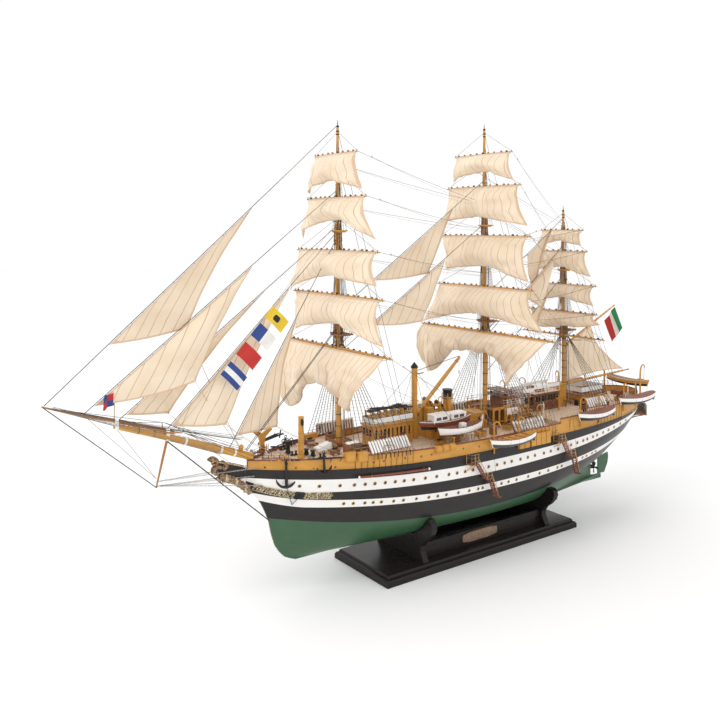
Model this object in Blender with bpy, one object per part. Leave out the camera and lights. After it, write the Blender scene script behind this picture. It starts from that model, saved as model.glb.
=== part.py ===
# Display model of a three-masted full-rigged training ship on its cradle stand.
# Metres. +X is the bow, +Y the port side, +Z up. The origin is the middle of the plinth's underside.

import math

import bmesh
import bpy
from mathutils import Vector

# Running gap between pieces that rest on each other
GAP = 0.0003

# Stand
PLINTH_LENGTH = 0.369
PLINTH_WIDTH = 0.122
PLINTH_HEIGHT = 0.013
PLINTH_STEP = 0.0045
FORE_CRADLE_X = 0.112
AFT_CRADLE_X = -0.128
CRADLE_THICKNESS = 0.009
SIDE_BOARD_Y = (0.0340, 0.0400)
SIDE_BOARD_TOP = 0.0340

# Hull
BEAM = 0.157
KEEL_HALF = 0.0014
KEEL_Z = 0.0406
KEEL_RAKE = 0.008
SHEER_MID_X = -0.02
BOW_X = 0.355
STERN_X = -0.388
COUNTER_X = -0.397
ENTRANCE = 0.36
RUN = 0.31
HULL_COLUMNS = 27
BOTTOM_ROWS = (0.0, 0.16, 0.19, 0.36, 0.55, 0.76, 0.94)

# Each line of the side rises as a parabola from amidships: height amidships, rise at bow, rise at stern
WATERLINE = (0.0730, 0.0350, 0.0090)
LOWER_BAND_BOTTOM = (0.1000, 0.0220, 0.0270)
LOWER_BAND_TOP = (0.1090, 0.0240, 0.0250)
UPPER_BAND_BOTTOM = (0.1250, 0.0150, 0.0310)
UPPER_BAND_TOP = (0.1410, 0.0170, 0.0200)
SHEER = (0.1560, 0.0130, 0.0060)

# Stem and stern profiles, height then X
STEM = ((0.0435, 0.286), (0.048, 0.300), (0.056, 0.308), (0.066, 0.315), (0.081, 0.320), (0.099, 0.324),
        (0.111, 0.329), (0.123, 0.335), (0.135, 0.344), (0.150, 0.3545), (0.170, 0.356))
STERN = ((0.0380, -0.320), (0.0450, -0.320), (0.0462, -0.293), (0.0735, -0.293), (0.0790, -0.328),
         (0.090, -0.345), (0.105, -0.364), (0.125, -0.384), (0.145, -0.395), (0.160, COUNTER_X),
         (0.185, COUNTER_X))

# Bulwarks and decks
BULWARK_THICKNESS = 0.0015
BULWARK_BOW_HEIGHT = 0.0100
BULWARK_MID_HEIGHT = 0.0155
BULWARK_POOP_HEIGHT = 0.0215
POOP_X = -0.128
MAIN_DECK_Z = 0.1660
FORECASTLE_X = 0.195
FORECASTLE_DROP = 0.0015
POOP_DECK_Z = 0.1735
GALLERY_FLOOR_Z = 0.1450

# Stern gear
PROPELLER_Z = 0.0580
PROPELLER_RADIUS = 0.0095
SHAFT_RADIUS = 0.0012
HUB_RADIUS = 0.0022
HUB_X = (-0.3000, -0.3060)
RUDDER_X = -0.3150
RUDDER_HALF = 0.0011

# Masts: foot X, then the heights of the lower top, the crosstrees and the truck
FORE_X, MAIN_X, MIZZEN_X = 0.2190, -0.0480, -0.2270
FORE_HEIGHTS = (0.322, 0.458, 0.605)
MAIN_HEIGHTS = (0.322, 0.466, 0.620)
MIZZEN_HEIGHTS = (0.296, 0.394, 0.500)
YARD_OFFSET = 0.0052
FUNNEL_X = 0.028
TOPMAST_STEP = 0.0016

# Yards: half length and height, from the royal down to the course yard
FORE_YARDS = ((0.051, 0.5595), (0.071, 0.5020), (0.0965, 0.4324), (0.1060, 0.3743), (0.122, 0.3055))
MAIN_YARDS = ((0.062, 0.5733), (0.079, 0.5246), (0.0985, 0.4504), (0.1025, 0.3743), (0.141, 0.3064))
MIZZEN_YARDS = ((0.045, 0.4593), (0.053, 0.4252), (0.070, 0.3712), (0.0725, 0.3268), (0.085, 0.2885))
YARD_RADIUS_PER_LENGTH = 0.017
YARD_TIP = 0.45

SAIL_THICKNESS = 0.0009
STAY_THICKNESS = 0.0010

MATERIALS = {
    "black_wood": ((0.030, 0.026, 0.025), 0.35, 0.0),
    "bronze": ((0.42, 0.27, 0.15), 0.40, 0.9),
    "hull_paint": ((0.06, 0.18, 0.08), 0.45, 0.0),
    "ochre": ((0.60, 0.29, 0.05), 0.50, 0.0),
    "deck_wood": ((0.62, 0.42, 0.28), 0.60, 0.0),
    "carving": ((0.30, 0.17, 0.07), 0.50, 0.2),
    "white_paint": ((0.90, 0.88, 0.84), 0.45, 0.0),
    "black_metal": ((0.03, 0.03, 0.03), 0.40, 0.6),
    "sailcloth": ((0.92, 0.82, 0.68), 0.85, 0.0),
    "brown_wood": ((0.28, 0.12, 0.06), 0.50, 0.0),
    "mahogany": ((0.22, 0.05, 0.03), 0.40, 0.0),
}


# Scene and mesh helpers

def clear_scene():
    for obj in list(bpy.data.objects):
        bpy.data.objects.remove(obj, do_unlink=True)


def make_material(name):
    color, roughness, metallic = MATERIALS[name]
    material = bpy.data.materials.new(name)
    material.use_nodes = True
    shader = material.node_tree.nodes["Principled BSDF"]
    shader.inputs["Base Color"].default_value = (*color, 1.0)
    shader.inputs["Roughness"].default_value = roughness
    shader.inputs["Metallic"].default_value = metallic
    return material


def material_named(name):
    return bpy.data.materials.get(name) or make_material(name)


def add_piece(name, shapes, material, origin=(0.0, 0.0, 0.0)):
    """One object from (points, faces) shapes, with its origin at the point given."""
    points = []
    faces = []
    for shape_points, shape_faces in shapes:
        start = len(points)
        points += [Vector(point) - Vector(origin) for point in shape_points]
        faces += [[start + index for index in face] for face in shape_faces]
    mesh = bpy.data.meshes.new(name)
    mesh.from_pydata(points, [], faces)
    work = bmesh.new()
    work.from_mesh(mesh)
    bmesh.ops.triangulate(work, faces=work.faces)
    bmesh.ops.recalc_face_normals(work, faces=work.faces)
    work.to_mesh(mesh)
    work.free()
    piece = bpy.data.objects.new(name, mesh)
    piece.location = origin
    piece.data.materials.append(material_named(material))
    bpy.context.scene.collection.objects.link(piece)
    return piece


def combine(piece, shapes, operation="UNION"):
    """Boolean the shapes with a piece, through a hidden guide."""
    guide = add_piece(f"guide_{len(piece.modifiers)}_{piece.name}", shapes, "black_wood")
    guide.hide_render = True
    guide.display_type = "WIRE"
    modifier = piece.modifiers.new(operation.lower(), "BOOLEAN")
    modifier.operation = operation
    modifier.solver = "EXACT"
    modifier.object = guide
    return piece


def ring_faces(ring_count, ring_size):
    faces = []
    for ring in range(ring_count - 1):
        for index in range(ring_size):
            after = (index + 1) % ring_size
            low = ring * ring_size
            high = low + ring_size
            faces.append((low + index, low + after, high + after, high + index))
    return faces


def loft(rings):
    """Skin over rings of equal size, each end closed by strips across the ring."""
    size = len(rings[0])
    faces = ring_faces(len(rings), size)
    for start in (0, (len(rings) - 1) * size):
        for index in range(size // 2 - 1):
            faces.append((start + index, start + index + 1,
                          start + size - 2 - index, start + size - 1 - index))
    return [point for ring in rings for point in ring], faces


def box(low, high):
    corners = [[(x, low[1], low[2]), (x, high[1], low[2]), (x, high[1], high[2]), (x, low[1], high[2])]
               for x in (low[0], high[0])]
    return loft(corners)


def tube(path, radii, sides=8):
    """Round bar along a path, with one radius for each point."""
    rings = []
    for index, point in enumerate(path):
        before = Vector(path[max(index - 1, 0)])
        after = Vector(path[min(index + 1, len(path) - 1)])
        along = (after - before).normalized()
        side = Vector((0.0, 1.0, 0.0))
        if abs(along.y) > 0.8:
            side = Vector((1.0, 0.0, 0.0))
        across = along.cross(side).normalized()
        side = across.cross(along)
        angles = [2 * math.pi * (step + 0.5) / sides for step in range(sides)]
        rings.append([Vector(point) + radii[index] * (math.cos(angle) * side + math.sin(angle) * across)
                      for angle in angles])
    return loft(rings)


def plate(outline, low_y, high_y):
    """Flat plate from an outline in X and Z."""
    count = len(outline)
    points = [(x, low_y, z) for x, z in outline] + [(x, high_y, z) for x, z in outline]
    faces = [tuple(range(count)), tuple(range(count, 2 * count))]
    faces += [(index, (index + 1) % count, count + (index + 1) % count, count + index)
              for index in range(count)]
    return points, faces


def along_table(table, value):
    """Straight-line reading of a table of (key, value) pairs."""
    if value <= table[0][0]:
        return table[0][1]
    for (low_key, low_value), (high_key, high_value) in zip(table, table[1:]):
        if value <= high_key:
            return low_value + (high_value - low_value) * (value - low_key) / (high_key - low_key)
    return table[-1][1]


def mix(low, high, amount):
    return low + (high - low) * amount


# Hull form

def line_height(line, x):
    middle, bow_rise, stern_rise = line
    if x > SHEER_MID_X:
        return middle + bow_rise * ((x - SHEER_MID_X) / (BOW_X - SHEER_MID_X)) ** 2
    return middle + stern_rise * ((x - SHEER_MID_X) / (STERN_X - SHEER_MID_X)) ** 2


def keel_height(x):
    return KEEL_Z + KEEL_RAKE * x


def half_breadth(x, z):
    """Half width of the hull at a place along it and a height."""
    keel = keel_height(x)
    rise = min(max((z - keel) / (SHEER[0] - keel), 0.0), 1.0)
    middle = BEAM / 2 * (1 - (1 - rise) ** 3.5) ** 0.46
    ahead = min(max((along_table(STEM, z) - x) / ENTRANCE, 0.0), 1.0)
    behind = min(max((x - along_table(STERN, z)) / RUN, 0.0), 1.0)
    entrance = 1 - (1 - ahead) ** (2.2 + 0.8 * rise)
    run = (1 - (1 - behind) ** (2.3 + 0.7 * rise)) ** mix(1.25, 0.5, rise ** 1.5)
    return max(KEEL_HALF, middle * entrance * run)


def row_height(row, x):
    """Height of a hull row: 0 to 1 lies between keel and waterline, then the painted lines."""
    if row <= 1:
        return mix(keel_height(x), line_height(WATERLINE, x), row)
    lines = (WATERLINE, LOWER_BAND_BOTTOM, LOWER_BAND_TOP, UPPER_BAND_BOTTOM, UPPER_BAND_TOP, SHEER)
    return line_height(lines[row - 1], x)


def row_end(row, profile, x):
    """Where a row runs out at the stem or the stern."""
    for _ in range(20):
        x = mix(x, along_table(profile, row_height(row, x)), 0.5)
    return x


def hull_rings():
    rows = BOTTOM_ROWS + (1, 2, 3, 4, 5, 6)
    bows = [row_end(row, STEM, 0.3) for row in rows]
    sterns = [row_end(row, STERN, -0.32 if row < 0.17 else -0.30) for row in rows]
    rings = []
    for column in range(HULL_COLUMNS):
        even = column / (HULL_COLUMNS - 1)
        share = mix(even, (1 - math.cos(math.pi * even)) / 2, 0.8)
        port = []
        for row, bow, stern in zip(rows, bows, sterns):
            x = mix(bow, stern, share)
            z = row_height(row, x)
            port.append((x, half_breadth(x, z), z))
        rings.append(port + [(x, -y, z) for x, y, z in reversed(port)])
    return rings


def make_hull():
    hull = add_piece("hull", [loft(hull_rings())], "hull_paint")
    return hull


def rail_height(x):
    if x < POOP_X:
        return line_height(SHEER, x) + BULWARK_POOP_HEIGHT
    share = max(0.0, (x - FORECASTLE_X) / (BOW_X - FORECASTLE_X))
    return line_height(SHEER, x) + mix(BULWARK_MID_HEIGHT, BULWARK_BOW_HEIGHT, share)


def deck_height(x):
    if x < POOP_X:
        return POOP_DECK_Z
    return rail_height(x) - FORECASTLE_DROP if x > FORECASTLE_X else MAIN_DECK_Z


def inset_breadth(x, inset):
    """Half width at the sheer, moved inboard square to the side."""
    step = 0.001
    slope = (half_breadth(x + step, line_height(SHEER, x)) - half_breadth(x - step, line_height(SHEER, x)))
    slope /= 2 * step
    wide = half_breadth(x, line_height(SHEER, x)) - inset * math.sqrt(1 + slope * slope)
    return max(wide, 0.0005)


def spaced(start, end, count, ease):
    """Places from start to end, closer at both ends where ease is near 1."""
    places = []
    for index in range(count):
        even = index / (count - 1)
        places.append(mix(start, end, mix(even, (1 - math.cos(math.pi * even)) / 2, ease)))
    return places


def side_places():
    """Places along the bulwark from the bow to the stern, with the poop's step between the two runs."""
    forecastle = spaced(0.3535, FORECASTLE_X + GAP, 8, 0.5)
    waist = spaced(FORECASTLE_X - GAP, POOP_X + GAP, 7, 0.0)
    poop = spaced(POOP_X - GAP, COUNTER_X + 0.0008, 13, 0.7)
    return forecastle + waist, poop


def bulwark_faces(x):
    """Outer and inner half width of the bulwark."""
    outer = max(half_breadth(x, line_height(SHEER, x)), KEEL_HALF)
    return outer, min(inset_breadth(x, BULWARK_THICKNESS), outer - 0.0008)


def make_bulwark(name, sign):
    rings = []
    waist, poop = side_places()
    for x in waist + poop:
        outer, inner = bulwark_faces(x)
        bottom = line_height(SHEER, x) + GAP
        top = rail_height(x)
        rings.append([(x, sign * inner, bottom), (x, sign * outer, bottom),
                      (x, sign * outer, top), (x, sign * inner, top)])
    return add_piece(name, [loft(rings)], "ochre")


def make_deck(places):
    """Deck from bow to stern inside the bulwarks, with the step up to the poop."""
    rings = []
    for x in places:
        inset = BULWARK_THICKNESS + 1.3 * GAP
        wide = min(inset_breadth(x, inset), bulwark_faces(x)[1] - 1.3 * GAP)
        bottom = line_height(SHEER, x) + GAP
        top = deck_height(x)
        rings.append([(x, wide, bottom), (x, wide, top), (x, -wide, top), (x, -wide, bottom)])
    return add_piece("deck", [loft(rings)], "deck_wood")


def make_stem_head():
    """Knee of the head and its carved figure, ahead of the stem."""
    knee = [(0.3462, 0.1370), (0.3720, 0.1560), (0.3900, 0.1690), (0.4060, 0.1850), (0.4000, 0.1895),
            (0.3860, 0.1830), (0.3720, 0.1770), (0.3575, 0.1720), (0.3565, 0.1520)]
    return add_piece("stem_head", [plate(knee, -0.0032, 0.0032)], "carving")


def stern_outline(offset):
    """Plan outline of the hull round the stern at the gallery's floor, moved outboard."""
    end = along_table(STERN, GALLERY_FLOOR_Z)
    points = []
    for ahead in (0.022, 0.016, 0.011, 0.007, 0.003, 0.0):
        points.append(Vector((end + ahead, half_breadth(end + ahead, GALLERY_FLOOR_Z), 0.0)))
    points[-1].y = 0.0
    points += [Vector((point.x, -point.y, 0.0)) for point in reversed(points[:-1])]
    moved = []
    for index, point in enumerate(points):
        along = points[min(index + 1, len(points) - 1)] - points[max(index - 1, 0)]
        outward = Vector((along.y, -along.x, 0.0)).normalized()
        moved.append(point + outward * offset)
    return moved


def make_stern_gallery():
    """Balcony round the stern: a floor with a parapet at its edge."""
    floor_low, floor_high, top = GALLERY_FLOOR_Z - 0.0020, GALLERY_FLOOR_Z, GALLERY_FLOOR_Z + 0.0145
    depth, wall = 0.0210, 0.0012
    rings = []
    lines = [stern_outline(offset) for offset in (2 * GAP, depth - wall, depth)]
    for inner, parapet, outer in zip(*lines):
        rings.append([(inner.x, inner.y, floor_low), (inner.x, inner.y, floor_high),
                      (parapet.x, parapet.y, floor_high), (parapet.x, parapet.y, top),
                      (outer.x, outer.y, top), (outer.x, outer.y, floor_low)])
    return add_piece("stern_gallery", [loft(rings)], "brown_wood")


def make_hull_group():
    make_hull()
    make_bulwark("bulwark_port", 1)
    make_bulwark("bulwark_starboard", -1)
    waist, poop = side_places()
    make_deck(waist[1:] + poop[:-1])
    make_stem_head()
    make_stern_gallery()


# Stand

def make_plinth():
    half_x, half_y = PLINTH_LENGTH / 2, PLINTH_WIDTH / 2
    rings = []
    for inset, height in ((0.0, 0.0), (0.0, 0.0060), (0.0018, 0.0085), (PLINTH_STEP, 0.0095),
                          (PLINTH_STEP, 0.0110), (PLINTH_STEP + 0.0015, PLINTH_HEIGHT)):
        x, y = half_x - inset, half_y - inset
        rings.append([(-x, -y, height), (x, -y, height), (x, y, height), (-x, y, height)])
    return add_piece("plinth", [loft(rings)], "black_wood")


def make_cradle(name, x):
    """Scrolled board across the plinth, cut to the hull's section."""
    low, high = x - CRADLE_THICKNESS / 2, x + CRADLE_THICKNESS / 2
    bottom = PLINTH_HEIGHT + GAP
    inner = []
    for row in BOTTOM_ROWS:
        height = min(row_height(row, low), row_height(row, high))
        wide = max(half_breadth(low, row_height(row, low)), half_breadth(high, row_height(row, high)))
        inner.append((wide + GAP, height - 1.8 * GAP))
    horn_z = inner[-1][1]
    side = [(0.0520, bottom), (0.0490, 0.0190), (0.0450, 0.0260), (0.0452, 0.0330), (0.0500, 0.0400),
            (0.0590, 0.0470), (0.0665, 0.0550), (0.0690, 0.0620), (0.0675, 0.0690), (0.0630, horn_z)]
    port = side + list(reversed(inner))
    outline = port + [(-y, z) for y, z in reversed(port)]
    count = len(outline)
    points = [(low, y, z) for y, z in outline] + [(high, y, z) for y, z in outline]
    faces = [tuple(range(count)), tuple(range(count, 2 * count))]
    faces += [(index, (index + 1) % count, count + (index + 1) % count, count + index)
              for index in range(count)]
    return add_piece(name, [(points, faces)], "black_wood")


def make_side_board(name, sign):
    """Board on edge that joins the two cradles on one side."""
    start = AFT_CRADLE_X + CRADLE_THICKNESS / 2 + GAP
    end = FORE_CRADLE_X - CRADLE_THICKNESS / 2 - GAP
    near, far = sorted(sign * y for y in SIDE_BOARD_Y)
    return add_piece(name, [box((start, near, PLINTH_HEIGHT + GAP), (end, far, SIDE_BOARD_TOP))], "black_wood")


def make_nameplate():
    """Blank plate with stepped ends on the port side board's outer face."""
    middle_x, middle_z, long, tall = 0.002, 0.0245, 0.0340, 0.0070
    outline = []
    for x_side, z_side in ((1, -1), (1, 1), (-1, 1), (-1, -1)):
        corners = [(long, 0.35 * tall), (long - 0.0045, 0.60 * tall), (long - 0.0065, tall)]
        for reach, height in corners if x_side == z_side else reversed(corners):
            outline.append((middle_x + x_side * reach, middle_z + z_side * height))
    face = SIDE_BOARD_Y[1] + GAP
    return add_piece("nameplate", [plate(outline, face, face + 0.0012)], "bronze")


def make_stand():
    make_plinth()
    make_cradle("fore_cradle", FORE_CRADLE_X)
    make_cradle("aft_cradle", AFT_CRADLE_X)
    make_side_board("side_board_port", 1)
    make_side_board("side_board_starboard", -1)
    make_nameplate()


# Stern gear

def make_rudder():
    blade = [(RUDDER_X + 0.0015, 0.0456), (-0.3300, 0.0456), (-0.3385, 0.0600), (-0.3405, 0.0700),
             (-0.3395, 0.0780), (-0.3280, 0.0760), (RUDDER_X + 0.0015, 0.0738)]
    return add_piece("rudder", [plate(blade, -RUDDER_HALF, RUDDER_HALF)], "hull_paint", (RUDDER_X, 0.0, 0.0456))


def make_propeller():
    """Four twisted blades on a hub, with the shaft up to the sternpost."""
    centre = (mix(HUB_X[0], HUB_X[1], 0.5), 0.0, PROPELLER_Z)
    path = [(-0.2934, 0.0, PROPELLER_Z), (HUB_X[0], 0.0, PROPELLER_Z), (HUB_X[0] - 0.0005, 0.0, PROPELLER_Z),
            (HUB_X[1] + 0.002, 0.0, PROPELLER_Z), (HUB_X[1], 0.0, PROPELLER_Z)]
    hub = tube(path, [SHAFT_RADIUS, SHAFT_RADIUS, HUB_RADIUS, HUB_RADIUS, 0.001], 8)
    propeller = add_piece("propeller", [hub], "black_metal")
    blades = []
    for blade in range(4):
        turn = Vector((0.0, math.cos(math.pi / 2 * blade), math.sin(math.pi / 2 * blade)))
        side = Vector((0.0, -turn.z, turn.y))
        rings = []
        for reach, width, pitch in ((0.0012, 0.0012, 50), (0.0045, 0.0030, 45), (0.0075, 0.0034, 35),
                                    (PROPELLER_RADIUS, 0.0016, 30)):
            chord = Vector((math.sin(math.radians(pitch)), 0.0, 0.0)) + side * math.cos(math.radians(pitch))
            face = chord.cross(turn) * 0.00035
            middle = Vector(centre) + turn * reach
            rings.append([middle + chord * width + face, middle - chord * width + face,
                          middle - chord * width - face, middle + chord * width - face])
        blades.append(loft(rings))
    return combine(combine(propeller, blades[::2]), blades[1::2])


# Masts, yards and bowsprit

def yard_radius(half_length):
    return max(0.0011, half_length * YARD_RADIUS_PER_LENGTH)


def mast_profile(heights):
    """Height, step forward and radius at each point of a mast above its foot."""
    top, trees, truck = heights
    step = TOPMAST_STEP
    return ((top - 0.002, 0.0, 0.0030), (top + 0.014, 0.0, 0.0030), (top + 0.020, step, 0.0025),
            (trees, step, 0.0022), (trees + 0.014, step, 0.0020), (trees + 0.018, step, 0.0015),
            (truck - 0.005, step, 0.0009), (truck - 0.004, step, 0.0018), (truck - 0.001, step, 0.0018),
            (truck, step, 0.0008))


def mast_face(foot_x, heights, z):
    """X of a mast's forward face, with room for a stay's end."""
    profile = mast_profile(heights)
    forward = along_table([(height, step) for height, step, _ in profile], z)
    return foot_x + forward + along_table([(height, radius) for height, _, radius in profile], z) + 2 * GAP


def make_mast(name, foot_x, heights, yards):
    """Pole in three steps with its tops and yards fused to it."""
    top, trees, _ = heights
    topmast_x = foot_x + TOPMAST_STEP
    path = [(foot_x, 0, deck_height(foot_x) + 1.7 * GAP)]
    path += [(foot_x + step, 0, height) for height, step, _ in mast_profile(heights)]
    radii = [0.0034] + [radius for _, _, radius in mast_profile(heights)]
    mast = add_piece(name, [tube(path, radii)], "ochre")
    spars = []
    for half, height in yards:
        radius = yard_radius(half)
        tips = [(foot_x + YARD_OFFSET, y, height) for y in (-half, -half * 0.5, half * 0.5, half)]
        spars.append(tube(tips, [radius * YARD_TIP, radius, radius, radius * YARD_TIP]))
    parrels = [box((topmast_x, -0.0013, height - 0.0008), (foot_x + YARD_OFFSET, 0.0013, height + 0.0008))
               for _, height in yards]
    combine(combine(mast, parrels), spars)
    tops = [box((foot_x - 0.0130, -0.0150, top), (foot_x + 0.0020, 0.0150, top + 0.0022)),
            box((foot_x - 0.0090, -0.0100, trees), (foot_x + 0.0020, 0.0100, trees + 0.0016))]
    return combine(mast, tops)


def make_bowsprit():
    path = [(0.3470, 0, 0.1827), (0.400, 0, 0.2022), (0.457, 0, 0.2233), (0.462, 0, 0.2252), (0.517, 0, 0.2452),
            (0.593, 0, 0.2740)]
    bowsprit = add_piece("bowsprit", [tube(path, [0.0045, 0.0045, 0.0042, 0.0029, 0.0026, 0.0010])], "ochre")
    striker = tube([(0.4560, 0, 0.2240), (0.4690, 0, 0.1670)], [0.0015, 0.0009], 6)
    return combine(bowsprit, [striker])


# Sails

def make_square_sail(name, mast_x, yard, foot_height, foot_half, arch, belly, clew_rise=0.0):
    """Thin crowned sheet under a yard: straight head, arched foot, hollow leeches."""
    half, height = yard
    head = height - yard_radius(half) - GAP
    columns, rows = 7, 6
    rings = []
    for row in range(rows + 1):
        down = row / rows
        front = []
        for column in range(columns + 1):
            across = 2 * column / columns - 1
            edge = mix(half * 0.93, foot_half, down) * (1 - 0.05 * math.sin(math.pi * down))
            foot = foot_height + arch * (1 - across ** 2) + clew_rise
            z = mix(head, foot, down)
            bulge = belly * math.sin(math.pi * min(1.0, down * 0.62 + 0.02)) ** 1.2 * (1 - 0.55 * across ** 2)
            front.append((mast_x + YARD_OFFSET + bulge * (1 if row else 0), across * edge, z))
        back = [(x - SAIL_THICKNESS, y, z) for x, y, z in reversed(front)]
        rings.append(front + back)
    return add_piece(name, [loft(rings)], "sailcloth")


def make_course(name, mast_x, yard, foot, swell):
    """Lowest square sail, clewed up: its foot is a table of (share across, Y, Z) hauled up unevenly."""
    half, height = yard
    head = height - yard_radius(half) - GAP
    rings = []
    for row in range(8):
        down = row / 7
        front = []
        for column in range(17):
            across = column / 8 - 1
            foot_y = along_table([(share, y) for share, y, _ in foot], across)
            foot_z = along_table([(share, z) for share, _, z in foot], across)
            out = swell * math.sin(math.pi * min(1.0, 0.86 * down + 0.04)) if row else 0.0
            front.append((mast_x + YARD_OFFSET + out, mix(across * half * 0.93, foot_y, down ** 1.2),
                          mix(head, foot_z, down)))
        back = [(x - SAIL_THICKNESS, y, z) for x, y, z in reversed(front)]
        rings.append(front + back)
    return add_piece(name, [loft(rings)], "sailcloth")


def make_mast_sails(mast, mast_x, yards, names, feet):
    for name, yard, (foot_height, foot_half, arch, belly) in zip(names, yards, feet):
        make_square_sail(f"{mast}_{name}", mast_x, yard, foot_height, foot_half, arch, belly)


def make_stay_sail(name, low, high, tack, head, clew, sag):
    """Stay from low to high with its three-cornered sail, in one thin body.

    Points are X and Z on the centreline; tack and head are shares of the stay.
    """
    low, high, clew = Vector((low[0], 0, low[1])), Vector((high[0], 0, high[1])), Vector((clew[0], 0, clew[1]))
    along = high - low
    length = along.length
    along.normalize()
    peak = (clew - low).dot(along) / length
    away = (clew - low) - along * peak * length
    depth = away.length
    away.normalize()
    shares = [0.0, tack - 0.004, tack]
    shares += [mix(tack, peak, step) for step in (0.35, 0.7, 1.0)] if peak > tack + 0.01 else [peak]
    shares += [mix(peak, head, step) for step in (0.2, 0.4, 0.6, 0.8, 1.0)] + [head + 0.004, 1.0]
    shares = sorted(set(round(share, 5) for share in shares))
    rings = []
    half = STAY_THICKNESS / 2
    for share in shares:
        reach = 0.0
        if tack <= share <= peak and peak > tack:
            reach = (share - tack) / (peak - tack)
        elif peak < share <= head:
            reach = ((head - share) / (head - peak)) ** 1.15
        wide = max(depth * reach, STAY_THICKNESS)
        front = []
        for step in range(5):
            out = step / 4
            side = sag * reach * (out ** 1.3) + 0.35 * sag * reach * math.sin(math.pi * out)
            front.append(low + along * share * length + away * (wide * out - half) + Vector((0, side, 0)))
        port = [point + Vector((0, half, 0)) for point in front]
        starboard = [point - Vector((0, half, 0)) for point in reversed(front)]
        rings.append(port + starboard)
    return add_piece(name, [loft(rings)], "sailcloth")


def make_sails():
    upper = ("royal", "topgallant", "upper_topsail", "lower_topsail")
    fore_feet = ((0.5150, 0.060, 0.0120, 0.018), (0.4450, 0.084, 0.0240, 0.022), (0.3850, 0.092, 0.0120, 0.020),
                 (0.3180, 0.104, 0.0190, 0.022))
    main_feet = ((0.5370, 0.068, 0.0100, 0.018), (0.4640, 0.086, 0.0110, 0.022), (0.3870, 0.090, 0.0160, 0.020),
                 (0.3190, 0.122, 0.0160, 0.022))
    mizzen_feet = ((0.4350, 0.048, 0.0060, 0.012), (0.3830, 0.060, 0.0140, 0.014), (0.3400, 0.066, 0.0060, 0.012),
                   (0.3000, 0.074, 0.0100, 0.012))
    make_mast_sails("fore", FORE_X, FORE_YARDS, upper, fore_feet)
    make_mast_sails("main", MAIN_X, MAIN_YARDS, upper, main_feet)
    make_mast_sails("mizzen", MIZZEN_X, MIZZEN_YARDS, upper, mizzen_feet)
    fore_foot = ((-1.0, -0.1130, 0.222), (-0.9, -0.1080, 0.213), (-0.78, -0.0940, 0.213), (-0.66, -0.0800, 0.226),
                 (-0.5, -0.0620, 0.246), (-0.3, -0.0400, 0.2545), (-0.1, -0.0180, 0.2560), (0.1, -0.0020, 0.2520),
                 (0.3, 0.0100, 0.2460), (0.6, 0.0220, 0.2380), (0.85, 0.0310, 0.2310), (1.0, 0.0345, 0.2290))
    main_foot = ((-1.0, -0.1300, 0.252), (-0.9, -0.1250, 0.237), (-0.78, -0.1110, 0.231), (-0.66, -0.0950, 0.240),
                 (-0.5, -0.0770, 0.261), (-0.3, -0.0520, 0.2740), (0.0, -0.0150, 0.2765), (0.3, 0.0150, 0.2765),
                 (0.55, 0.0350, 0.2740), (0.75, 0.0480, 0.2620), (0.9, 0.0560, 0.2500), (1.0, 0.0600, 0.2440))
    make_course("fore_course", FORE_X, FORE_YARDS[4], fore_foot, 0.020)
    make_course("main_course", MAIN_X, MAIN_YARDS[4], main_foot, 0.020)

    fore_ends = {z: (mast_face(FORE_X, FORE_HEIGHTS, z), z) for z in (0.5960, 0.5110, 0.4640, 0.4555, 0.4462)}
    make_stay_sail("flying_jib", (0.5915, 0.2754), fore_ends[0.5960], 0.17, 0.66, (0.430, 0.345), -0.006)
    make_stay_sail("outer_jib", (0.5510, 0.2610), fore_ends[0.5110], 0.03, 0.62, (0.425, 0.285), 0.006)
    make_stay_sail("middle_jib", (0.5140, 0.2485), fore_ends[0.4640], 0.03, 0.62, (0.452, 0.249), -0.005)
    make_stay_sail("inner_jib", (0.4590, 0.2290), fore_ends[0.4555], 0.03, 0.70, (0.385, 0.229), 0.005)
    make_stay_sail("topmast_staysail", (0.3770, 0.1985), fore_ends[0.4462], 0.05, 0.60, (0.309, 0.213), -0.005)
    fore_back, main_back = FORE_X - 0.0038, MAIN_X - 0.0038
    main_ends = {z: (mast_face(MAIN_X, MAIN_HEIGHTS, z), z) for z in (0.5335, 0.4680)}
    mizzen_ends = {z: (mast_face(MIZZEN_X, MIZZEN_HEIGHTS, z), z) for z in (0.4780, 0.4330, 0.3840)}
    make_stay_sail("main_upper_staysail", (fore_back, 0.3560), main_ends[0.5335], 0.20, 0.76, (0.054, 0.398),
                   -0.009)
    make_stay_sail("main_lower_staysail", (fore_back, 0.3000), main_ends[0.4680], 0.18, 0.72, (0.083, 0.332),
                   0.006)
    make_stay_sail("mizzen_upper_staysail", (main_back, 0.3620), mizzen_ends[0.4780], 0.50, 0.86,
                   (-0.167, 0.366), -0.010)
    make_stay_sail("mizzen_middle_staysail", (main_back, 0.3000), mizzen_ends[0.4330], 0.42, 0.86,
                   (-0.158, 0.338), 0.009)
    make_stay_sail("mizzen_lower_staysail", (main_back, 0.2460), mizzen_ends[0.3840], 0.52, 0.80,
                   (-0.167, 0.297), -0.006)


def make_fore_stay():
    low, high = (0.3550, 0, 0.1914), (FORE_X + 0.0042, 0, 0.3300)
    return add_piece("fore_stay", [tube([low, high], [0.0010, 0.0010], 6)], "black_metal")


# Spanker

BOOM_HEEL = (MIZZEN_X - 0.0040, 0.2075)
BOOM_END = (-0.4000, 0.2145)
GAFF_HEEL = (MIZZEN_X - 0.0038, 0.2720)
GAFF_PEAK = (-0.3600, 0.3300)


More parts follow.
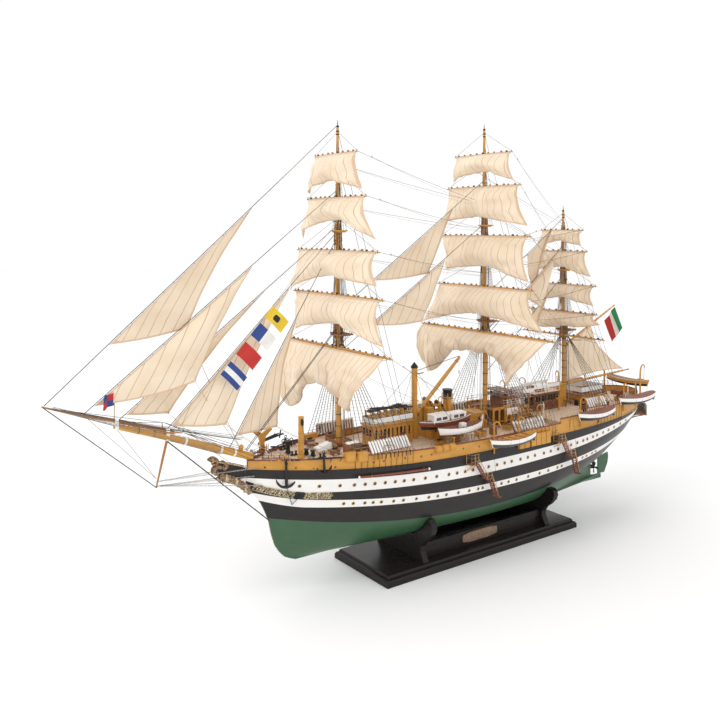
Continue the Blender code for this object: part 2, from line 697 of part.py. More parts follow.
def make_spanker():
    axis = (MIZZEN_X, 0.0, 0.2075)
    for name, heel, end in (("spanker_boom", BOOM_HEEL, BOOM_END), ("spanker_gaff", GAFF_HEEL, GAFF_PEAK)):
        path = [(mix(heel[0], end[0], share), 0.0, mix(heel[1], end[1], share)) for share in (0.0, 0.3, 0.75, 1.0)]
        add_piece(name, [tube(path, [0.0016, 0.0019, 0.0017, 0.0010])], "ochre", axis)
    rings = []
    for row in range(7):
        down = row / 6
        front = []
        for column in range(6):
            out = column / 5
            head = (mix(GAFF_HEEL[0], GAFF_PEAK[0], out * 0.93), mix(GAFF_HEEL[1], GAFF_PEAK[1], out * 0.93) - 0.0026)
            foot = (mix(BOOM_HEEL[0], BOOM_END[0], out * 0.90), mix(BOOM_HEEL[1], BOOM_END[1], out * 0.90) + 0.0040)
            x = mix(head[0], foot[0], down)
            z = mix(head[1], foot[1], down)
            side = -0.010 * math.sin(math.pi * down) ** 0.8 * math.sin(math.pi * (0.15 + 0.85 * out) * 0.9)
            front.append((x, side * (1 if out else 0.0), z))
        half = SAIL_THICKNESS / 2
        rings.append([(x, y + half, z) for x, y, z in front] + [(x, y - half, z) for x, y, z in reversed(front)])
    add_piece("spanker", [loft(rings)], "sailcloth", axis)


# Deck houses and fittings

def make_fore_deckhouse():
    base = deck_height(0.0) + GAP
    house = add_piece("fore_deckhouse", [box((0.103, -0.012, base), (0.172, 0.012, 0.1970))], "ochre")
    roof = box((0.1015, -0.014, 0.1960), (0.1745, 0.014, 0.1985))
    rack = box((0.105, -0.012, 0.1980), (0.170, 0.012, 0.2150))
    return combine(combine(house, [roof]), [rack])


def make_kingpost():
    x, base = 0.090, deck_height(0.0) + GAP
    path = [(x, 0, base), (x, 0, base + 0.004), (x, 0, base + 0.0045), (x, 0, 0.2600), (x, 0, 0.2605), (x, 0, 0.2740)]
    return add_piece("kingpost", [tube(path, [0.0060, 0.0060, 0.0043, 0.0040, 0.0048, 0.0022], 10)], "ochre")


def make_derrick_boom():
    axis = (0.090, 0.0, 0.2000)
    path = [(0.0845, 0, 0.2015), (0.060, 0, 0.2235), (0.030, 0, 0.2500), (0.004, 0, 0.2730)]
    return add_piece("derrick_boom", [tube(path, [0.0012, 0.0019, 0.0018, 0.0012])], "ochre", axis)


def make_funnel_casing():
    """Engine casing with its two cowls and the funnel."""
    base = deck_height(0.0) + GAP
    casing = add_piece("funnel_casing", [box((0.010, -0.022, base), (0.078, 0.022, 0.1860))], "ochre")
    cowls = [tube([(0.056, y, 0.184), (0.056, y, 0.204), (0.062, y, 0.210)], [0.0050, 0.0050, 0.0062])
             for y in (-0.014, 0.014)]
    heights = (0.1840, 0.1890, 0.1895, 0.2160, 0.2165, 0.2280, 0.2285)
    radii = (0.0085, 0.0085, 0.0066, 0.0064, 0.0070, 0.0066, 0.0050)
    funnel = tube([(FUNNEL_X, 0, z) for z in heights], radii, 12)
    return combine(combine(casing, cowls), [funnel])


def make_wheelhouse():
    base = POOP_DECK_Z + GAP
    house = add_piece("wheelhouse", [box((-0.201, -0.012, base), (-0.143, 0.012, 0.2025))], "brown_wood")
    return combine(house, [box((-0.204, -0.015, 0.2010), (-0.140, 0.015, 0.2035))])


def make_after_house():
    base = POOP_DECK_Z + GAP
    house = add_piece("after_house", [box((-0.300, -0.020, base), (-0.246, 0.020, 0.1880))], "ochre")
    return combine(house, [box((-0.303, -0.023, 0.1868), (-0.243, 0.023, 0.1895))])


def boat_shape(bow_x, stern_x, y, keel_z, beam, depth):
    """Decked boat: pointed at both ends, round below, with a crowned top."""
    rings = []
    for step in range(9):
        share = step / 8
        full = max(0.10, math.sin(math.pi * mix(0.04, 0.90, share)) ** 0.7)
        lift = 0.35 * depth * (2 * share - 1) ** 2
        x = mix(bow_x, stern_x, share)
        half = beam / 2 * full
        port = [(x, y + half * 0.15, keel_z + lift), (x, y + half * 0.75, keel_z + lift + depth * 0.35),
                (x, y + half, keel_z + lift + depth), (x, y + half * 0.3, keel_z + lift + depth * 1.12)]
        starboard = [(x, 2 * y - py, z) for x, py, z in reversed(port)]
        rings.append(port + starboard)
    return loft(rings)


def make_skid_boats(name, sign):
    """Launch and whaler side by side on two skid beams over the deck."""
    launch = boat_shape(0.100, 0.000, sign * 0.0380, 0.1850, 0.021, 0.0100)
    boats = add_piece(name, [launch], "white_paint")
    whaler = boat_shape(0.090, 0.012, sign * 0.0610, 0.1790, 0.017, 0.0080)
    cabin = box((0.018, sign * 0.0380 - 0.0065, 0.1930), (0.078, sign * 0.0380 + 0.0065, 0.2030))
    posts = []
    base = MAIN_DECK_Z + GAP
    for x in (0.074, 0.026):
        near, far = sorted((sign * 0.0290, sign * 0.0660))
        posts.append(box((x - 0.002, near, base), (x + 0.002, far, 0.1862)))
    combine(boats, posts)
    combine(boats, [whaler])
    return combine(boats, [cabin])


def davit_pair(places, sign, rail_y, boat_y, boat_top):
    """Curved davits that stand against the side and hold a boat by its ends."""
    davits = []
    for x in places:
        side = half_breadth(x, line_height(SHEER, x)) + 0.0013 + GAP
        foot = line_height(SHEER, x) - 0.006
        reach = max(side + 0.006, boat_y)
        path = [(x, sign * side, foot), (x, sign * side, rail_y), (x, sign * mix(side, reach, 0.35), rail_y + 0.009),
                (x, sign * reach, rail_y + 0.011), (x, sign * (reach + 0.0005), rail_y + 0.007),
                (x, sign * (reach + 0.0005), boat_top)]
        davits.append(tube(path, [0.0010, 0.0010, 0.0010, 0.0010, 0.0008, 0.0008], 6))
    return davits


def make_davit_boat(name, sign, bow_x, stern_x, y, keel_z):
    boat = boat_shape(bow_x, stern_x, sign * y, keel_z, 0.020, 0.0100)
    piece = add_piece(name, [boat], "white_paint")
    ends = (mix(bow_x, stern_x, 0.18), mix(bow_x, stern_x, 0.80))
    return combine(piece, davit_pair(ends, sign, keel_z + 0.024, y, keel_z + 0.007))


def make_boats():
    for side, sign in (("port", 1), ("starboard", -1)):
        make_skid_boats(f"skid_boats_{side}", sign)
        make_davit_boat(f"waist_boat_{side}", sign, 0.026, -0.066, 0.0925, 0.1600)
        make_davit_boat(f"quarter_boat_{side}", sign, -0.160, -0.250, 0.0900, 0.1710)
        make_davit_boat(f"stern_boat_{side}", sign, -0.268, -0.364, 0.0740, 0.1770)


def make_deck_fittings():
    make_fore_deckhouse()
    make_kingpost()
    make_derrick_boom()
    make_funnel_casing()
    make_wheelhouse()
    make_after_house()


def main():
    clear_scene()
    make_stand()
    make_hull_group()
    make_rudder()
    make_propeller()
    make_mast("foremast", FORE_X, FORE_HEIGHTS, FORE_YARDS)
    make_mast("mainmast", MAIN_X, MAIN_HEIGHTS, MAIN_YARDS)
    make_mast("mizzenmast", MIZZEN_X, MIZZEN_HEIGHTS, MIZZEN_YARDS)
    make_bowsprit()
    make_fore_stay()
    make_sails()
    make_spanker()
    make_deck_fittings()
    make_boats()


main()
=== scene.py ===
# Looks of the display model of a three-masted ship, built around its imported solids.
# Metres. +X is the bow, +Y the port side, +Z up. The origin is the middle of the plinth's underside.

import math

import bpy
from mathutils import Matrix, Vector, noise


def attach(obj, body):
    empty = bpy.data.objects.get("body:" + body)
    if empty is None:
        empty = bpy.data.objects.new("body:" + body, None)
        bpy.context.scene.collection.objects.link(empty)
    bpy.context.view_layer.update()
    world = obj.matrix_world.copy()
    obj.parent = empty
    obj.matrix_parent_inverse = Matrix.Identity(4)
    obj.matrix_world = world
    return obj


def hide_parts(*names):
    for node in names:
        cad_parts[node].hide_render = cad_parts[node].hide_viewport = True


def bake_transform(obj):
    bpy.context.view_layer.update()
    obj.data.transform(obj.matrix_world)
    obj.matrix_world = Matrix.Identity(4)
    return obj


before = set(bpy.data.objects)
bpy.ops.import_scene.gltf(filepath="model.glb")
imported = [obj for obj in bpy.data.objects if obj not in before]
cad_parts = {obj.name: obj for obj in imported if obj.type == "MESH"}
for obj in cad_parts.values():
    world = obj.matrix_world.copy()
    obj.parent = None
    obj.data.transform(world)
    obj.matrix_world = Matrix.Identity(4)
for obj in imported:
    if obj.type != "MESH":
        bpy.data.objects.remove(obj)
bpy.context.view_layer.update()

UP = Vector((0, 0, 1))
ACROSS = Vector((0, 1, 0))
GAP = 0.0003

# Camera, at the photo's view
CAMERA_PLACE = (0.811, 0.8754, 0.46)
CAMERA_AIM = (-0.582, -0.813, 0.0)
CAMERA_LENS = 40.1
CAMERA_SHIFT = -0.1806

# Hull form, as in the solids
BEAM = 0.157
KEEL_HALF = 0.0014
KEEL_Z = 0.0406
KEEL_RAKE = 0.008
SHEER_MID_X = -0.02
BOW_X = 0.355
STERN_X = -0.388
COUNTER_X = -0.397
ENTRANCE = 0.36
RUN = 0.31
WATERLINE = (0.0730, 0.0350, 0.0090, 0.0)
LOWER_BAND_BOTTOM = (0.1000, 0.0220, 0.0270, 0.0110)
LOWER_BAND_TOP = (0.1090, 0.0240, 0.0250, 0.0075)
UPPER_BAND_BOTTOM = (0.1250, 0.0150, 0.0310, 0.0142)
UPPER_BAND_TOP = (0.1410, 0.0170, 0.0200, 0.0)
SHEER = (0.1560, 0.0130, 0.0060, 0.0)
BOW_LIFT_X = 0.285
STEM = ((0.0435, 0.286), (0.048, 0.300), (0.056, 0.308), (0.066, 0.315), (0.081, 0.320), (0.099, 0.324),
        (0.111, 0.329), (0.123, 0.335), (0.135, 0.344), (0.150, 0.3545), (0.170, 0.356))
STERN = ((0.0380, -0.320), (0.0450, -0.320), (0.0462, -0.293), (0.0735, -0.293), (0.0790, -0.328),
         (0.090, -0.345), (0.105, -0.364), (0.125, -0.384), (0.145, -0.395), (0.160, COUNTER_X),
         (0.185, COUNTER_X))

# Bulwarks and decks
BULWARK_BOW_HEIGHT = 0.0100
BULWARK_MID_HEIGHT = 0.0155
BULWARK_POOP_HEIGHT = 0.0215
POOP_X = -0.128
MAIN_DECK_Z = 0.1660
FORECASTLE_X = 0.195
FORECASTLE_DROP = 0.0015
POOP_DECK_Z = 0.1735

# Ports along each white band, as distances from amidships in millimetres
UPPER_PORTS = (297, 274, 249, 231, 217, 204, 190, 176, 163, 149, 131, 113, 93, 79, 65, 51, 22, 6, -9, -23, -41,
               -56, -71, -90, -105, -121, -151, -166, -181, -191, -206, -217, -234, -250, -267, -288, -308)
LOWER_PORTS = (240, 228, 213, 202, 191, 174, 160, 141, 122, 108, 94, 74, 55, 39, 31, 10, -5, -19, -35, -59,
               -83, -102, -123, -133, -186, -197, -213, -224)

# Masts: foot X, then the heights of the lower top, the crosstrees and the truck
FORE_X, MAIN_X, MIZZEN_X = 0.2190, -0.0480, -0.2270
FORE_HEIGHTS = (0.322, 0.458, 0.605)
MAIN_HEIGHTS = (0.322, 0.466, 0.620)
MIZZEN_HEIGHTS = (0.296, 0.394, 0.500)
YARD_OFFSET = 0.0052
TOPMAST_STEP = 0.0016
FUNNEL_X = 0.028
KINGPOST_X = 0.0900
HAWSE_X = 0.2945
GALLERY_FLOOR_Z = 0.1450
HANK_PITCH = 0.0165
SIGNS = (1, -1)

# Yards: half length and height, from the royal down to the course yard
FORE_YARDS = ((0.051, 0.5595), (0.071, 0.5020), (0.0965, 0.4324), (0.1060, 0.3743), (0.122, 0.3055))
MAIN_YARDS = ((0.062, 0.5733), (0.079, 0.5246), (0.0985, 0.4504), (0.1025, 0.3743), (0.141, 0.3064))
MIZZEN_YARDS = ((0.045, 0.4593), (0.053, 0.4252), (0.070, 0.3712), (0.0725, 0.3268), (0.085, 0.2885))
SAIL_NAMES = ("royal", "topgallant", "upper_topsail", "lower_topsail", "course")

# Spanker
BOOM_HEEL = (MIZZEN_X - 0.0040, 0.2075)
BOOM_END = (-0.4000, 0.2145)
GAFF_HEEL = (MIZZEN_X - 0.0038, 0.2720)
GAFF_PEAK = (-0.3600, 0.3300)


# Shapes

def mix(low, high, amount):
    return low + (high - low) * amount


def steps(start, end, count):
    """Even steps from start to end, both included."""
    return [mix(start, end, index / count) for index in range(count + 1)]


def turns(count, more=0):
    """Even angles round a circle; more adds angles past a full turn."""
    return [2 * math.pi * index / count for index in range(count + more)]


def closed(points):
    return [*points, points[0]]


class Shape:
    """Points and faces gathered into one mesh, with a finish number for each face."""

    def __init__(self):
        self.points = []
        self.faces = []
        self.finishes = []

    def add(self, points, faces, finish=0):
        start = len(self.points)
        self.points.extend(points)
        self.faces.extend(tuple(start + index for index in face) for face in faces)
        self.finishes.extend([finish] * len(faces))

    def tube(self, path, radii, sides=8, finish=0, flat=1.0):
        """Round bar along a path; flat squeezes it across its second direction."""
        path = [Vector(point) for point in path]
        if isinstance(radii, float):
            radii = [radii] * len(path)
        side = None
        points = []
        for index, point in enumerate(path):
            along = path[min(index + 1, len(path) - 1)] - path[max(index - 1, 0)]
            along.normalize()
            if side is None:
                side = UP if abs(along.z) < 0.8 else ACROSS
            side = (side - along * side.dot(along)).normalized()
            across = along.cross(side)
            for angle in turns(sides):
                points.append(point + radii[index] * (math.cos(angle) * side + flat * math.sin(angle) * across))
        faces = []
        for ring in range(len(path) - 1):
            for step in range(sides):
                after = (step + 1) % sides
                low, high = ring * sides, (ring + 1) * sides
                faces.append((low + step, low + after, high + after, high + step))
        last = (len(path) - 1) * sides
        faces.append(tuple(reversed(range(sides))))
        faces.append(tuple(range(last, last + sides)))
        self.add(points, faces, finish)

    def rope(self, start, end, radius=0.0003, finish=0, sag=0.0, sides=4):
        start, end = Vector(start), Vector(end)
        count = 1 if sag == 0.0 else 8
        path = []
        for step in range(count + 1):
            share = step / count
            point = start.lerp(end, share)
            point.z -= sag * 4 * share * (1 - share)
            path.append(point)
        self.tube(path, radius, sides, finish)

    def post(self, x, y, low, high, radii, sides=8, finish=0):
        """Upright round bar."""
        self.tube([(x, y, low), (x, y, high)], radii, sides, finish)

    def box(self, low, high, finish=0):
        """Upright box between two opposite corners, in any order."""
        spans = [sorted(pair) for pair in zip(low, high)]
        points = [(x, y, z) for x in spans[0] for y in spans[1] for z in spans[2]]
        faces = [(0, 1, 3, 2), (4, 6, 7, 5), (0, 4, 5, 1), (2, 3, 7, 6), (0, 2, 6, 4), (1, 5, 7, 3)]
        self.add(points, faces, finish)

    def block(self, corners, finish=0):
        """Six-sided solid from four corners of one face, then those of the opposite one."""
        faces = [(0, 1, 2, 3), (7, 6, 5, 4), (0, 4, 5, 1), (1, 5, 6, 2), (2, 6, 7, 3), (3, 7, 4, 0)]
        self.add(corners, faces, finish)

    def bar(self, start, end, wide, tall, finish=0):
        """Straight square bar between two points."""
        start, end = Vector(start), Vector(end)
        along = (end - start).normalized()
        side = along.cross(UP if abs(along.z) < 0.9 else ACROSS).normalized() * wide / 2
        up = side.cross(along).normalized() * tall / 2
        section = (-side - up, side - up, side + up, -side + up)
        self.block([point + corner for point in (start, end) for corner in section], finish)

    def plate(self, outline, low, high, across="y", finish=0):
        """Flat plate from a two-way outline, thick along the axis named."""
        count = len(outline)
        place = {"x": lambda a, b, t: (t, a, b), "y": lambda a, b, t: (a, t, b), "z": lambda a, b, t: (a, b, t)}
        points = [place[across](a, b, thick) for thick in (low, high) for a, b in outline]
        faces = [tuple(reversed(range(count))), tuple(range(count, 2 * count))]
        for index in range(count):
            after = (index + 1) % count
            faces.append((index, after, count + after, count + index))
        self.add(points, faces, finish)

    def grid(self, rows, finish=0, wrap=False):
        """Surface over rows of points."""
        wide = len(rows[0])
        points = [point for row in rows for point in row]
        faces = []
        for row in range(len(rows) - 1):
            for step in range(wide if wrap else wide - 1):
                after = (step + 1) % wide
                low, high = row * wide, (row + 1) * wide
                faces.append((low + step, low + after, high + after, high + step))
        self.add(points, faces, finish)

    def ball(self, centre, radius, finish=0, sides=8, rings=5, stretch=(1, 1, 1)):
        centre = Vector(centre)
        long, wide, tall = (radius * share for share in stretch)
        rows = []
        for share in steps(0.02, 0.98, rings):
            out, rise = math.sin(math.pi * share), tall * math.cos(math.pi * share)
            rows.append([centre + Vector((long * out * math.cos(angle), wide * out * math.sin(angle), rise))
                         for angle in turns(sides)])
        start = len(self.points)
        self.grid(rows, finish, wrap=True)
        last = start + rings * sides
        self.faces.append(tuple(range(start, start + sides)))
        self.faces.append(tuple(reversed(range(last, last + sides))))
        self.finishes.extend([finish, finish])

    def ring(self, centre, radius, thick, normal, finish=0, sides=16, around=6):
        """Round ring about a point, in the plane square to its normal."""
        centre, normal = Vector(centre), Vector(normal).normalized()
        side = normal.cross(UP if abs(normal.z) < 0.9 else ACROSS).normalized()
        up = normal.cross(side)
        rows = []
        for angle in turns(sides, 1):
            out = math.cos(angle) * side + math.sin(angle) * up
            rows.append([centre + out * (radius + thick * math.cos(turn)) + normal * thick * math.sin(turn)
                         for turn in turns(around)])
        self.grid(rows, finish, wrap=True)


def make_piece(name, shape, materials, body="ship", replaces=(), smooth=40.0):
    mesh = bpy.data.meshes.new(name)
    mesh.from_pydata([tuple(point) for point in shape.points], [], shape.faces)
    used = sorted(set(shape.finishes))
    mesh.polygons.foreach_set("material_index", [used.index(finish) for finish in shape.finishes])
    mesh.polygons.foreach_set("use_smooth", [True] * len(shape.faces))
    for finish in used:
        mesh.materials.append(Finish.made[materials[finish]])
    mesh.set_sharp_from_angle(angle=math.radians(smooth))
    mesh.update()
    piece = bpy.data.objects.new(name, mesh)
    bpy.context.scene.collection.objects.link(piece)
    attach(piece, body)
    if replaces:
        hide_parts(*replaces)
    return piece


def soften(piece, width, segments=2):
    """Small round on a piece's hard edges."""
    modifier = piece.modifiers.new("round", "BEVEL")
    modifier.width = width
    modifier.segments = segments
    modifier.limit_method = "ANGLE"
    modifier.harden_normals = False
    return piece


def along_table(table, value):
    """Straight-line reading of a table of (key, value) pairs."""
    if value <= table[0][0]:
        return table[0][1]
    for (low_key, low_value), (high_key, high_value) in zip(table, table[1:]):
        if value <= high_key:
            return low_value + (high_value - low_value) * (value - low_key) / (high_key - low_key)
    return table[-1][1]


def curve_through(points, count):
    """Smooth path through a few points."""
    points = [Vector(point) for point in points]
    padded = [points[0] * 2 - points[1]] + points + [points[-1] * 2 - points[-2]]
    path = []
    for step in range(count + 1):
        place = step / count * (len(points) - 1)
        span = min(int(place), len(points) - 2)
        t = place - span
        a, b, c, d = padded[span:span + 4]
        path.append(0.5 * ((2 * b) + (c - a) * t + (2 * a - 5 * b + 4 * c - d) * t * t
                           + (3 * b - a - 3 * c + d) * t * t * t))
    return path


# Hull form

def line_height(line, x):
    middle, bow_rise, stern_rise, bow_lift = line
    if x > SHEER_MID_X:
        lift = bow_lift * max(0.0, (x - BOW_LIFT_X) / (BOW_X - BOW_LIFT_X)) ** 1.6
        return middle + bow_rise * ((x - SHEER_MID_X) / (BOW_X - SHEER_MID_X)) ** 2 + lift
    return middle + stern_rise * ((x - SHEER_MID_X) / (STERN_X - SHEER_MID_X)) ** 2


def keel_height(x):
    return KEEL_Z + KEEL_RAKE * x


def half_breadth(x, z):
    """Half width of the hull at a place along it and a height."""
    keel = keel_height(x)
    rise = min(max((z - keel) / (SHEER[0] - keel), 0.0), 1.0)
    middle = BEAM / 2 * (1 - (1 - rise) ** 3.5) ** 0.46
    ahead = min(max((along_table(STEM, z) - x) / ENTRANCE, 0.0), 1.0)
    behind = min(max((x - along_table(STERN, z)) / RUN, 0.0), 1.0)
    entrance = 1 - (1 - ahead) ** (2.2 + 0.8 * rise)
    run = (1 - (1 - behind) ** (2.3 + 0.7 * rise)) ** mix(1.25, 0.5, rise ** 1.5)
    return max(KEEL_HALF, middle * entrance * run)


def row_height(row, x):
    """Height of a hull row: 0 to 1 lies between keel and waterline, then the painted lines."""
    if row <= 1:
        return mix(keel_height(x), line_height(WATERLINE, x), row)
    lines = (WATERLINE, LOWER_BAND_BOTTOM, LOWER_BAND_TOP, UPPER_BAND_BOTTOM, UPPER_BAND_TOP, SHEER)
    low = min(int(row) - 1, 4)
    return mix(line_height(lines[low], x), line_height(lines[low + 1], x), row - 1 - low)


def row_end(row, profile, x):
    """Where a row runs out at the stem or the stern."""
    for _ in range(24):
        x = mix(x, along_table(profile, row_height(row, x)), 0.5)
    return x


def side_height(x):
    return line_height(SHEER, x)


def side_breadth(x):
    return max(half_breadth(x, side_height(x)), KEEL_HALF)


def rail_height(x):
    if x < POOP_X:
        return side_height(x) + BULWARK_POOP_HEIGHT
    share = max(0.0, (x - FORECASTLE_X) / (BOW_X - FORECASTLE_X))
    return side_height(x) + mix(BULWARK_MID_HEIGHT, BULWARK_BOW_HEIGHT, share)


def deck_height(x):
    if x < POOP_X:
        return POOP_DECK_Z
    return rail_height(x) - FORECASTLE_DROP if x > FORECASTLE_X else MAIN_DECK_Z


def side_normal(x, z, sign):
    """Outward direction of the hull's side at a place and height."""
    step = 0.002
    slope = (half_breadth(x + step, z) - half_breadth(x - step, z)) / (2 * step)
    lean = (half_breadth(x, z + step) - half_breadth(x, z - step)) / (2 * step)
    return Vector((-slope, sign, -lean)).normalized()


def on_side(x, z, sign, out=0.0):
    return Vector((x, sign * half_breadth(x, z), z)) + side_normal(x, z, sign) * out


def at_rail(x, sign, out=0.0, rise=0.0):
    """Place at the bulwark's rail, moved outboard and up."""
    return Vector((x, sign * (side_breadth(x) + out), rail_height(x) + rise))


# Materials

class Finish:
    """A material with short ways to add its nodes."""

    made = {}

    def __init__(self, name, roughness, metallic=0.0):
        self.material = bpy.data.materials.new(f"{name}_finish")
        Finish.made[name] = self.material
        self.material.use_nodes = True
        self.nodes = self.material.node_tree.nodes
        self.links = self.material.node_tree.links
        self.shader = self.nodes["Principled BSDF"]
        self.shader.inputs["Roughness"].default_value = roughness
        self.shader.inputs["Metallic"].default_value = metallic
        self.place = self.nodes.new("ShaderNodeTexCoord").outputs["Object"]

    def node(self, kind, inputs=(), **settings):
        node = self.nodes.new(kind)
        for key, value in settings.items():
            setattr(node, key, value)
        for key, value in dict(inputs).items():
            if isinstance(value, bpy.types.NodeSocket):
                self.links.new(value, node.inputs[key])
            else:
                node.inputs[key].default_value = value
        return node

    def scaled(self, scale):
        return self.node("ShaderNodeMapping", {"Vector": self.place, "Scale": scale}).outputs["Vector"]

    def noise(self, scale, detail=4.0, stretch=(1, 1, 1), rough=0.5):
        inputs = {"Vector": self.scaled(stretch), "Scale": scale, "Detail": detail, "Roughness": rough}
        return self.node("ShaderNodeTexNoise", inputs).outputs["Fac"]

    def math(self, operation, a, b=0.0):
        return self.node("ShaderNodeMath", {0: a, 1: b}, operation=operation).outputs[0]

    def ramp(self, value, stops):
        ramp = self.node("ShaderNodeValToRGB", {"Fac": value})
        elements = ramp.color_ramp.elements
        elements[0].position, elements[0].color = stops[0][0], (*stops[0][1], 1)
        elements[1].position, elements[1].color = stops[-1][0], (*stops[-1][1], 1)
        for position, color in stops[1:-1]:
            elements.new(position).color = (*color, 1)
        return ramp.outputs["Color"]

    def blend(self, amount, first, second, kind="MIX"):
        node = self.node("ShaderNodeMix", data_type="RGBA", blend_type=kind)
        for socket, value in ((node.inputs[0], amount), (node.inputs[6], first), (node.inputs[7], second)):
            if isinstance(value, bpy.types.NodeSocket):
                self.links.new(value, socket)
            else:
                socket.default_value = (*value, 1) if isinstance(value, tuple) else value
        return node.outputs[2]

    def color(self, output):
        self.links.new(output, self.shader.inputs["Base Color"])

    def roughness(self, value, low, high):
        node = self.node("ShaderNodeMapRange", {"Value": value, "To Min": low, "To Max": high})
        self.links.new(node.outputs["Result"], self.shader.inputs["Roughness"])

    def bump(self, height, strength, distance):
        inputs = {"Height": height, "Strength": strength, "Distance": distance}
        self.links.new(self.node("ShaderNodeBump", inputs).outputs["Normal"], self.shader.inputs["Normal"])

    def weights(self, **sockets):
        for key, value in sockets.items():
            self.shader.inputs[key.replace("_", " ")].default_value = value


def shade(color, amount):
    return tuple(min(1.0, channel * amount) for channel in color)


def paint(name, color, roughness=0.45, spread=0.08, stretch=(0.3, 1, 1), bump=0.12):
    """Brushed satin paint over wood."""
    finish = Finish(name, roughness)
    streaks = finish.noise(160.0, 5.0, stretch)
    finish.color(finish.ramp(streaks, [(0.25, shade(color, 1 - spread)), (0.75, shade(color, 1 + spread))]))
    finish.roughness(finish.noise(45.0, 3.0), roughness - 0.07, roughness + 0.10)
    finish.bump(finish.noise(700.0, 6.0, stretch), bump, 0.0004)
    return finish


def wood(name, light, dark, stretch=(0.12, 1, 1), roughness=0.45, scale=260.0, bump=0.25):
    """Bare or varnished wood with its grain along the axis that stretch makes short."""
    finish = Finish(name, roughness)
    grain = finish.noise(scale, 8.0, stretch, 0.62)
    broad = finish.noise(scale / 7, 3.0, stretch)
    tone = finish.blend(0.35, grain, broad)
    finish.color(finish.ramp(tone, [(0.30, dark), (0.50, shade(light, 0.88)), (0.72, light)]))
    finish.roughness(grain, roughness - 0.08, roughness + 0.12)
    finish.bump(grain, bump, 0.0004)
    return finish


def metal(name, color, roughness=0.35, metallic=1.0):
    finish = Finish(name, roughness, metallic)
    stain = finish.noise(300.0, 5.0)
    finish.color(finish.ramp(stain, [(0.30, shade(color, 0.62)), (0.70, color)]))
    finish.roughness(finish.noise(900.0, 4.0), roughness - 0.08, roughness + 0.15)
    finish.bump(stain, 0.15, 0.0002)
    return finish


def cordage(name, color):
    """Laid rope: a fine twist in tone and height."""
    finish = Finish(name, 0.85)
    twist = finish.noise(2600.0, 2.0, (1, 1, 0.6))
    finish.color(finish.ramp(twist, [(0.35, shade(color, 0.66)), (0.65, shade(color, 1.10))]))
    finish.bump(twist, 0.5, 0.0002)
    return finish


def planked(name, light, dark, width, roughness=0.55):
    """Laid deck planks along the ship, with dark caulking and a tone for each plank."""
    finish = Finish(name, roughness)
    parts = finish.node("ShaderNodeSeparateXYZ", {"Vector": finish.place})
    across = finish.math("DIVIDE", parts.outputs["Y"], width)
    plank = finish.math("FLOOR", across)
    seam = finish.math("ABSOLUTE", finish.math("SUBTRACT", finish.math("FRACT", across), 0.5))
    shift = finish.math("MULTIPLY", plank, 0.0371)
    lengthways = finish.math("DIVIDE", finish.math("ADD", parts.outputs["X"], shift), 0.058)
    board = finish.math("FLOOR", lengthways)
    butt = finish.math("ABSOLUTE", finish.math("SUBTRACT", finish.math("FRACT", lengthways), 0.5))
    cell = finish.node("ShaderNodeCombineXYZ", {"X": board, "Y": plank}).outputs["Vector"]
    tone = finish.node("ShaderNodeTexWhiteNoise", {"Vector": cell}, noise_dimensions="3D").outputs["Value"]
    grain = finish.noise(300.0, 7.0, (0.10, 1, 1), 0.6)
    board_color = finish.ramp(finish.blend(0.5, tone, grain), [(0.15, shade(light, 0.72)), (0.85, light)])
    line = finish.math("MAXIMUM", finish.math("GREATER_THAN", seam, 0.44),
                       finish.math("GREATER_THAN", butt, 0.496))
    finish.color(finish.blend(line, board_color, dark))
    finish.bump(finish.math("SUBTRACT", grain, line), 0.25, 0.0003)
    return finish


def sailcloth(name, light, deep, hem, thread, width):
    """Sewn cotton: woven threads, seams a panel apart and a doubled hem round the edge."""
    finish = Finish(name, 0.92)
    finish.weights(Sheen_Weight=0.25, Sheen_Roughness=0.5, Specular_IOR_Level=0.15)
    cloth = finish.node("ShaderNodeUVMap", uv_map="cloth").outputs["UV"]
    parts = finish.node("ShaderNodeSeparateXYZ", {"Vector": cloth})
    panel = finish.math("FRACT", finish.math("DIVIDE", parts.outputs["X"], width))
    seam = finish.math("GREATER_THAN", finish.math("ABSOLUTE", finish.math("SUBTRACT", panel, 0.5)), 0.466)
    edge = finish.node("ShaderNodeAttribute", attribute_name="edge").outputs["Fac"]
    hem_side = finish.node("ShaderNodeMapRange", {"Value": edge, "From Min": 0.0020, "From Max": 0.0032})
    hem_amount = finish.math("SUBTRACT", 1.0, hem_side.outputs["Result"])
    stain = finish.noise(28.0, 5.0)
    base = finish.ramp(stain, [(0.25, deep), (0.70, light)])
    spread = {"Value": finish.noise(55.0, 2.0), "To Min": 0.35, "To Max": 1.0}
    faded = finish.node("ShaderNodeMapRange", spread)
    seamed = finish.blend(finish.math("MULTIPLY", seam, faded.outputs["Result"]), base, thread)
    finish.color(finish.blend(finish.math("MULTIPLY", hem_amount, 0.80), seamed, hem))
    thread = {"Vector": cloth, "Scale": 900.0}
    warp, weft = [finish.node("ShaderNodeTexWave", thread, bands_direction=way).outputs["Fac"] for way in "XY"]
    weave = finish.math("MAXIMUM", warp, weft)
    edges = finish.math("MAXIMUM", seam, hem_amount)
    raised = finish.math("ADD", finish.math("MULTIPLY", weave, 0.12), edges)
    finish.bump(raised, 0.35, 0.0003)
    return finish


def carved(name, low, high):
    """Carved relief in its dark ground and gold, coloured with its bumps: painted shade darkens its hollows and
    painted highlight lightens its crests.
    """
    finish = Finish(name, 0.38, 0.35)
    relief_and_painted_light = finish.noise(420.0, 5.0, (1, 1, 1), 0.6)
    # the relief noise also sets the colour: painted shade in the hollows, painted highlight on the crests
    finish.color(finish.ramp(relief_and_painted_light, [(0.36, low), (0.52, shade(high, 0.55)), (0.66, high)]))
    finish.bump(relief_and_painted_light, 0.8, 0.0008)
    return finish


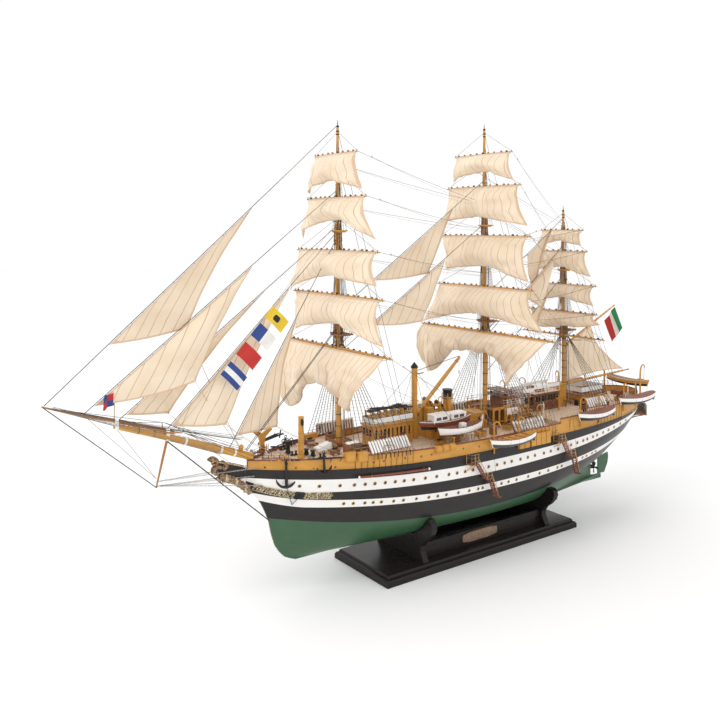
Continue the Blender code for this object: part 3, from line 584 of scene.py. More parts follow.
def make_materials():
    paint("paint_green", (0.042, 0.112, 0.052), 0.34, 0.07)
    paint("paint_black", (0.024, 0.021, 0.020), 0.34, 0.14).weights(Specular_IOR_Level=0.30)
    paint("paint_white", (0.90, 0.88, 0.85), 0.38, 0.02, bump=0.06)
    paint("paint_ochre", (0.60, 0.290, 0.045), 0.42, 0.12)
    paint("bottom_grey", (0.060, 0.060, 0.058), 0.40, 0.12)
    paint("paint_grey", (0.20, 0.20, 0.20), 0.45)
    paint("paint_red", (0.62, 0.035, 0.025), 0.6)
    paint("canvas_white", (0.88, 0.86, 0.82), 0.80, 0.03)
    stand = wood("stand_black", (0.019, 0.015, 0.014), (0.006, 0.005, 0.005), (0.10, 1, 1), 0.27, 200.0, 0.10)
    stand.weights(Specular_IOR_Level=0.22)
    wood("mahogany", (0.26, 0.065, 0.035), (0.10, 0.022, 0.014), (0.12, 1, 1), 0.38)
    wood("brown_wood", (0.30, 0.130, 0.055), (0.12, 0.045, 0.020), (1, 1, 0.15), 0.42)
    wood("spar_wood", (0.46, 0.215, 0.062), (0.26, 0.105, 0.030), (1, 0.12, 1), 0.42)
    wood("block_wood", (0.42, 0.23, 0.11), (0.20, 0.10, 0.05), (1, 1, 1), 0.55, 900.0)
    planked("deck_planks", (0.92, 0.72, 0.53), (0.26, 0.16, 0.11), 0.0019)
    metal("brass", (0.72, 0.46, 0.20), 0.30)
    metal("bronze", (0.40, 0.27, 0.19), 0.42, 0.85)
    metal("black_metal", (0.035, 0.033, 0.032), 0.42, 0.5)
    metal("bright_chain", (0.62, 0.61, 0.60), 0.35, 0.6)
    cordage("black_cord", (0.070, 0.062, 0.056))
    cordage("grey_cord", (0.30, 0.28, 0.26))
    cordage("tan_cord", (0.52, 0.40, 0.28))
    sailcloth("sailcloth", (0.890, 0.755, 0.585), (0.790, 0.630, 0.455), (0.66, 0.46, 0.30), (0.43, 0.29, 0.19),
              0.0125)
    carved("gilded", (0.30, 0.200, 0.100), (1.0, 0.84, 0.56))
    carved("carving", (0.10, 0.055, 0.030), (0.55, 0.34, 0.18))
    # dark glossy glass for ports and windows; the same finish is painted shade in the hawse holes and the cowl mouths
    glass = Finish("glass_and_painted_shade", 0.12)
    glass.color(glass.ramp(glass.noise(90.0), [(0.3, (0.008, 0.008, 0.010)), (0.7, (0.030, 0.028, 0.030))]))
    glass.weights(Coat_Weight=0.6, Coat_Roughness=0.05)


# Hull

def hull_rows(rows, columns=110):
    """Rows of points round the port side, the bow and the starboard side for each hull row."""
    lines = []
    for row in rows:
        bow = row_end(row, STEM, 0.3)
        stern = row_end(row, STERN, -0.32 if row < 0.17 else -0.30)
        line = []
        for column in range(columns + 1):
            even = column / columns
            share = mix(even, (1 - math.cos(math.pi * even)) / 2, 0.85)
            x = mix(stern, bow, share)
            z = row_height(row, x)
            line.append(Vector((x, half_breadth(x, z), z)))
        line += [Vector((point.x, -point.y, point.z)) for point in reversed(line)]
        line.append(line[0].copy())
        lines.append(line)
    return lines


def make_hull():
    """Hull skin in its painted bands, closed below along the keel."""
    shape = Shape()
    shape.grid(hull_rows([0.0, 0.06, 0.12, 0.16, 0.175, 0.19] + steps(0.22, 1.0, 20)), 0)
    for line, (count, finish) in enumerate(((5, 1), (2, 2), (4, 1), (3, 2), (3, 1)), start=1):
        shape.grid(hull_rows(steps(line, line + 1, count)), finish)
    keel = hull_rows([0.0])[0]
    half = len(keel) // 2
    shape.grid([keel[:half], list(reversed(keel[half:-1]))], 0)
    make_piece("hull_skin", shape, ["paint_green", "paint_black", "paint_white"], replaces=["hull"])


def make_ports():
    """Ports along both white bands: a brass rim round dark glass."""
    shape = Shape()
    rows = ((UPPER_PORTS, UPPER_BAND_BOTTOM, UPPER_BAND_TOP, 0.0021),
            (LOWER_PORTS, LOWER_BAND_BOTTOM, LOWER_BAND_TOP, 0.0019))
    for places, low, high, radius in rows:
        for place in places:
            x = place / 1000
            z = mix(line_height(low, x), line_height(high, x), 0.5)
            for sign in SIGNS:
                centre = on_side(x, z, sign, 0.0002)
                out = side_normal(x, z, sign)
                shape.ring(centre, radius, 0.00045, out, 0, 14, 6)
                shape.tube([centre - out * 0.0006, centre + out * 0.00015], radius, 14, 1)
    make_piece("hull_ports", shape, ["brass", "glass_and_painted_shade"])


def band_strip(shape, x_start, x_end, low_line, high_line, out, finish, inset=0.0, sign=1, count=20):
    """Raised panel on the side between two of its lines."""
    rows = []
    for step in range(count + 1):
        x = mix(x_start, x_end, step / count)
        low, high = low_line(x) + inset, high_line(x) - inset
        rows.append([on_side(x, low, sign, 0.0), on_side(x, low, sign, out), on_side(x, high, sign, out),
                     on_side(x, high, sign, 0.0)])
    shape.grid(rows, finish)
    start = len(shape.points) - 4 * (count + 1)
    shape.faces += [(start, start + 1, start + 2, start + 3),
                    tuple(start + 4 * count + index for index in (3, 2, 1, 0))]
    shape.finishes += [finish, finish]


def spiral(centre, size, turn, hand, ahead, up, count=16):
    """Flat scroll in the plane of two directions."""
    path = []
    for step in range(count + 1):
        share = step / count
        radius = size * (1 - 0.86 * share)
        angle = turn + hand * 1.7 * math.pi * share
        path.append(centre + ahead * radius * math.cos(angle) + up * radius * math.sin(angle))
    return path


def ornament_low(x):
    return line_height(UPPER_BAND_BOTTOM, x) - 0.0084


def ornament_high(x):
    return line_height(UPPER_BAND_BOTTOM, x) - 0.0002


def hawse_height():
    return mix(ornament_low(HAWSE_X), ornament_high(HAWSE_X), 0.55)


def make_bow_ornament():
    """Gilded running scroll under the upper white band at the bow, with the hawse between its two lengths, its hole
    filled by a dark disc of painted shade.
    """
    shape = Shape()
    for sign in SIGNS:
        for start, end in ((0.3470, 0.3005), (0.2885, 0.2570)):
            band_strip(shape, start, end, ornament_low, ornament_high, 0.0005, 1, sign=sign)
            count = round((start - end) / 0.0034)
            for index in range(count):
                x = mix(start, end, (index + 0.5) / count)
                low, high = ornament_low(x), ornament_high(x)
                out = side_normal(x, mix(low, high, 0.5), sign)
                ahead = UP.cross(out).normalized()
                up = out.cross(ahead)
                for share, size, hand in ((0.22, 0.0018, 1), (0.52, 0.0020, -1), (0.80, 0.0017, 1)):
                    centre = on_side(x + 0.0012 * hand, mix(low, high, share), sign, 0.0008)
                    shape.tube(spiral(centre, size, index * 2.1 + share * 5, hand, ahead, up), 0.00046, 5, 0)
                stalk = ((0.0018, 0.1, 0.0008), (0.0, 0.5, 0.0012), (-0.0016, 0.9, 0.0008))
                shape.tube([on_side(x + shift, mix(low, high, share), sign, raised) for shift, share, raised in stalk],
                           [0.0003, 0.0008, 0.0003], 5, 0)
            for line in (ornament_low, ornament_high):
                shape.tube([on_side(x, line(x), sign, 0.0006) for x in steps(start, end, 16)], 0.0005, 5, 0)
        band_strip(shape, 0.2992, 0.2898, ornament_low, ornament_high, 0.0011, 2, -0.0006, sign, 4)
        z = hawse_height()
        shape.ring(on_side(HAWSE_X, z, sign, 0.0012), 0.0013, 0.0005, side_normal(HAWSE_X, z, sign), 2, 14)
        # the dark disc inside the hawse ring is painted shade standing for the hole
        shape.tube([on_side(HAWSE_X, z, sign, 0.0), on_side(HAWSE_X, z, sign, 0.0013)], 0.0011, 12, 3)
    make_piece("bow_ornament", shape, ["gilded", "paint_black", "black_metal", "glass_and_painted_shade"])


def between_heights(outline, low, high):
    """The part of an outline in X and Z that lies between two heights."""
    for limit, side in ((low, 1), (high, -1)):
        kept = []
        for (x0, z0), (x1, z1) in zip(outline, outline[1:] + outline[:1]):
            if side * (z0 - limit) >= 0:
                kept.append((x0, z0))
            if (z0 - limit) * (z1 - limit) < 0:
                kept.append((mix(x0, x1, (limit - z0) / (z1 - z0)), limit))
        outline = kept
    return outline


def make_stem_head():
    """Knee of the head in the hull's colours, with stacked volutes and leaves at its tip and no face."""
    shape = Shape()
    knee = [(0.3462, 0.1370), (0.3720, 0.1560), (0.3880, 0.1670), (0.3960, 0.1760), (0.3945, 0.1840),
            (0.3840, 0.1805), (0.3720, 0.1765), (0.3575, 0.1720), (0.3565, 0.1520)]
    white_low = line_height(UPPER_BAND_BOTTOM, 0.3560)
    white_high = line_height(UPPER_BAND_TOP, 0.3640)
    for low, high, finish in ((0.0, white_low, 2), (white_low, white_high, 4), (white_high, 1.0, 3)):
        shape.plate(between_heights(knee, low, high), -0.0024, 0.0024, "y", finish)
    ahead = Vector((1, 0, 0))
    leaf_radii = [0.0010, 0.0017, 0.0022, 0.0025, 0.0026, 0.0023, 0.0017, 0.0011, 0.0004]
    for sign in SIGNS:
        for x, z, size, turn, hand in ((0.3980, 0.1835, 0.0062, 0.4, 1), (0.3945, 0.1725, 0.0064, 2.4, -1),
                                       (0.3860, 0.1770, 0.0046, 1.4, 1)):
            path = spiral(Vector((x, sign * 0.0028, z)), size, turn, hand, ahead, UP, 20)
            shape.tube(path, steps(0.0026, 0.0014, 20), 8, 0)
        for index in range(9):
            share = index / 8
            x, z = mix(0.3905, 0.3560, share), mix(0.1650, 0.1440, share) + 0.0030 * math.sin(math.pi * share)
            long = mix(0.0085, 0.0060, share)
            for lean, out in ((0.9, 0.0050), (0.2, 0.0064), (-0.5, 0.0046)):
                leaf = [(x, sign * 0.0022, z + 0.0020), (x - long * 0.15, sign * out, z + lean * 0.0030),
                        (x - long * 0.55, sign * out * 0.9, z - 0.0020 + lean * 0.0050),
                        (x - long * 0.85, sign * out * 0.5, z - 0.0034 + lean * 0.0042)]
                shape.tube(curve_through(leaf, 8), leaf_radii, 6, 2 if index % 3 == 1 else 0, flat=0.6)
            if index % 2 == 0:
                centre = Vector((x - 0.0012, sign * 0.0052, z - 0.0036))
                path = spiral(centre, 0.0030, index * 1.7, 1 - index % 4, ahead, UP, 14)
                shape.tube(path, steps(0.0012, 0.0006, 14), 6, 0)
        trail = [(0.4040, sign * 0.0026, 0.1880), (0.3880, sign * 0.0034, 0.1825), (0.3700, sign * 0.0040, 0.1770),
                 (0.3560, sign * 0.0048, 0.1715)]
        shape.tube(curve_through(trail, 18), 0.0007, 6, 2)
        for index in range(6):
            x, z = mix(0.3500, 0.3600, index / 5), mix(0.1400, 0.1468, index / 5) - 0.0016
            curl = spiral(Vector((x, sign * 0.0026, z)), 0.0016, index * 2.0, 1, ahead, UP, 10)
            shape.tube(curl, 0.0004, 5, 2)
    make_piece("stem_carving", shape, ["carving", "brown_wood", "gilded", "paint_black", "paint_white"],
               replaces=["stem_head"])


def make_stern_ornament():
    """Small gilded scrolls on the upper band round the stern, under the gallery."""
    shape = Shape()
    for sign in SIGNS:
        for index in range(9):
            x = -0.3300 - 0.0055 * index
            z = line_height(UPPER_BAND_TOP, x) + 0.0035
            out = side_normal(x, z, sign)
            ahead = UP.cross(out).normalized()
            path = spiral(on_side(x, z, sign, 0.0006), 0.0022, index * 2.0, 1, ahead, out.cross(ahead), 12)
            shape.tube(path, 0.00035, 5, 0)
    make_piece("stern_ornament", shape, ["gilded"])


def bulwark_runs():
    """Places along the side for the forecastle, the waist and the poop."""
    waist = steps(0.3535, FORECASTLE_X + GAP, 26) + steps(FORECASTLE_X - GAP, POOP_X + GAP, 40)
    poop = steps(POOP_X - GAP, COUNTER_X + 0.0008, 46) + [COUNTER_X + 0.0004, COUNTER_X + 0.0001, COUNTER_X]
    return waist, poop


SCUTTLES = [(0.3360, 0.1704), (0.3025, 0.1680), (0.2825, 0.1656), (0.2565, 0.1656), (0.2075, 0.1668),
            (0.1940, 0.1668), (0.1635, 0.1668), (0.1390, 0.1656), (0.1225, 0.1656), (0.0690, 0.1656),
            (0.0400, 0.1640), (-0.0150, 0.1630), (-0.1180, 0.1630), (-0.1720, 0.1630), (-0.2180, 0.1640),
            (-0.2640, 0.1650), (-0.3020, 0.1660)]


def make_bulwarks():
    """Ochre side above the sheer, with its cap rail, a moulding along its foot and scuttles."""
    waist, poop = bulwark_runs()
    places = waist + poop
    for name, sign in (("port", 1), ("starboard", -1)):
        shape = Shape()
        rows = []
        for x in places:
            outer = side_breadth(x)
            inner = max(outer - 0.0016, outer * 0.4)
            bottom, top = side_height(x) + 0.0001, rail_height(x)
            rows.append([(x, sign * inner, bottom), (x, sign * outer, bottom), (x, sign * outer, top),
                         (x, sign * inner, top)])
        shape.grid(rows, 0, wrap=True)
        for run in (waist, poop):
            cap = []
            for x in run:
                outer, inner = sign * (side_breadth(x) + 0.0007), sign * max(side_breadth(x) - 0.0026, 0.0)
                low, high = rail_height(x) - 0.0002, rail_height(x) + 0.0008
                cap.append([(x, outer, low), (x, outer, high), (x, inner, high), (x, inner, low)])
            shape.grid(cap, 1, wrap=True)
            shape.tube([on_side(x, side_height(x) + 0.0004, sign, 0.0003) for x in run], 0.00055, 5, 0)
            for end in (cap[0], cap[-1]):
                shape.add(end, [(0, 1, 2, 3)], 1)
        for x, z in SCUTTLES:
            centre = Vector((x, sign * side_breadth(x), z))
            out = side_normal(x, side_height(x), sign)
            shape.ring(centre + out * 0.0001, 0.0015, 0.00032, out, 2, 14, 5)
            shape.tube([centre - out * 0.0004, centre + out * 0.00016], 0.0015, 14, 3)
        make_piece(f"bulwark_skin_{name}", shape, ["paint_ochre", "mahogany", "brass", "glass_and_painted_shade"],
                   replaces=[f"bulwark_{name}"])


def make_deck():
    """Planked deck in three levels with its waterways and the two breaks."""
    shape = Shape()
    waist, poop = bulwark_runs()
    rows = []
    for x in waist[1:] + poop[:-1]:
        wide = max(side_breadth(x) - 0.0019, 0.0004)
        top = deck_height(x)
        row = [(x, wide, top - 0.0004), (x, wide - 0.0001, top)]
        row += [(x, wide * share, top + 0.0006 * (1 - share * share))
                for share in (0.95, 0.6, 0, -0.6, -0.95)]
        row += [(x, -wide + 0.0001, top), (x, -wide, top - 0.0004)]
        row += [(x, -wide, top - 0.0012), (x, wide, top - 0.0012)]
        rows.append(row)
    shape.grid(rows, 0, wrap=True)
    for sign in SIGNS:
        shape.tube([(x, sign * max(side_breadth(x) - 0.0032, 0.0002), deck_height(x) + 0.0004)
                    for x in waist[2:66]], 0.0008, 4, 1)
    make_piece("deck_planking", shape, ["deck_planks", "mahogany"], replaces=["deck"])


# Stand

def make_stand():
    """Plinth and cradle boards keep their solids' shape, with rounded edges and a black finish."""
    for name in ("plinth", "fore_cradle", "aft_cradle", "side_board_port", "side_board_starboard"):
        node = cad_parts[name]
        node.data.materials.clear()
        node.data.materials.append(Finish.made["stand_black"])
        soften(node, 0.0006 if name == "plinth" else 0.0009, 3)
    shape = Shape()
    middle_x, middle_z, face = 0.002, 0.0245, 0.0403
    outline = []
    for angle in turns(48):
        reach = 0.0340 - 0.0050 * abs(math.sin(angle)) ** 4
        x = reach * math.copysign(abs(math.cos(angle)) ** 0.35, math.cos(angle))
        z = 0.0070 * math.copysign(abs(math.sin(angle)) ** 0.45, math.sin(angle))
        outline.append((x * (1 - 0.10 * (abs(z) > 0.0055)), z))
    shape.plate([(middle_x + x, middle_z + z) for x, z in outline], face, face + 0.0009, "y", 0)
    border = [(middle_x + x * 0.95, face + 0.0010, middle_z + z * 0.84) for x, z in outline]
    shape.tube(closed(border), 0.00038, 6, 0)
    for x in (-0.0300, 0.0300):
        shape.ball((middle_x + x, face + 0.0010, middle_z), 0.0009, 0, 8, 4, (1, 0.5, 1))
    make_piece("nameplate_bronze", shape, ["bronze"], replaces=["nameplate"])


# Masts and yards

def yard_radius(half_length):
    return max(0.0011, half_length * 0.017)


def mast_profile(heights):
    """Height, step forward and radius at each point of a mast above its foot."""
    top, trees, truck = heights
    step = TOPMAST_STEP
    return ((top - 0.002, 0.0, 0.0033), (top + 0.014, 0.0, 0.0033), (top + 0.020, step, 0.0030),
            (trees, step, 0.0028), (trees + 0.014, step, 0.0027), (trees + 0.018, step, 0.0023),
            (truck - 0.010, step, 0.0018))


def mast_place(foot_x, heights, z):
    """X of the mast's middle and its radius at a height."""
    profile = mast_profile(heights)
    forward = along_table([(height, step) for height, step, _ in profile], z)
    return foot_x + forward, along_table([(height, radius) for height, _, radius in profile], z)


def make_top(shape, x, z, half, reach, finish):
    """Fighting top: a grated platform with a rim, round ahead and square behind."""
    outline = [(x - reach, -half), (x - reach, half)]
    outline += [(x + 0.006 * math.sin(math.pi * step / 10) + 0.002, half * math.cos(math.pi * step / 10))
                for step in range(11)]
    shape.plate(outline, z, z + 0.0009, "z", finish)
    shape.tube(closed([(px, py, z + 0.0013) for px, py in outline]), 0.0006, 5, finish)
    for y in steps(-half * 0.8, half * 0.8, 8):
        shape.bar((x - reach + 0.001, y, z + 0.0012), (x + 0.002, y, z + 0.0012), 0.0004, 0.0006, finish)
    for y in (-half * 0.55, half * 0.55):
        shape.bar((x - reach, y, z - 0.0006), (x + 0.005, y, z - 0.0006), 0.0011, 0.0014, finish)


def make_mast(name, node, foot_x, heights, yards):
    """Mast in three lengths with its doublings, bands, tops and yards."""
    top, trees, truck = heights
    upper_x = foot_x + TOPMAST_STEP
    foot = deck_height(foot_x) + GAP
    shape = Shape()
    shape.tube([(foot_x, 0, foot), (foot_x, 0, foot + 0.002), (foot_x, 0, top), (foot_x, 0, top + 0.015)],
               [0.0040, 0.0038, 0.0033, 0.0031], 16, 0)
    shape.post(foot_x, 0, foot, foot + 0.0022, [0.0056, 0.0050], 16, 3)
    shape.tube([(upper_x, 0, top - 0.006), (upper_x, 0, trees), (upper_x, 0, trees + 0.014)],
               [0.0030, 0.0028, 0.0026], 14, 0)
    shape.tube([(upper_x + 0.0005, 0, trees - 0.004), (upper_x, 0, trees + 0.014),
                (upper_x, 0, truck - 0.012), (upper_x, 0, truck - 0.010)], [0.0024, 0.0023, 0.0018, 0.0016], 10, 0)
    for z in (truck - 0.020, truck - 0.016):
        shape.post(upper_x, 0, z, z + 0.0014, 0.0023, 12, 1)
    shape.ball((upper_x, 0, truck - 0.0088), 0.0022, 1, 12, 6, (1, 1, 0.7))
    shape.post(upper_x, 0, truck - 0.008, truck, [0.0007, 0.0002], 8, 1)
    for z in steps(foot + 0.012, top - 0.014, 8):
        shape.post(foot_x, 0, z, z + 0.0010, 0.0039, 16, 1)
    for z in (top + 0.013, trees + 0.013):
        x = mast_place(foot_x, heights, z)[0]
        shape.box((x - 0.0042, -0.0034, z), (x + 0.0042, 0.0034, z + 0.0020), 1)
    make_top(shape, foot_x, top, 0.0150, 0.0130, 3)
    make_top(shape, foot_x + 0.001, trees, 0.0100, 0.0085, 0)
    cheek = ((-0.007, 0.0005), (0.005, 0.0005), (0.002, 0.007), (-0.002, 0.007))
    for y in (-0.0034, 0.0034):
        shape.plate([(foot_x + ahead, top - drop) for ahead, drop in cheek], y - 0.0006, y + 0.0006, "y", 0)
    make_piece(f"{name}_spars", shape, ["paint_ochre", "black_metal", "brass", "brown_wood"], replaces=[node])
    yard_shape = Shape()
    for half, z in yards:
        make_yard(yard_shape, foot_x, heights, half, z)
    finishes = ["paint_ochre", "black_metal", "tan_cord", "black_cord", "spar_wood", "block_wood"]
    make_piece(f"{name}_yards", yard_shape, finishes)


def make_yard(shape, foot_x, heights, half, z):
    """Yard with its sling, bands, jackstay, robands, footrope and stirrups."""
    radius = yard_radius(half)
    x = foot_x + YARD_OFFSET
    path = [(x, y * half, z) for y in (-1, -0.5, -0.15, 0.15, 0.5, 1)]
    shape.tube(path, [radius * share for share in (0.45, 0.85, 1, 1, 0.85, 0.45)], 12, 0)
    mast_x, mast_radius = mast_place(foot_x, heights, z)
    shape.bar((mast_x - mast_radius, 0, z), (x, 0, z), 0.0024, 0.0016, 1)
    shape.ring((mast_x, 0, z), mast_radius + 0.0004, 0.0004, UP, 1, 14, 5)
    for y in (-0.0046, 0.0046):
        shape.ring((x, y, z), radius + 0.0001, 0.00035, ACROSS, 1, 12, 5)
    for sign in SIGNS:
        shape.ring((x, sign * half * 0.965, z), radius * 0.55, 0.0003, ACROSS, 1, 10, 5)
        jackstay = [(x + 0.0003, sign * 0.003, z + radius), (x + 0.0003, sign * half * 0.93, z + radius * 0.62)]
        shape.tube(jackstay, 0.0002, 4, 1)
    for y in steps(-half * 0.9, half * 0.9, max(5, round(half * 2 * 0.9 / 0.0068)) - 1):
        local = radius * mix(1.0, 0.5, abs(y) / half)
        shape.ring((x, y, z), local + 0.00022, 0.00030, (0.0, 1.0, 0.1), 2, 9, 4)
    knobs = max(5, round(half * 2 / 0.0135))
    for index in range(knobs):
        shift = noise.noise(Vector((index * 1.7, z * 50, foot_x * 9)))
        y = mix(-half * 0.92, half * 0.92, (index + 0.5 + 0.35 * shift) / knobs)
        top = z + radius * mix(1.0, 0.5, abs(y) / half)
        finish = 5 if index % 4 else 3
        shape.ball((x + 0.0004, y, top + 0.0011), 0.0015 + 0.0006 * shift, finish, 8, 5, (1, 1.2, 0.9))
    behind = x - 0.001
    for sign in SIGNS:
        for start, end in ((0.06, 0.50), (0.50, 0.92)):
            low, high = (behind, sign * half * start, z - radius), (behind, sign * half * end, z - radius * 0.6)
            shape.rope(low, high, 0.00022, 3, sag=0.0042)
        middle = sign * half * 0.5
        shape.rope((behind, middle, z), (behind, middle, z - radius - 0.0008), 0.0002, 3)


def make_block(shape, place, size=0.0011, finish=0):
    shape.ball(place, size, finish, 7, 4, (0.8, 0.6, 1.15))


# Rigging

def shroud_foot(x, sign):
    return at_rail(x, sign, 0.0016, 0.0010)


def make_net(lines, rungs, feet, heads, radius, spacing, start=0.02, finish=0, rung_finish=1):
    """Shrouds from feet to heads, with ratlines across all of them."""
    for foot, head in zip(feet, heads):
        lines.rope(foot, head, radius, finish)
    height = heads[0].z - feet[0].z
    count = int(height / spacing)
    for index in range(1, count):
        share = start + (1 - start) * index / count
        if share > 0.97:
            continue
        points = [foot.lerp(head, share) for foot, head in zip(feet, heads)]
        rungs.tube(points, 0.00017, 3, rung_finish)


def make_shrouds(name, foot_x, heights, feet_x, backstays):
    """Shrouds of the lower mast, topmast and topgallant mast with their ratlines, and the backstays."""
    top, trees, truck = heights
    first, last, count = feet_x
    lines, rungs = Shape(), Shape()
    for sign in SIGNS:
        feet = [shroud_foot(x, sign) for x in steps(first, last, count - 1)]
        heads = [Vector((foot_x - 0.001, sign * 0.0030, top - 0.0015 - 0.0004 * index))
                 for index in range(count)]
        starts = [foot + (head - foot) * 0.045 for foot, head in zip(feet, heads)]
        make_net(lines, rungs, starts, heads, 0.00042, 0.0040)
        for foot, start in zip(feet, starts):
            lines.ball(foot + Vector((0, 0, 0.0004)), 0.0011, 2, 8, 4, (1, 0.7, 1))
            lines.ball(start, 0.0011, 2, 8, 4, (1, 0.7, 1))
            for shift in (-0.0005, 0.0005):
                side = Vector((shift, 0, 0))
                lines.rope(foot + side, start + side, 0.0002, 3)
            lines.rope(foot, on_side(foot.x, side_height(foot.x) - 0.004, sign, 0.0006), 0.0003, 4)
        lines.tube([starts[0] + UP * 0.0026, starts[-1] + UP * 0.0026], 0.0004, 4, 2)
        top_feet = [Vector((x, sign * 0.0140, top + 0.0018))
                    for x in steps(foot_x + 0.003, foot_x - 0.011, 4)]
        top_heads = [Vector((foot_x + 0.0006, sign * 0.0022, trees - 0.0012 - 0.0005 * index))
                     for index in range(5)]
        make_net(lines, rungs, top_feet, top_heads, 0.00034, 0.0040)
        for foot in top_feet:
            lines.rope(foot, Vector((foot_x, sign * 0.0034, top - 0.0135)), 0.00026, 0)
            lines.ball(foot + Vector((0, 0, 0.0006)), 0.0008, 2, 7, 4)
        high_feet = [Vector((x, sign * 0.0093, trees + 0.0016))
                     for x in steps(foot_x + 0.003, foot_x - 0.006, 2)]
        high_z = mix(trees, truck, 0.62)
        high_heads = [Vector((foot_x + 0.0010, sign * 0.0012, high_z - 0.0006 * index)) for index in range(3)]
        make_net(lines, rungs, high_feet, high_heads, 0.00028, 0.0044)
        for x, z in backstays:
            foot = shroud_foot(x, sign)
            lines.rope(foot, Vector((foot_x + 0.0006, sign * 0.0012, z)), 0.00030, 0)
            lines.ball(foot + Vector((0, 0, 0.0010)), 0.0010, 2, 8, 4, (1, 0.7, 1))
            lines.rope(foot, on_side(x, side_height(x) - 0.004, sign, 0.0006), 0.00028, 4)
    make_piece(f"{name}_shrouds", lines, ["black_cord", "grey_cord", "block_wood", "tan_cord", "black_metal"])
    make_piece(f"{name}_ratlines", rungs, ["black_cord", "grey_cord"])


def mast_bundle(shape, foot_x, heights):
    """Halyards and clew lines that run down beside the mast to the rails at its foot."""
    top, trees, truck = heights
    foot_z = deck_height(foot_x) + 0.008
    for index, turn in enumerate(turns(13)):
        angle = turn + 0.3
        low = Vector((foot_x + 0.0080 * math.cos(angle), 0.0100 * math.sin(angle), foot_z))
        mid = Vector((foot_x + 0.0058 * math.cos(angle), 0.0068 * math.sin(angle), top - 0.004))
        high = Vector((foot_x + 0.0012 + 0.0042 * math.cos(angle), 0.0050 * math.sin(angle), trees + 0.003))
        peak = Vector((foot_x + 0.0010, 0.0030 * math.sin(angle), mix(trees, truck, 0.75)))
        shape.rope(low, mid, 0.00032, index % 2 * 2)
        shape.rope(mid, high, 0.00034, 0 if index % 3 else 1)
        if index % 2 == 0:
            shape.rope(high, peak, 0.00026, index % 4)
            make_block(shape, high.lerp(peak, 0.55), 0.0011, 1)
        for share in (0.06, 0.16, 0.30, 0.78, 0.86, 0.94):
            make_block(shape, mid.lerp(high, share), 0.0013, 1)
        for drop in (0.006, 0.013, 0.020):
            make_block(shape, mid.lerp(low, drop / (mid.z - low.z)), 0.0013, 1)
    clusters = ((top + 0.004, 0.0066, 0.034), (trees, 0.0054, 0.028),
                (mix(trees, truck, 0.60), 0.0038, 0.018))
    for z, spread, long in clusters:
        for index, turn in enumerate(turns(14)):
            angle = turn + z * 40
            reach = Vector((spread * math.cos(angle), spread * math.sin(angle), 0.0))
            low = Vector((foot_x + 0.001, 0.0, z - long * (0.5 + 0.12 * math.sin(index * 2.3)))) + reach
            shape.rope(low, low - reach * 0.25 + UP * long, 0.00050, index % 3)


def make_running(name, foot_x, heights, yards, brace_to):
    """Lifts, braces, sheets, halyards and buntlines of one mast's yards."""
    shape = Shape()
    mast_bundle(shape, foot_x, heights)
    x = foot_x + YARD_OFFSET
    for index, (half, z) in enumerate(yards):
        rise = min(0.046, 0.30 * half + 0.014)
        lift_z = min(z + rise, heights[2] - 0.006)
        lift_x = mast_place(foot_x, heights, lift_z)[0]
        for sign in SIGNS:
            tip = Vector((x, sign * half * 0.96, z + 0.0010))
            shape.rope(tip, (lift_x, sign * 0.0016, lift_z), 0.00022, 0)
            make_block(shape, tip + Vector((0, 0, 0.0012)), 0.0010, 1)
            end = Vector(brace_to[index])
            end.y *= sign
            pendant = tip.lerp(end, 0.10)
            make_block(shape, pendant, 0.0010, 1)
            shape.rope(tip, end, 0.00020, 0, sag=0.0030)
            shape.rope(pendant, end + Vector((0, 0, -0.0050)), 0.00016, 2, sag=0.0040)
            for share in (0.28, 0.62):
                make_block(shape, (x, sign * half * share, z - yard_radius(half) - 0.0008), 0.0009, 1)
        tie = (mast_place(foot_x, heights, z)[0], 0.0006, min(z + rise + 0.008, heights[2]))
        shape.rope((x - 0.001, 0.0008, z + 0.001), tie, 0.0003, 0)
    for index, (half, z) in enumerate(yards[:-1]):
        below_half, below = yards[index + 1]
        for sign in SIGNS:
            shape.rope((x + 0.0006, sign * below_half * 0.90, below + 0.001),
                       (x + 0.0012, sign * min(half, below_half) * 0.30, z - 0.0020), 0.00014, 2)
    make_piece(f"{name}_running", shape, ["black_cord", "block_wood", "tan_cord"])


# Sails

def spans(points):
    """Summed length from point to point."""
    return sum((Vector(after) - Vector(before)).length for before, after in zip(points, points[1:]))


def sail_piece(name, rows, flat_uv, node, flat=None, body="ship"):
    """Cloth surface with its panel lines and edge distance; its flat size, worked out where not given, is not used."""
    shape = Shape()
    shape.grid(rows)
    piece = make_piece(name, shape, ["sailcloth"], body, replaces=[node], smooth=180.0)
    mesh = piece.data
    high, wide = len(rows), len(rows[0])
    layer = mesh.uv_layers.new(name="cloth")
    for loop in mesh.loops:
        row, column = divmod(loop.vertex_index, wide)
        layer.data[loop.index].uv = flat_uv[row][column]
    lengths = [spans(row) for row in rows]
    drops = [spans(column) for column in zip(*rows)]
    edge = mesh.attributes.new("edge", "FLOAT", "POINT")
    values = []
    for row in range(high):
        for column in range(wide):
            side = min(column, wide - 1 - column) / (wide - 1) * lengths[row]
            end = min(row, high - 1 - row) / (high - 1) * drops[column]
            values.append(min(side, end))
    edge.data.foreach_set("value", values)
    if flat is None:
        flat = (max(lengths), max(drops))
    return piece


def cloth_ripple(x, y, z, size, scale):
    return size * noise.noise(Vector((x * scale, y * scale, z * scale)))


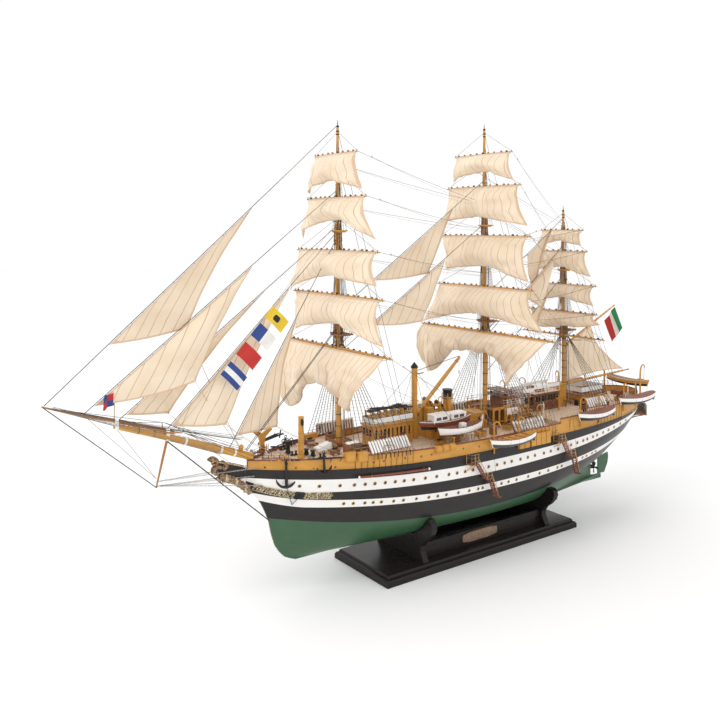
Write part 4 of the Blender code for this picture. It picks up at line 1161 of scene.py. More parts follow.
def square_rows(foot_x, yard, clews, arch, belly, seed, head_rise, columns=56, down_rows=32):
    """Square sail from its yard to its clews: crowned, hollow at the leeches, creased from the corners."""
    half, yard_z = yard
    radius = yard_radius(half)
    x_head = foot_x + YARD_OFFSET
    (port_y, port_z), (starboard_y, starboard_z) = clews
    head_half = half * 0.93
    rows, flat = [], []
    height = yard_z - (port_z + starboard_z) / 2
    for row in range(down_rows + 1):
        v = row / down_rows
        line, flat_line = [], []
        for column in range(columns + 1):
            u = 2 * column / columns - 1
            share = (u + 1) / 2
            local = radius * mix(1.0, 0.55, abs(u))
            head = Vector((x_head + local + 0.0004, u * head_half, yard_z + head_rise * local))
            foot = Vector((x_head + 0.0012, mix(starboard_y, port_y, share),
                           mix(starboard_z, port_z, share) + arch * (1 - u * u)))
            point = head.lerp(foot, v ** 0.96)
            point.y *= 1 - (0.11 if u > 0 else 0.05) * math.sin(math.pi * v ** 0.8)
            crown = math.sin(math.pi * min(1.0, 0.04 + 0.74 * v)) ** 0.85 * (1 - abs(u) ** 2.4) ** 0.75
            hollow = math.exp(-((u + 0.12 * math.sin(seed)) / 0.34) ** 2) * v ** 2.2
            point.x += belly * (crown * min(1.0, v * 6) * 1.15 - 0.80 * hollow)
            point.z += 0.0030 * hollow * v ** 4
            scallop = abs(math.sin(u * half * 2 * 0.9 / 0.0068 * math.pi / 2 * 2))
            point.z -= 0.0009 * scallop * (1 - v) ** 8 * min(1.0, v * 20 + 0.3)
            for corner, clew_v in ((1, 1.0), (-1, 1.0), (1, 0.0), (-1, 0.0)):
                du, dv = (corner - u) * half, (clew_v - v) * height
                distance = math.hypot(du, dv)
                angle = math.atan2(abs(dv) + 1e-6, abs(du) + 1e-6)
                reach = math.exp(-distance / (0.42 * height)) * min(1.0, distance / 0.006)
                point.x += 0.0016 * reach * math.sin(angle * 13 + seed + corner) * (1.0 if clew_v else 0.6)
            inner = min(1.0, v * 5) * min(1.0, (1 - abs(u)) * 6 + 0.15)
            point.x += cloth_ripple(seed, point.y * 0.9, point.z * 1.8, 0.0058, 34) * inner
            point.x += cloth_ripple(seed + 4, point.y * 3.0, point.z * 0.6, 0.0026, 46) * inner
            point.y += cloth_ripple(seed + 9, point.y * 0.8, point.z * 1.6, 0.0050, 30) * inner * (1 - v ** 4)
            point.z -= 0.0024 * abs(cloth_ripple(seed, point.y * 2.0, 0.0, 1.0, 40)) * v ** 6 * (1 - abs(u))
            line.append(point)
            flat_line.append((u * (head_half + abs(port_y)) / 2 + 0.0057, -v * height))
        rows.append(line)
        flat.append(flat_line)
    return rows, flat


def make_square_sails():
    plans = {
        "fore": (FORE_X, FORE_YARDS, (((0.062, 0.5115), (-0.060, 0.5095), 0.0120, 0.019),
                                      ((0.092, 0.4480), (-0.078, 0.4480), 0.0230, 0.022),
                                      ((0.092, 0.3910), (-0.112, 0.3740), 0.0150, 0.021),
                                      ((0.108, 0.3180), (-0.100, 0.3200), 0.0160, 0.020))),
        "main": (MAIN_X, MAIN_YARDS, (((0.066, 0.5315), (-0.064, 0.5315), 0.0130, 0.019),
                                      ((0.092, 0.4660), (-0.086, 0.4700), 0.0090, 0.022),
                                      ((0.094, 0.3860), (-0.080, 0.3965), 0.0120, 0.021),
                                      ((0.120, 0.3180), (-0.140, 0.3080), 0.0180, 0.020))),
        "mizzen": (MIZZEN_X, MIZZEN_YARDS, (((0.040, 0.4350), (-0.050, 0.4330), 0.0060, 0.013),
                                            ((0.060, 0.3860), (-0.053, 0.3925), 0.0080, 0.014),
                                            ((0.064, 0.3400), (-0.064, 0.3400), 0.0080, 0.012),
                                            ((0.078, 0.3120), (-0.058, 0.2990), -0.004, 0.012))),
    }
    for mast, (foot_x, yards, sails) in plans.items():
        for index, (port, starboard, arch, belly) in enumerate(sails):
            seed = index * 3.1 + foot_x * 40
            head_rise = 0.9 if index < 3 else 0.1
            rows, flat = square_rows(foot_x, yards[index], (port, starboard), arch, belly, seed, head_rise)
            name = f"{mast}_{SAIL_NAMES[index]}"
            sail_piece(f"{name}_cloth", rows, flat, name)


# Stays and their sails: foot and head of the stay, then tack, head and clew of the sail, its hollow, its mast
STAYS = {
    "flying_jib": ((0.5915, 0.2754), (0.2230, 0.5960), (0.521, 0.333), (0.344, 0.484), (0.430, 0.345),
                   -0.006, "fore"),
    "outer_jib": ((0.5510, 0.2610), (0.2235, 0.5110), (0.540, 0.270), (0.346, 0.415), (0.425, 0.285),
                  0.006, "fore"),
    "middle_jib": ((0.5140, 0.2485), (0.2235, 0.4640), (0.505, 0.256), (0.331, 0.386), (0.452, 0.249),
                   -0.005, "fore"),
    "inner_jib": ((0.4590, 0.2290), (0.2238, 0.4555), (0.452, 0.236), (0.293, 0.388), (0.385, 0.229),
                  0.005, "fore"),
    "topmast_staysail": ((0.3770, 0.1985), (0.2239, 0.4462), (0.370, 0.212), (0.284, 0.350), (0.309, 0.213),
                         -0.005, "fore"),
    "main_upper_staysail": ((FORE_X - 0.0038, 0.3560), (-0.0440, 0.5335), (0.162, 0.392), (0.018, 0.492),
                            (0.054, 0.398), -0.009, "main"),
    "main_lower_staysail": ((FORE_X - 0.0038, 0.3000), (-0.0436, 0.4680), (0.166, 0.332), (0.033, 0.419),
                            (0.083, 0.332), 0.006, "main"),
    "mizzen_upper_staysail": ((MAIN_X - 0.0038, 0.3620), (-0.2230, 0.4780), (-0.139, 0.423), (-0.197, 0.461),
                              (-0.167, 0.366), -0.010, "mizzen"),
    "mizzen_middle_staysail": ((MAIN_X - 0.0038, 0.3000), (-0.2228, 0.4330), (-0.125, 0.359), (-0.199, 0.415),
                               (-0.158, 0.338), 0.009, "mizzen"),
    "mizzen_lower_staysail": ((MAIN_X - 0.0038, 0.2460), (-0.2226, 0.3840), (-0.143, 0.321), (-0.186, 0.355),
                              (-0.167, 0.297), -0.006, "mizzen"),
}


def stay_sail_rows(tack, head, clew, down, sag, hollow, seed):
    """Three-cornered sail from its head down to tack and clew, with its flat pattern beside the leech."""
    leech = (clew - head).normalized()
    leech_side = leech.cross(ACROSS).normalized()
    inward = leech_side * math.copysign(1, leech_side.dot(clew - tack))
    rows, flat = [], []
    for v in steps(0, 1, 28):
        line, flat_line = [], []
        luff_point = head.lerp(tack, v) + down * 0.0012
        leech_point = head.lerp(clew, v) + down * 0.0012
        width = (leech_point - luff_point).length
        for u in steps(0, 1, 20):
            point = luff_point.lerp(leech_point, u)
            point.y = clew.y * u * v
            belly = math.sin(math.pi * u * 0.92) * math.sin(math.pi * min(1.0, v * 0.80 + 0.03))
            point.y += sag * 1.3 * belly
            point -= inward * hollow * math.sin(math.pi * v) * u * u
            if v > 0.6:
                point += down * 0.030 * width * math.sin(math.pi * u) * ((v - 0.6) / 0.4) ** 2
            point.y += cloth_ripple(point.x, seed, point.z, 0.0022, 26) * min(1, u * 6) * min(1, v * 5)
            crease = math.exp(-(point - clew).length / 0.03)
            point.y += 0.0012 * crease * math.sin(math.atan2(point.z - clew.z, point.x - clew.x) * 11)
            line.append(point)
            flat_line.append((leech_side.dot(point - clew), leech.dot(point - clew)))
        rows.append(line)
        flat.append(flat_line)
    return rows, flat


def make_stay_sails():
    """Each three-cornered sail hangs from hanks on its stay, with its sheet led aft."""
    ropes = {"fore": Shape(), "main": Shape(), "mizzen": Shape()}
    for index, (name, (low, high, tack, head, clew, sag, mast)) in enumerate(STAYS.items()):
        low, high = Vector((low[0], 0, low[1])), Vector((high[0], 0, high[1]))
        along = (high - low).normalized()
        tack, head = [low + along * (Vector((x, 0, z)) - low).dot(along) for x, z in (tack, head)]
        clew = Vector((clew[0], sag * 1.1, clew[1]))
        down = along.cross(ACROSS)
        if down.z > 0:
            down = -down
        rows, flat = stay_sail_rows(tack, head, clew, down, sag, 0.005 if mast == "fore" else -0.001, index)
        places = zip(*(point for line in flat for point in line))
        extents = tuple(max(values) - min(values) for values in places)
        sail_piece(f"{name}_cloth", rows, flat, name, flat=extents)
        shape = ropes[mast]
        shape.rope(low, high, 0.00045, 0, sides=6)
        span = (head - tack).length
        for hank in range(int(span / HANK_PITCH) + 1):
            point = tack.lerp(head, hank * HANK_PITCH / span)
            shape.ring(point + down * 0.0005, 0.0008, 0.00022, along, 1, 8, 4)
        shape.rope(tack, low, 0.00022, 2)
        shape.rope(head, high + ACROSS * 0.0008, 0.00022, 2)
        make_block(shape, clew, 0.0009, 1)
        foot_x = clew.x - (0.075 if mast == "fore" else 0.05)
        for sign in SIGNS:
            shape.rope(clew, at_rail(foot_x, sign, -0.003, 0.001), 0.00020, 2, sag=0.004)
    for mast, shape in ropes.items():
        make_piece(f"{mast}_stays", shape, ["black_cord", "block_wood", "tan_cord"])


def smooth_table(table, value, reach=0.05):
    """Reading of a table, rounded off over a short reach."""
    return sum(along_table(table, value + reach * shift) for shift in (-1, -0.5, 0, 0.5, 1)) / 5


def bunched_rows(foot_x, yard, foot, swell, seed, columns=84, down_rows=36):
    """Course clewed up: its foot is hauled to uneven places, with folds that gather towards them."""
    half, yard_z = yard
    radius = yard_radius(half)
    x_head = foot_x + YARD_OFFSET
    foot_y = [(share, y) for share, y, _ in foot]
    foot_z = [(share, z) for share, _, z in foot]
    rows, flat = [], []
    for row in range(down_rows + 1):
        v = row / down_rows
        curl = max(0.0, (v - 0.90) / 0.10)
        line, flat_line = [], []
        for column in range(columns + 1):
            u = 2 * column / columns - 1
            head = yard_z + 0.1 * radius
            z = mix(head, smooth_table(foot_z, u), min(1.0, v / 0.93))
            y = mix(u * half * 0.93, smooth_table(foot_y, u), v ** 1.2)
            belly = math.sin(math.pi * min(1.0, 0.86 * v + 0.04)) ** 0.8
            x = x_head + (radius + 0.0004) * (1 - v) + swell * belly
            fold = 0.0024 * math.sin(u * 15 + 2.2 * v + seed) + 0.0014 * math.sin(u * 33 - 3 * v + seed)
            x += fold * min(1.0, v * 2.5)
            x += cloth_ripple(seed, y * 1.6, z * 1.6, 0.0060, 40) * min(1.0, v * 3)
            z += cloth_ripple(seed + 3, y * 2.4, 0.0, 0.0040, 40) * v ** 3
            x -= 0.0040 * curl
            z += 0.0016 * curl * curl
            line.append(Vector((x, y, z)))
            flat_line.append((u * half, -v * 0.09))
        rows.append(line)
        flat.append(flat_line)
    return rows, flat


def make_courses():
    """Fore and main courses clewed up under their yards."""
    fore_foot = ((-1.0, -0.1130, 0.224), (-0.9, -0.1080, 0.213), (-0.78, -0.0940, 0.211), (-0.66, -0.0800, 0.226),
                 (-0.5, -0.0620, 0.246), (-0.3, -0.0400, 0.2545), (-0.1, -0.0180, 0.2560), (0.1, -0.0020, 0.2520),
                 (0.3, 0.0100, 0.2460), (0.6, 0.0220, 0.2380), (0.85, 0.0310, 0.2310), (1.0, 0.0345, 0.2290))
    main_foot = ((-1.0, -0.1300, 0.254), (-0.9, -0.1250, 0.238), (-0.78, -0.1110, 0.230), (-0.66, -0.0950, 0.240),
                 (-0.5, -0.0770, 0.261), (-0.3, -0.0520, 0.2740), (0.0, -0.0150, 0.2765), (0.3, 0.0150, 0.2765),
                 (0.55, 0.0350, 0.2720), (0.75, 0.0460, 0.2570), (0.9, 0.0540, 0.2430), (1.0, 0.0580, 0.2350))
    for mast, foot_x, yard, foot, seed in (("fore", FORE_X, FORE_YARDS[-1], fore_foot, 1.3),
                                           ("main", MAIN_X, MAIN_YARDS[-1], main_foot, 4.1)):
        rows, flat = bunched_rows(foot_x, yard, foot, 0.020, seed)
        sail = f"{mast}_course"
        sail_piece(f"{sail}_cloth", rows, flat, sail)


def make_spanker():
    """Fore-and-aft sail between boom and gaff; it swings with them."""
    rows, flat = [], []
    boom_heel, boom_end = [Vector((x, 0, z)) for x, z in (BOOM_HEEL, BOOM_END)]
    gaff_heel, gaff_peak = [Vector((x, 0, z)) for x, z in (GAFF_HEEL, GAFF_PEAK)]
    for down in steps(0, 1, 28):
        line, flat_line = [], []
        for out in steps(0, 1, 24):
            head = gaff_heel.lerp(gaff_peak, out * 0.50) - UP * 0.0022
            foot = boom_heel.lerp(boom_end, out * 0.90) + UP * 0.0034
            point = head.lerp(foot, down)
            point.x += 0.014 * math.sin(math.pi * down) * out ** 3
            point.z += 0.0050 * math.sin(math.pi * out) * down ** 5
            belly = math.sin(math.pi * down) ** 0.8 * math.sin(math.pi * (0.15 + 0.85 * out) * 0.9)
            point.y = -0.010 * belly * min(1, out * 8)
            point.y += cloth_ripple(point.x * 2.2, 3.0, point.z * 0.8, 0.0022, 40) * min(1, out * 6)
            line.append(point)
            flat_line.append((-point.x, point.z))
        rows.append(line)
        flat.append(flat_line)
    sail_piece("spanker_cloth", rows, flat, "spanker",
               body="spanker_rig")
    shape = Shape()
    for start, stop, big in ((boom_heel, boom_end, 0.0019), (gaff_heel, gaff_peak, 0.0016)):
        shape.tube([start.lerp(stop, share) for share in (0.0, 0.06, 0.4, 0.75, 1.0)],
                   [big * share for share in (0.7, 0.9, 1.0, 0.85, 0.5)], 12, 0)
        for share in (0.02, 0.35, 0.72, 0.97):
            shape.ring(start.lerp(stop, share), big * mix(1.0, 0.6, share), 0.0003, stop - start, 1, 12, 5)
        for share in steps(0.06, 0.88, 14):
            shape.ring(start.lerp(stop, share), big * 0.98 + 0.0003, 0.00022, stop - start, 2, 9, 4)
    for z in steps(0.214, 0.266, 11):
        shape.ball((MIZZEN_X - 0.0042, 0, z), 0.0007, 2, 7, 4)
    make_piece("spanker_spars", shape, ["paint_ochre", "black_metal", "tan_cord"], "spanker_rig",
               replaces=["spanker_boom", "spanker_gaff"])


# Bowsprit

def make_bowsprit():
    """Bowsprit and jibboom with their bands, dolphin striker and whiskers."""
    shape = Shape()
    along = Vector((0.93, 0, 0.342))
    shape.tube([(0.3470, 0, 0.1827), (0.400, 0, 0.2022), (0.462, 0, 0.2250), (0.517, 0, 0.2440)],
               [0.0046, 0.0045, 0.0038, 0.0030], 16, 0)
    shape.tube([(0.448, 0, 0.2268), (0.517, 0, 0.2500), (0.560, 0, 0.2630), (0.592, 0, 0.2742)],
               [0.0022, 0.0022, 0.0017, 0.0008], 12, 1)
    shape.ball((0.5930, 0, 0.2745), 0.0011, 1, 10, 5)
    for x, z, size, long in ((0.5150, 0.2465, 0.0062, 0.0038), (0.4560, 0.2262, 0.0068, 0.0042)):
        shape.box((x - long / 2, -0.0034, z - size), (x + long / 2, 0.0034, z + size), 2)
    for x, z in ((0.3880, 0.1977), (0.3700, 0.1911), (0.4330, 0.2143)):
        start = Vector((x, 0, z))
        shape.tube([start, start + along * 0.0026], 0.0050, 16, 2)
    for x, z, radius in ((0.4100, 0.2058, 0.0041), (0.4720, 0.2287, 0.0036), (0.4900, 0.2350, 0.0036)):
        shape.ring((x, 0, z), radius, 0.0004, along, 3, 16, 5)
    striker = [(0.4560, 0, 0.2200), (0.4620, 0, 0.1960), (0.4690, 0, 0.1670)]
    shape.tube(striker, [0.0016, 0.0014, 0.0009], 10, 1)
    shape.ring((0.4688, 0, 0.1682), 0.0011, 0.0003, (0.2, 0, 1), 3, 10, 5)
    for sign in SIGNS:
        shape.tube([(0.4600, sign * 0.003, 0.2290), (0.4500, sign * 0.0300, 0.2330)], [0.0010, 0.0006], 8, 1)
    shape.tube([(0.5170, 0, 0.2520), (0.5170, 0, 0.2830)], 0.00045, 6, 1)
    shape.tube([(0.3620, 0, 0.1935), (0.3620, 0, 0.1965), (0.3600, 0, 0.1990)], [0.003, 0.003, 0.002], 10, 0)
    make_piece("bowsprit_spars", shape, ["paint_ochre", "spar_wood", "paint_white", "black_metal"],
               replaces=["bowsprit"])


def make_bowsprit_rigging():
    """Martingale stays, bobstay, chains, guys and nets of the bowsprit, and the doubled fore stay."""
    lines = Shape()
    tip, end = Vector((0.5920, 0, 0.2735)), Vector((0.4690, 0, 0.1675))
    lines.rope(tip, end, 0.00050, 0, sides=6)
    lines.rope((0.4560, 0, 0.2180), on_side(0.3235, 0.0995, 1, 0.0), 0.00070, 0, sides=6)
    for x, z in ((0.5140, 0.2400), (0.5500, 0.2600)):
        lines.rope((x, 0, z), end + UP * 0.010, 0.00026, 1)
    for sign in SIGNS:
        for start_z, x, z in ((0.1690, 0.3470, 0.1600), (0.1740, 0.3440, 0.1700), (0.1690, 0.3380, 0.1480)):
            chain(lines, (0.4690, 0, start_z), (x, sign * (half_breadth(x, z) + 0.0005), z), 2)
        whisker = Vector((0.4500, sign * 0.0300, 0.2330))
        lines.rope(tip, whisker, 0.00026, 0)
        lines.rope((0.5150, 0, 0.2480), whisker, 0.00026, 0)
        for z in (0.1800, 0.1850, 0.1900):
            lines.rope(whisker - Vector((0.001, 0, 0)), (0.3480, sign * 0.010, z), 0.00024, 0)
        for share in (0.25, 0.55, 0.85):
            lines.rope((0.5750, sign * 0.0006, 0.2700), (0.3620, sign * 0.008 * share, 0.2040 + 0.006 * share),
                       0.00022, 0, sag=0.002)
        bow_net(lines, sign)
    make_piece("bowsprit_rigging", lines, ["black_cord", "grey_cord", "bright_chain", "black_metal"])
    stay = Shape()
    low, high = Vector((0.3548, 0, 0.1916)), Vector((0.2229, 0, 0.3300))
    for sign in SIGNS:
        stay.tube([low + ACROSS * sign * 0.0018, high + ACROSS * sign * 0.0012], 0.00045, 8, 0)
    for share in steps(0.0, 1.0, 6):
        point = low.lerp(high, share)
        stay.tube([point - ACROSS * 0.0017, point + ACROSS * 0.0017], 0.0003, 5, 0)
    make_piece("fore_stay_pair", stay, ["black_cord"], replaces=["fore_stay"])


def chain(shape, start, end, finish, link=0.0026):
    """Chain of open links, each turned a quarter from the last."""
    start, end = Vector(start), Vector(end)
    along = (end - start).normalized()
    count = int((end - start).length / link)
    side = along.cross(UP).normalized()
    up = along.cross(side)
    for index in range(count):
        centre = start.lerp(end, (index + 0.5) / count)
        flank = side if index % 2 else up
        loop = [centre + along * link * 0.62 * math.cos(angle) + flank * link * 0.26 * math.sin(angle)
                for angle in turns(8, 1)]
        shape.tube(loop, 0.00024, 4, finish)


def bow_net(shape, sign):
    """Safety net slung below the jibboom on one side."""
    rows = []
    for share in steps(0, 1, 32):
        x = mix(0.3900, 0.5820, share)
        spar_z = mix(0.2010, 0.2700, share)
        wide = along_table(((0.390, 0.009), (0.470, 0.012), (0.582, 0.0015)), x)
        sag = mix(0.010, 0.003, share)
        rows.append([Vector((x, sign * wide * out, spar_z + 0.004 - sag * (1.25 - out ** 2.0)))
                     for out in (0.0, 0.25, 0.5, 0.75, 1.0)])
    for line in [*zip(*rows), *rows]:
        shape.tube(line, 0.00016, 3, 1)
    for row, after in zip(rows, rows[1:]):
        for near, far in zip(row, after[1:]):
            shape.rope(near, far, 0.00012, 1, sides=3)


# Deck fittings

FITTINGS = ["paint_ochre", "black_metal", "paint_white", "mahogany", "brown_wood", "canvas_white", "brass",
            "glass_and_painted_shade", "paint_red", "paint_grey", "black_cord", "tan_cord", "block_wood", "spar_wood",
            "bright_chain", "paint_black", "carving", "deck_planks", "bottom_grey"]
(OCHRE, BLACK, WHITE, MAHOGANY, BROWN, CANVAS, BRASS, GLASS_AND_PAINTED_SHADE, RED, GREY, CORD, TAN, BLOCK, SPAR, CHAIN, INK, CARVED,
 PLANKS, SLATE) = range(19)

# Height share and radius up a capstan; height share, reach and size along a cowl
CAPSTAN_PROFILE = ((0.0, 0.0036), (0.10, 0.0036), (0.22, 0.0022), (0.55, 0.0017), (0.72, 0.0022), (0.80, 0.0034),
                   (1.0, 0.0034))
COWL_PROFILE = ((0.0, 0.0, 0.72), (0.62, 0.0, 0.72), (0.82, 0.35, 0.95), (0.92, 1.1, 1.2), (0.94, 2.0, 1.5))
# An anchor's arm, as shares of the shank out from the crown and back along it, and its radii
FLUKE_CURVE = ((0.0, 0.0), (0.20, 0.04), (0.36, 0.18), (0.42, 0.34))
FLUKE_RADII = (0.0019, 0.0018, 0.0017, 0.0016, 0.0015, 0.0014, 0.0012, 0.0009, 0.0004)
BRACKET_RADII = (0.0006, 0.0008, 0.0010, 0.0010, 0.0010, 0.0009, 0.0008, 0.0008, 0.0006)
# Rows of rafts on the rails: both ends, count, height of the rack and height of the rafts
SLAB_ROWS = ((0.1490, 0.2120, 14, 0.1785, 0.0135), (-0.0996, -0.0360, 11, 0.1690, 0.0160),
             (-0.2440, -0.2000, 8, 0.1850, 0.0125))


def rail_run(shape, path, height, rails=3, finish=BLACK, post=0.00035, cloth=0.0):
    """Open railing along a path: stanchions, rails and, where asked, a cloth laced to its upper part."""
    path = [Vector(point) for point in path]
    for start, end in zip(path, path[1:]):
        for share in steps(0, 1, max(1, round((end - start).length / 0.0085))):
            foot = start.lerp(end, share)
            shape.tube([foot, foot + UP * height], post, 5, finish)
            shape.ball(foot + UP * height, post * 1.7, finish, 6, 3)
        for level in range(1, rails + 1):
            rise = UP * height * level / rails
            shape.tube([start + rise, end + rise], post * 0.75, 4, finish)
        if cloth:
            low, high = UP * height * (1 - cloth), UP * height * 0.97
            side = (end - start).cross(UP).normalized() * 0.00025
            face = (start + low, end + low, end + high, start + high)
            shape.block([point - side for point in face] + [point + side for point in face], CANVAS)


def bollards(shape, x, y, z):
    shape.box((x - 0.0050, y - 0.0018, z), (x + 0.0050, y + 0.0018, z + 0.0008), BLACK)
    for shift in (-0.0028, 0.0028):
        shape.post(x + shift, y, z, z + 0.0042, 0.0012, 10, BLACK)
        shape.post(x + shift, y, z + 0.0040, z + 0.0050, 0.0018, 10, BLACK)


def capstan(shape, x, y, z, height):
    """Waisted drum with a broad head and six whelps."""
    shares, radii = zip(*CAPSTAN_PROFILE)
    shape.tube([(x, y, z + height * share) for share in shares], radii, 14, BLACK)
    for angle in turns(6):
        out = Vector((math.cos(angle), math.sin(angle), 0))
        low, high = Vector((x, y, z + height * 0.16)), Vector((x, y, z + height * 0.70))
        shape.tube([low + out * 0.0026, high + out * 0.0020], 0.0005, 4, BLACK)


def ventilator(shape, x, y, z, height, radius, finish=OCHRE):
    """Cowl ventilator: a stem that bends forward into a flared mouth, closed by a dark disc of painted shade."""
    ahead = Vector((1, 0, 0))
    path, radii = [], []
    for rise, reach, size in COWL_PROFILE:
        path.append(Vector((x + radius * reach, y, z + height * rise)))
        radii.append(radius * size)
    shape.tube(path, radii, 12, finish)
    mouth = path[-1]
    shape.ring(mouth, radius * 1.5, radius * 0.12, ahead, finish, 14, 5)
    # dark glossy disc across the mouth: painted shade standing for the hollow of the cowl
    shape.tube([mouth - ahead * 0.0002, mouth + ahead * 0.0001], radius * 1.32, 12, GLASS_AND_PAINTED_SHADE)


def cask(shape, start, end, radius, finish, band=BLACK):
    """Round-ended drum with two bands."""
    start, end = Vector(start), Vector(end)
    path = [start.lerp(end, share) for share in (0, 0.1, 0.9, 1)]
    shape.tube(path, [radius * 0.7, radius, radius, radius * 0.7], 12, finish)
    for share in (0.28, 0.72):
        shape.ring(start.lerp(end, share), radius, 0.00025, end - start, band, 14, 4)


def coil(shape, x, y, z, radius=0.0022):
    """Rope coiled down in four turns."""
    path = []
    for step, angle in enumerate(turns(10, 31)):
        reach = radius * (1 - 0.14 * step / 40)
        path.append((x + reach * math.cos(angle), y + reach * math.sin(angle), z + 0.00045 * step / 10))
    shape.tube(path, 0.00032, 5, TAN)


def framed_window(shape, low, high, out, finish):
    """Pane between two corners of a wall, with its frame; out is the wall's outward direction."""
    low, high, face = Vector(low), Vector(high), Vector(out) * 0.0003
    shape.box(low, high + face, GLASS_AND_PAINTED_SHADE)
    span = high - low
    rise = UP * span.z
    rim = [low, low + span - rise, high, low + rise]
    shape.tube(closed([point + face for point in rim]), 0.00032, 4, finish)


def windows(shape, x_low, x_high, y, z_low, z_high, count, finish, side):
    """Row of framed windows on a wall that faces across the ship."""
    pitch = (x_high - x_low) / count
    for x in steps(x_low, x_high - pitch, count - 1):
        low, high = (x + pitch * 0.14, y, z_low), (x + pitch * 0.86, y, z_high)
        framed_window(shape, low, high, (0, side, 0), finish)


def end_windows(shape, x, half, z_low, z_high, finish, side):
    """Three framed windows on a wall that faces along the ship."""
    pitch = 2 * half / 3
    for y in (-half, -half + pitch, -half + 2 * pitch):
        low, high = (x, y + pitch * 0.14, z_low), (x, y + pitch * 0.86, z_high)
        framed_window(shape, low, high, (side, 0, 0), finish)


def slats(shape, x_low, x_high, y, z_low, z_high, count, finish, side):
    """Upright battens on a wall, so that it reads as framed boarding."""
    for x in steps(x_low, x_high, count):
        shape.box((x - 0.0004, y - side * 0.0002, z_low), (x + 0.0004, y + side * 0.0005, z_high), finish)


def anchor(shape, head, crown, arms, stock, size=1.0):
    """Stocked anchor: shank, ring, curved arms with palms, and a stock across."""
    head, crown = Vector(head), Vector(crown)
    middle = head.lerp(crown, 0.5)
    long = (crown - head).length
    along, arms, stock = (crown - head).normalized(), Vector(arms).normalized(), Vector(stock).normalized()
    shape.tube([head, middle, crown], [0.0012 * size, 0.0015 * size, 0.0019 * size], 8, BLACK)
    shape.ring(head - along * 0.0014 * size, 0.0018 * size, 0.0005, stock, BLACK, 12, 5)
    cross = head + along * long * 0.12
    shape.tube([cross - stock * long * 0.10, cross + stock * long * 0.16], 0.0009 * size, 6, BLACK)
    for sign in SIGNS:
        path = [crown + (arms * sign * reach - along * back) * long for reach, back in FLUKE_CURVE]
        shape.tube(curve_through(path, 8), FLUKE_RADII, 7, BLACK)
        palm = path[2]
        out = (palm - middle).normalized()
        blade = [palm - out * 0.0002, palm - out * 0.0014]
        shape.tube(blade, [0.0026 * size, 0.0020 * size], 6, BLACK, flat=0.5)


def fore_deck_ironwork(shape, z):
    """Bollards, ventilators, capstans, rollers and eyes on the fore deck."""
    for x, y in ((0.2893, -0.0240), (0.2909, 0.0062), (0.2680, 0.0360), (0.2680, -0.0360)):
        bollards(shape, x, y, z - 0.0006)
    for x, y in ((0.3371, -0.0159), (0.3272, 0.0020)):
        ventilator(shape, x, y, z, 0.0080, 0.0014, WHITE)
    for x, y in ((0.2770, 0.0130), (0.2735, 0.0231)):
        capstan(shape, x, y, z - 0.0004, 0.0070)
    capstan(shape, 0.2936, -0.0040, z, 0.0150)
    shape.box((0.2895, -0.0080, z + 0.0140), (0.2977, 0.0, z + 0.0156), BLACK)
    for x in (0.2860, 0.2800, 0.2740):
        shape.post(x, -0.0290, z, z + 0.0080, 0.0009, 8, BLACK)
        shape.ring((x, -0.0290, z + 0.0085), 0.0022, 0.0006, (0.2, 1, 0), BLACK, 12, 5)
    for x, y in ((0.3010, -0.0220), (0.2660, -0.0330), (0.2560, -0.0240)):
        shape.tube([(x - 0.0060, y, z + 0.0040), (x + 0.0060, y - 0.0030, z + 0.0052)], 0.0011, 8, BLACK)
        shape.post(x, y, z, z + 0.0044, 0.0014, 8, MAHOGANY)


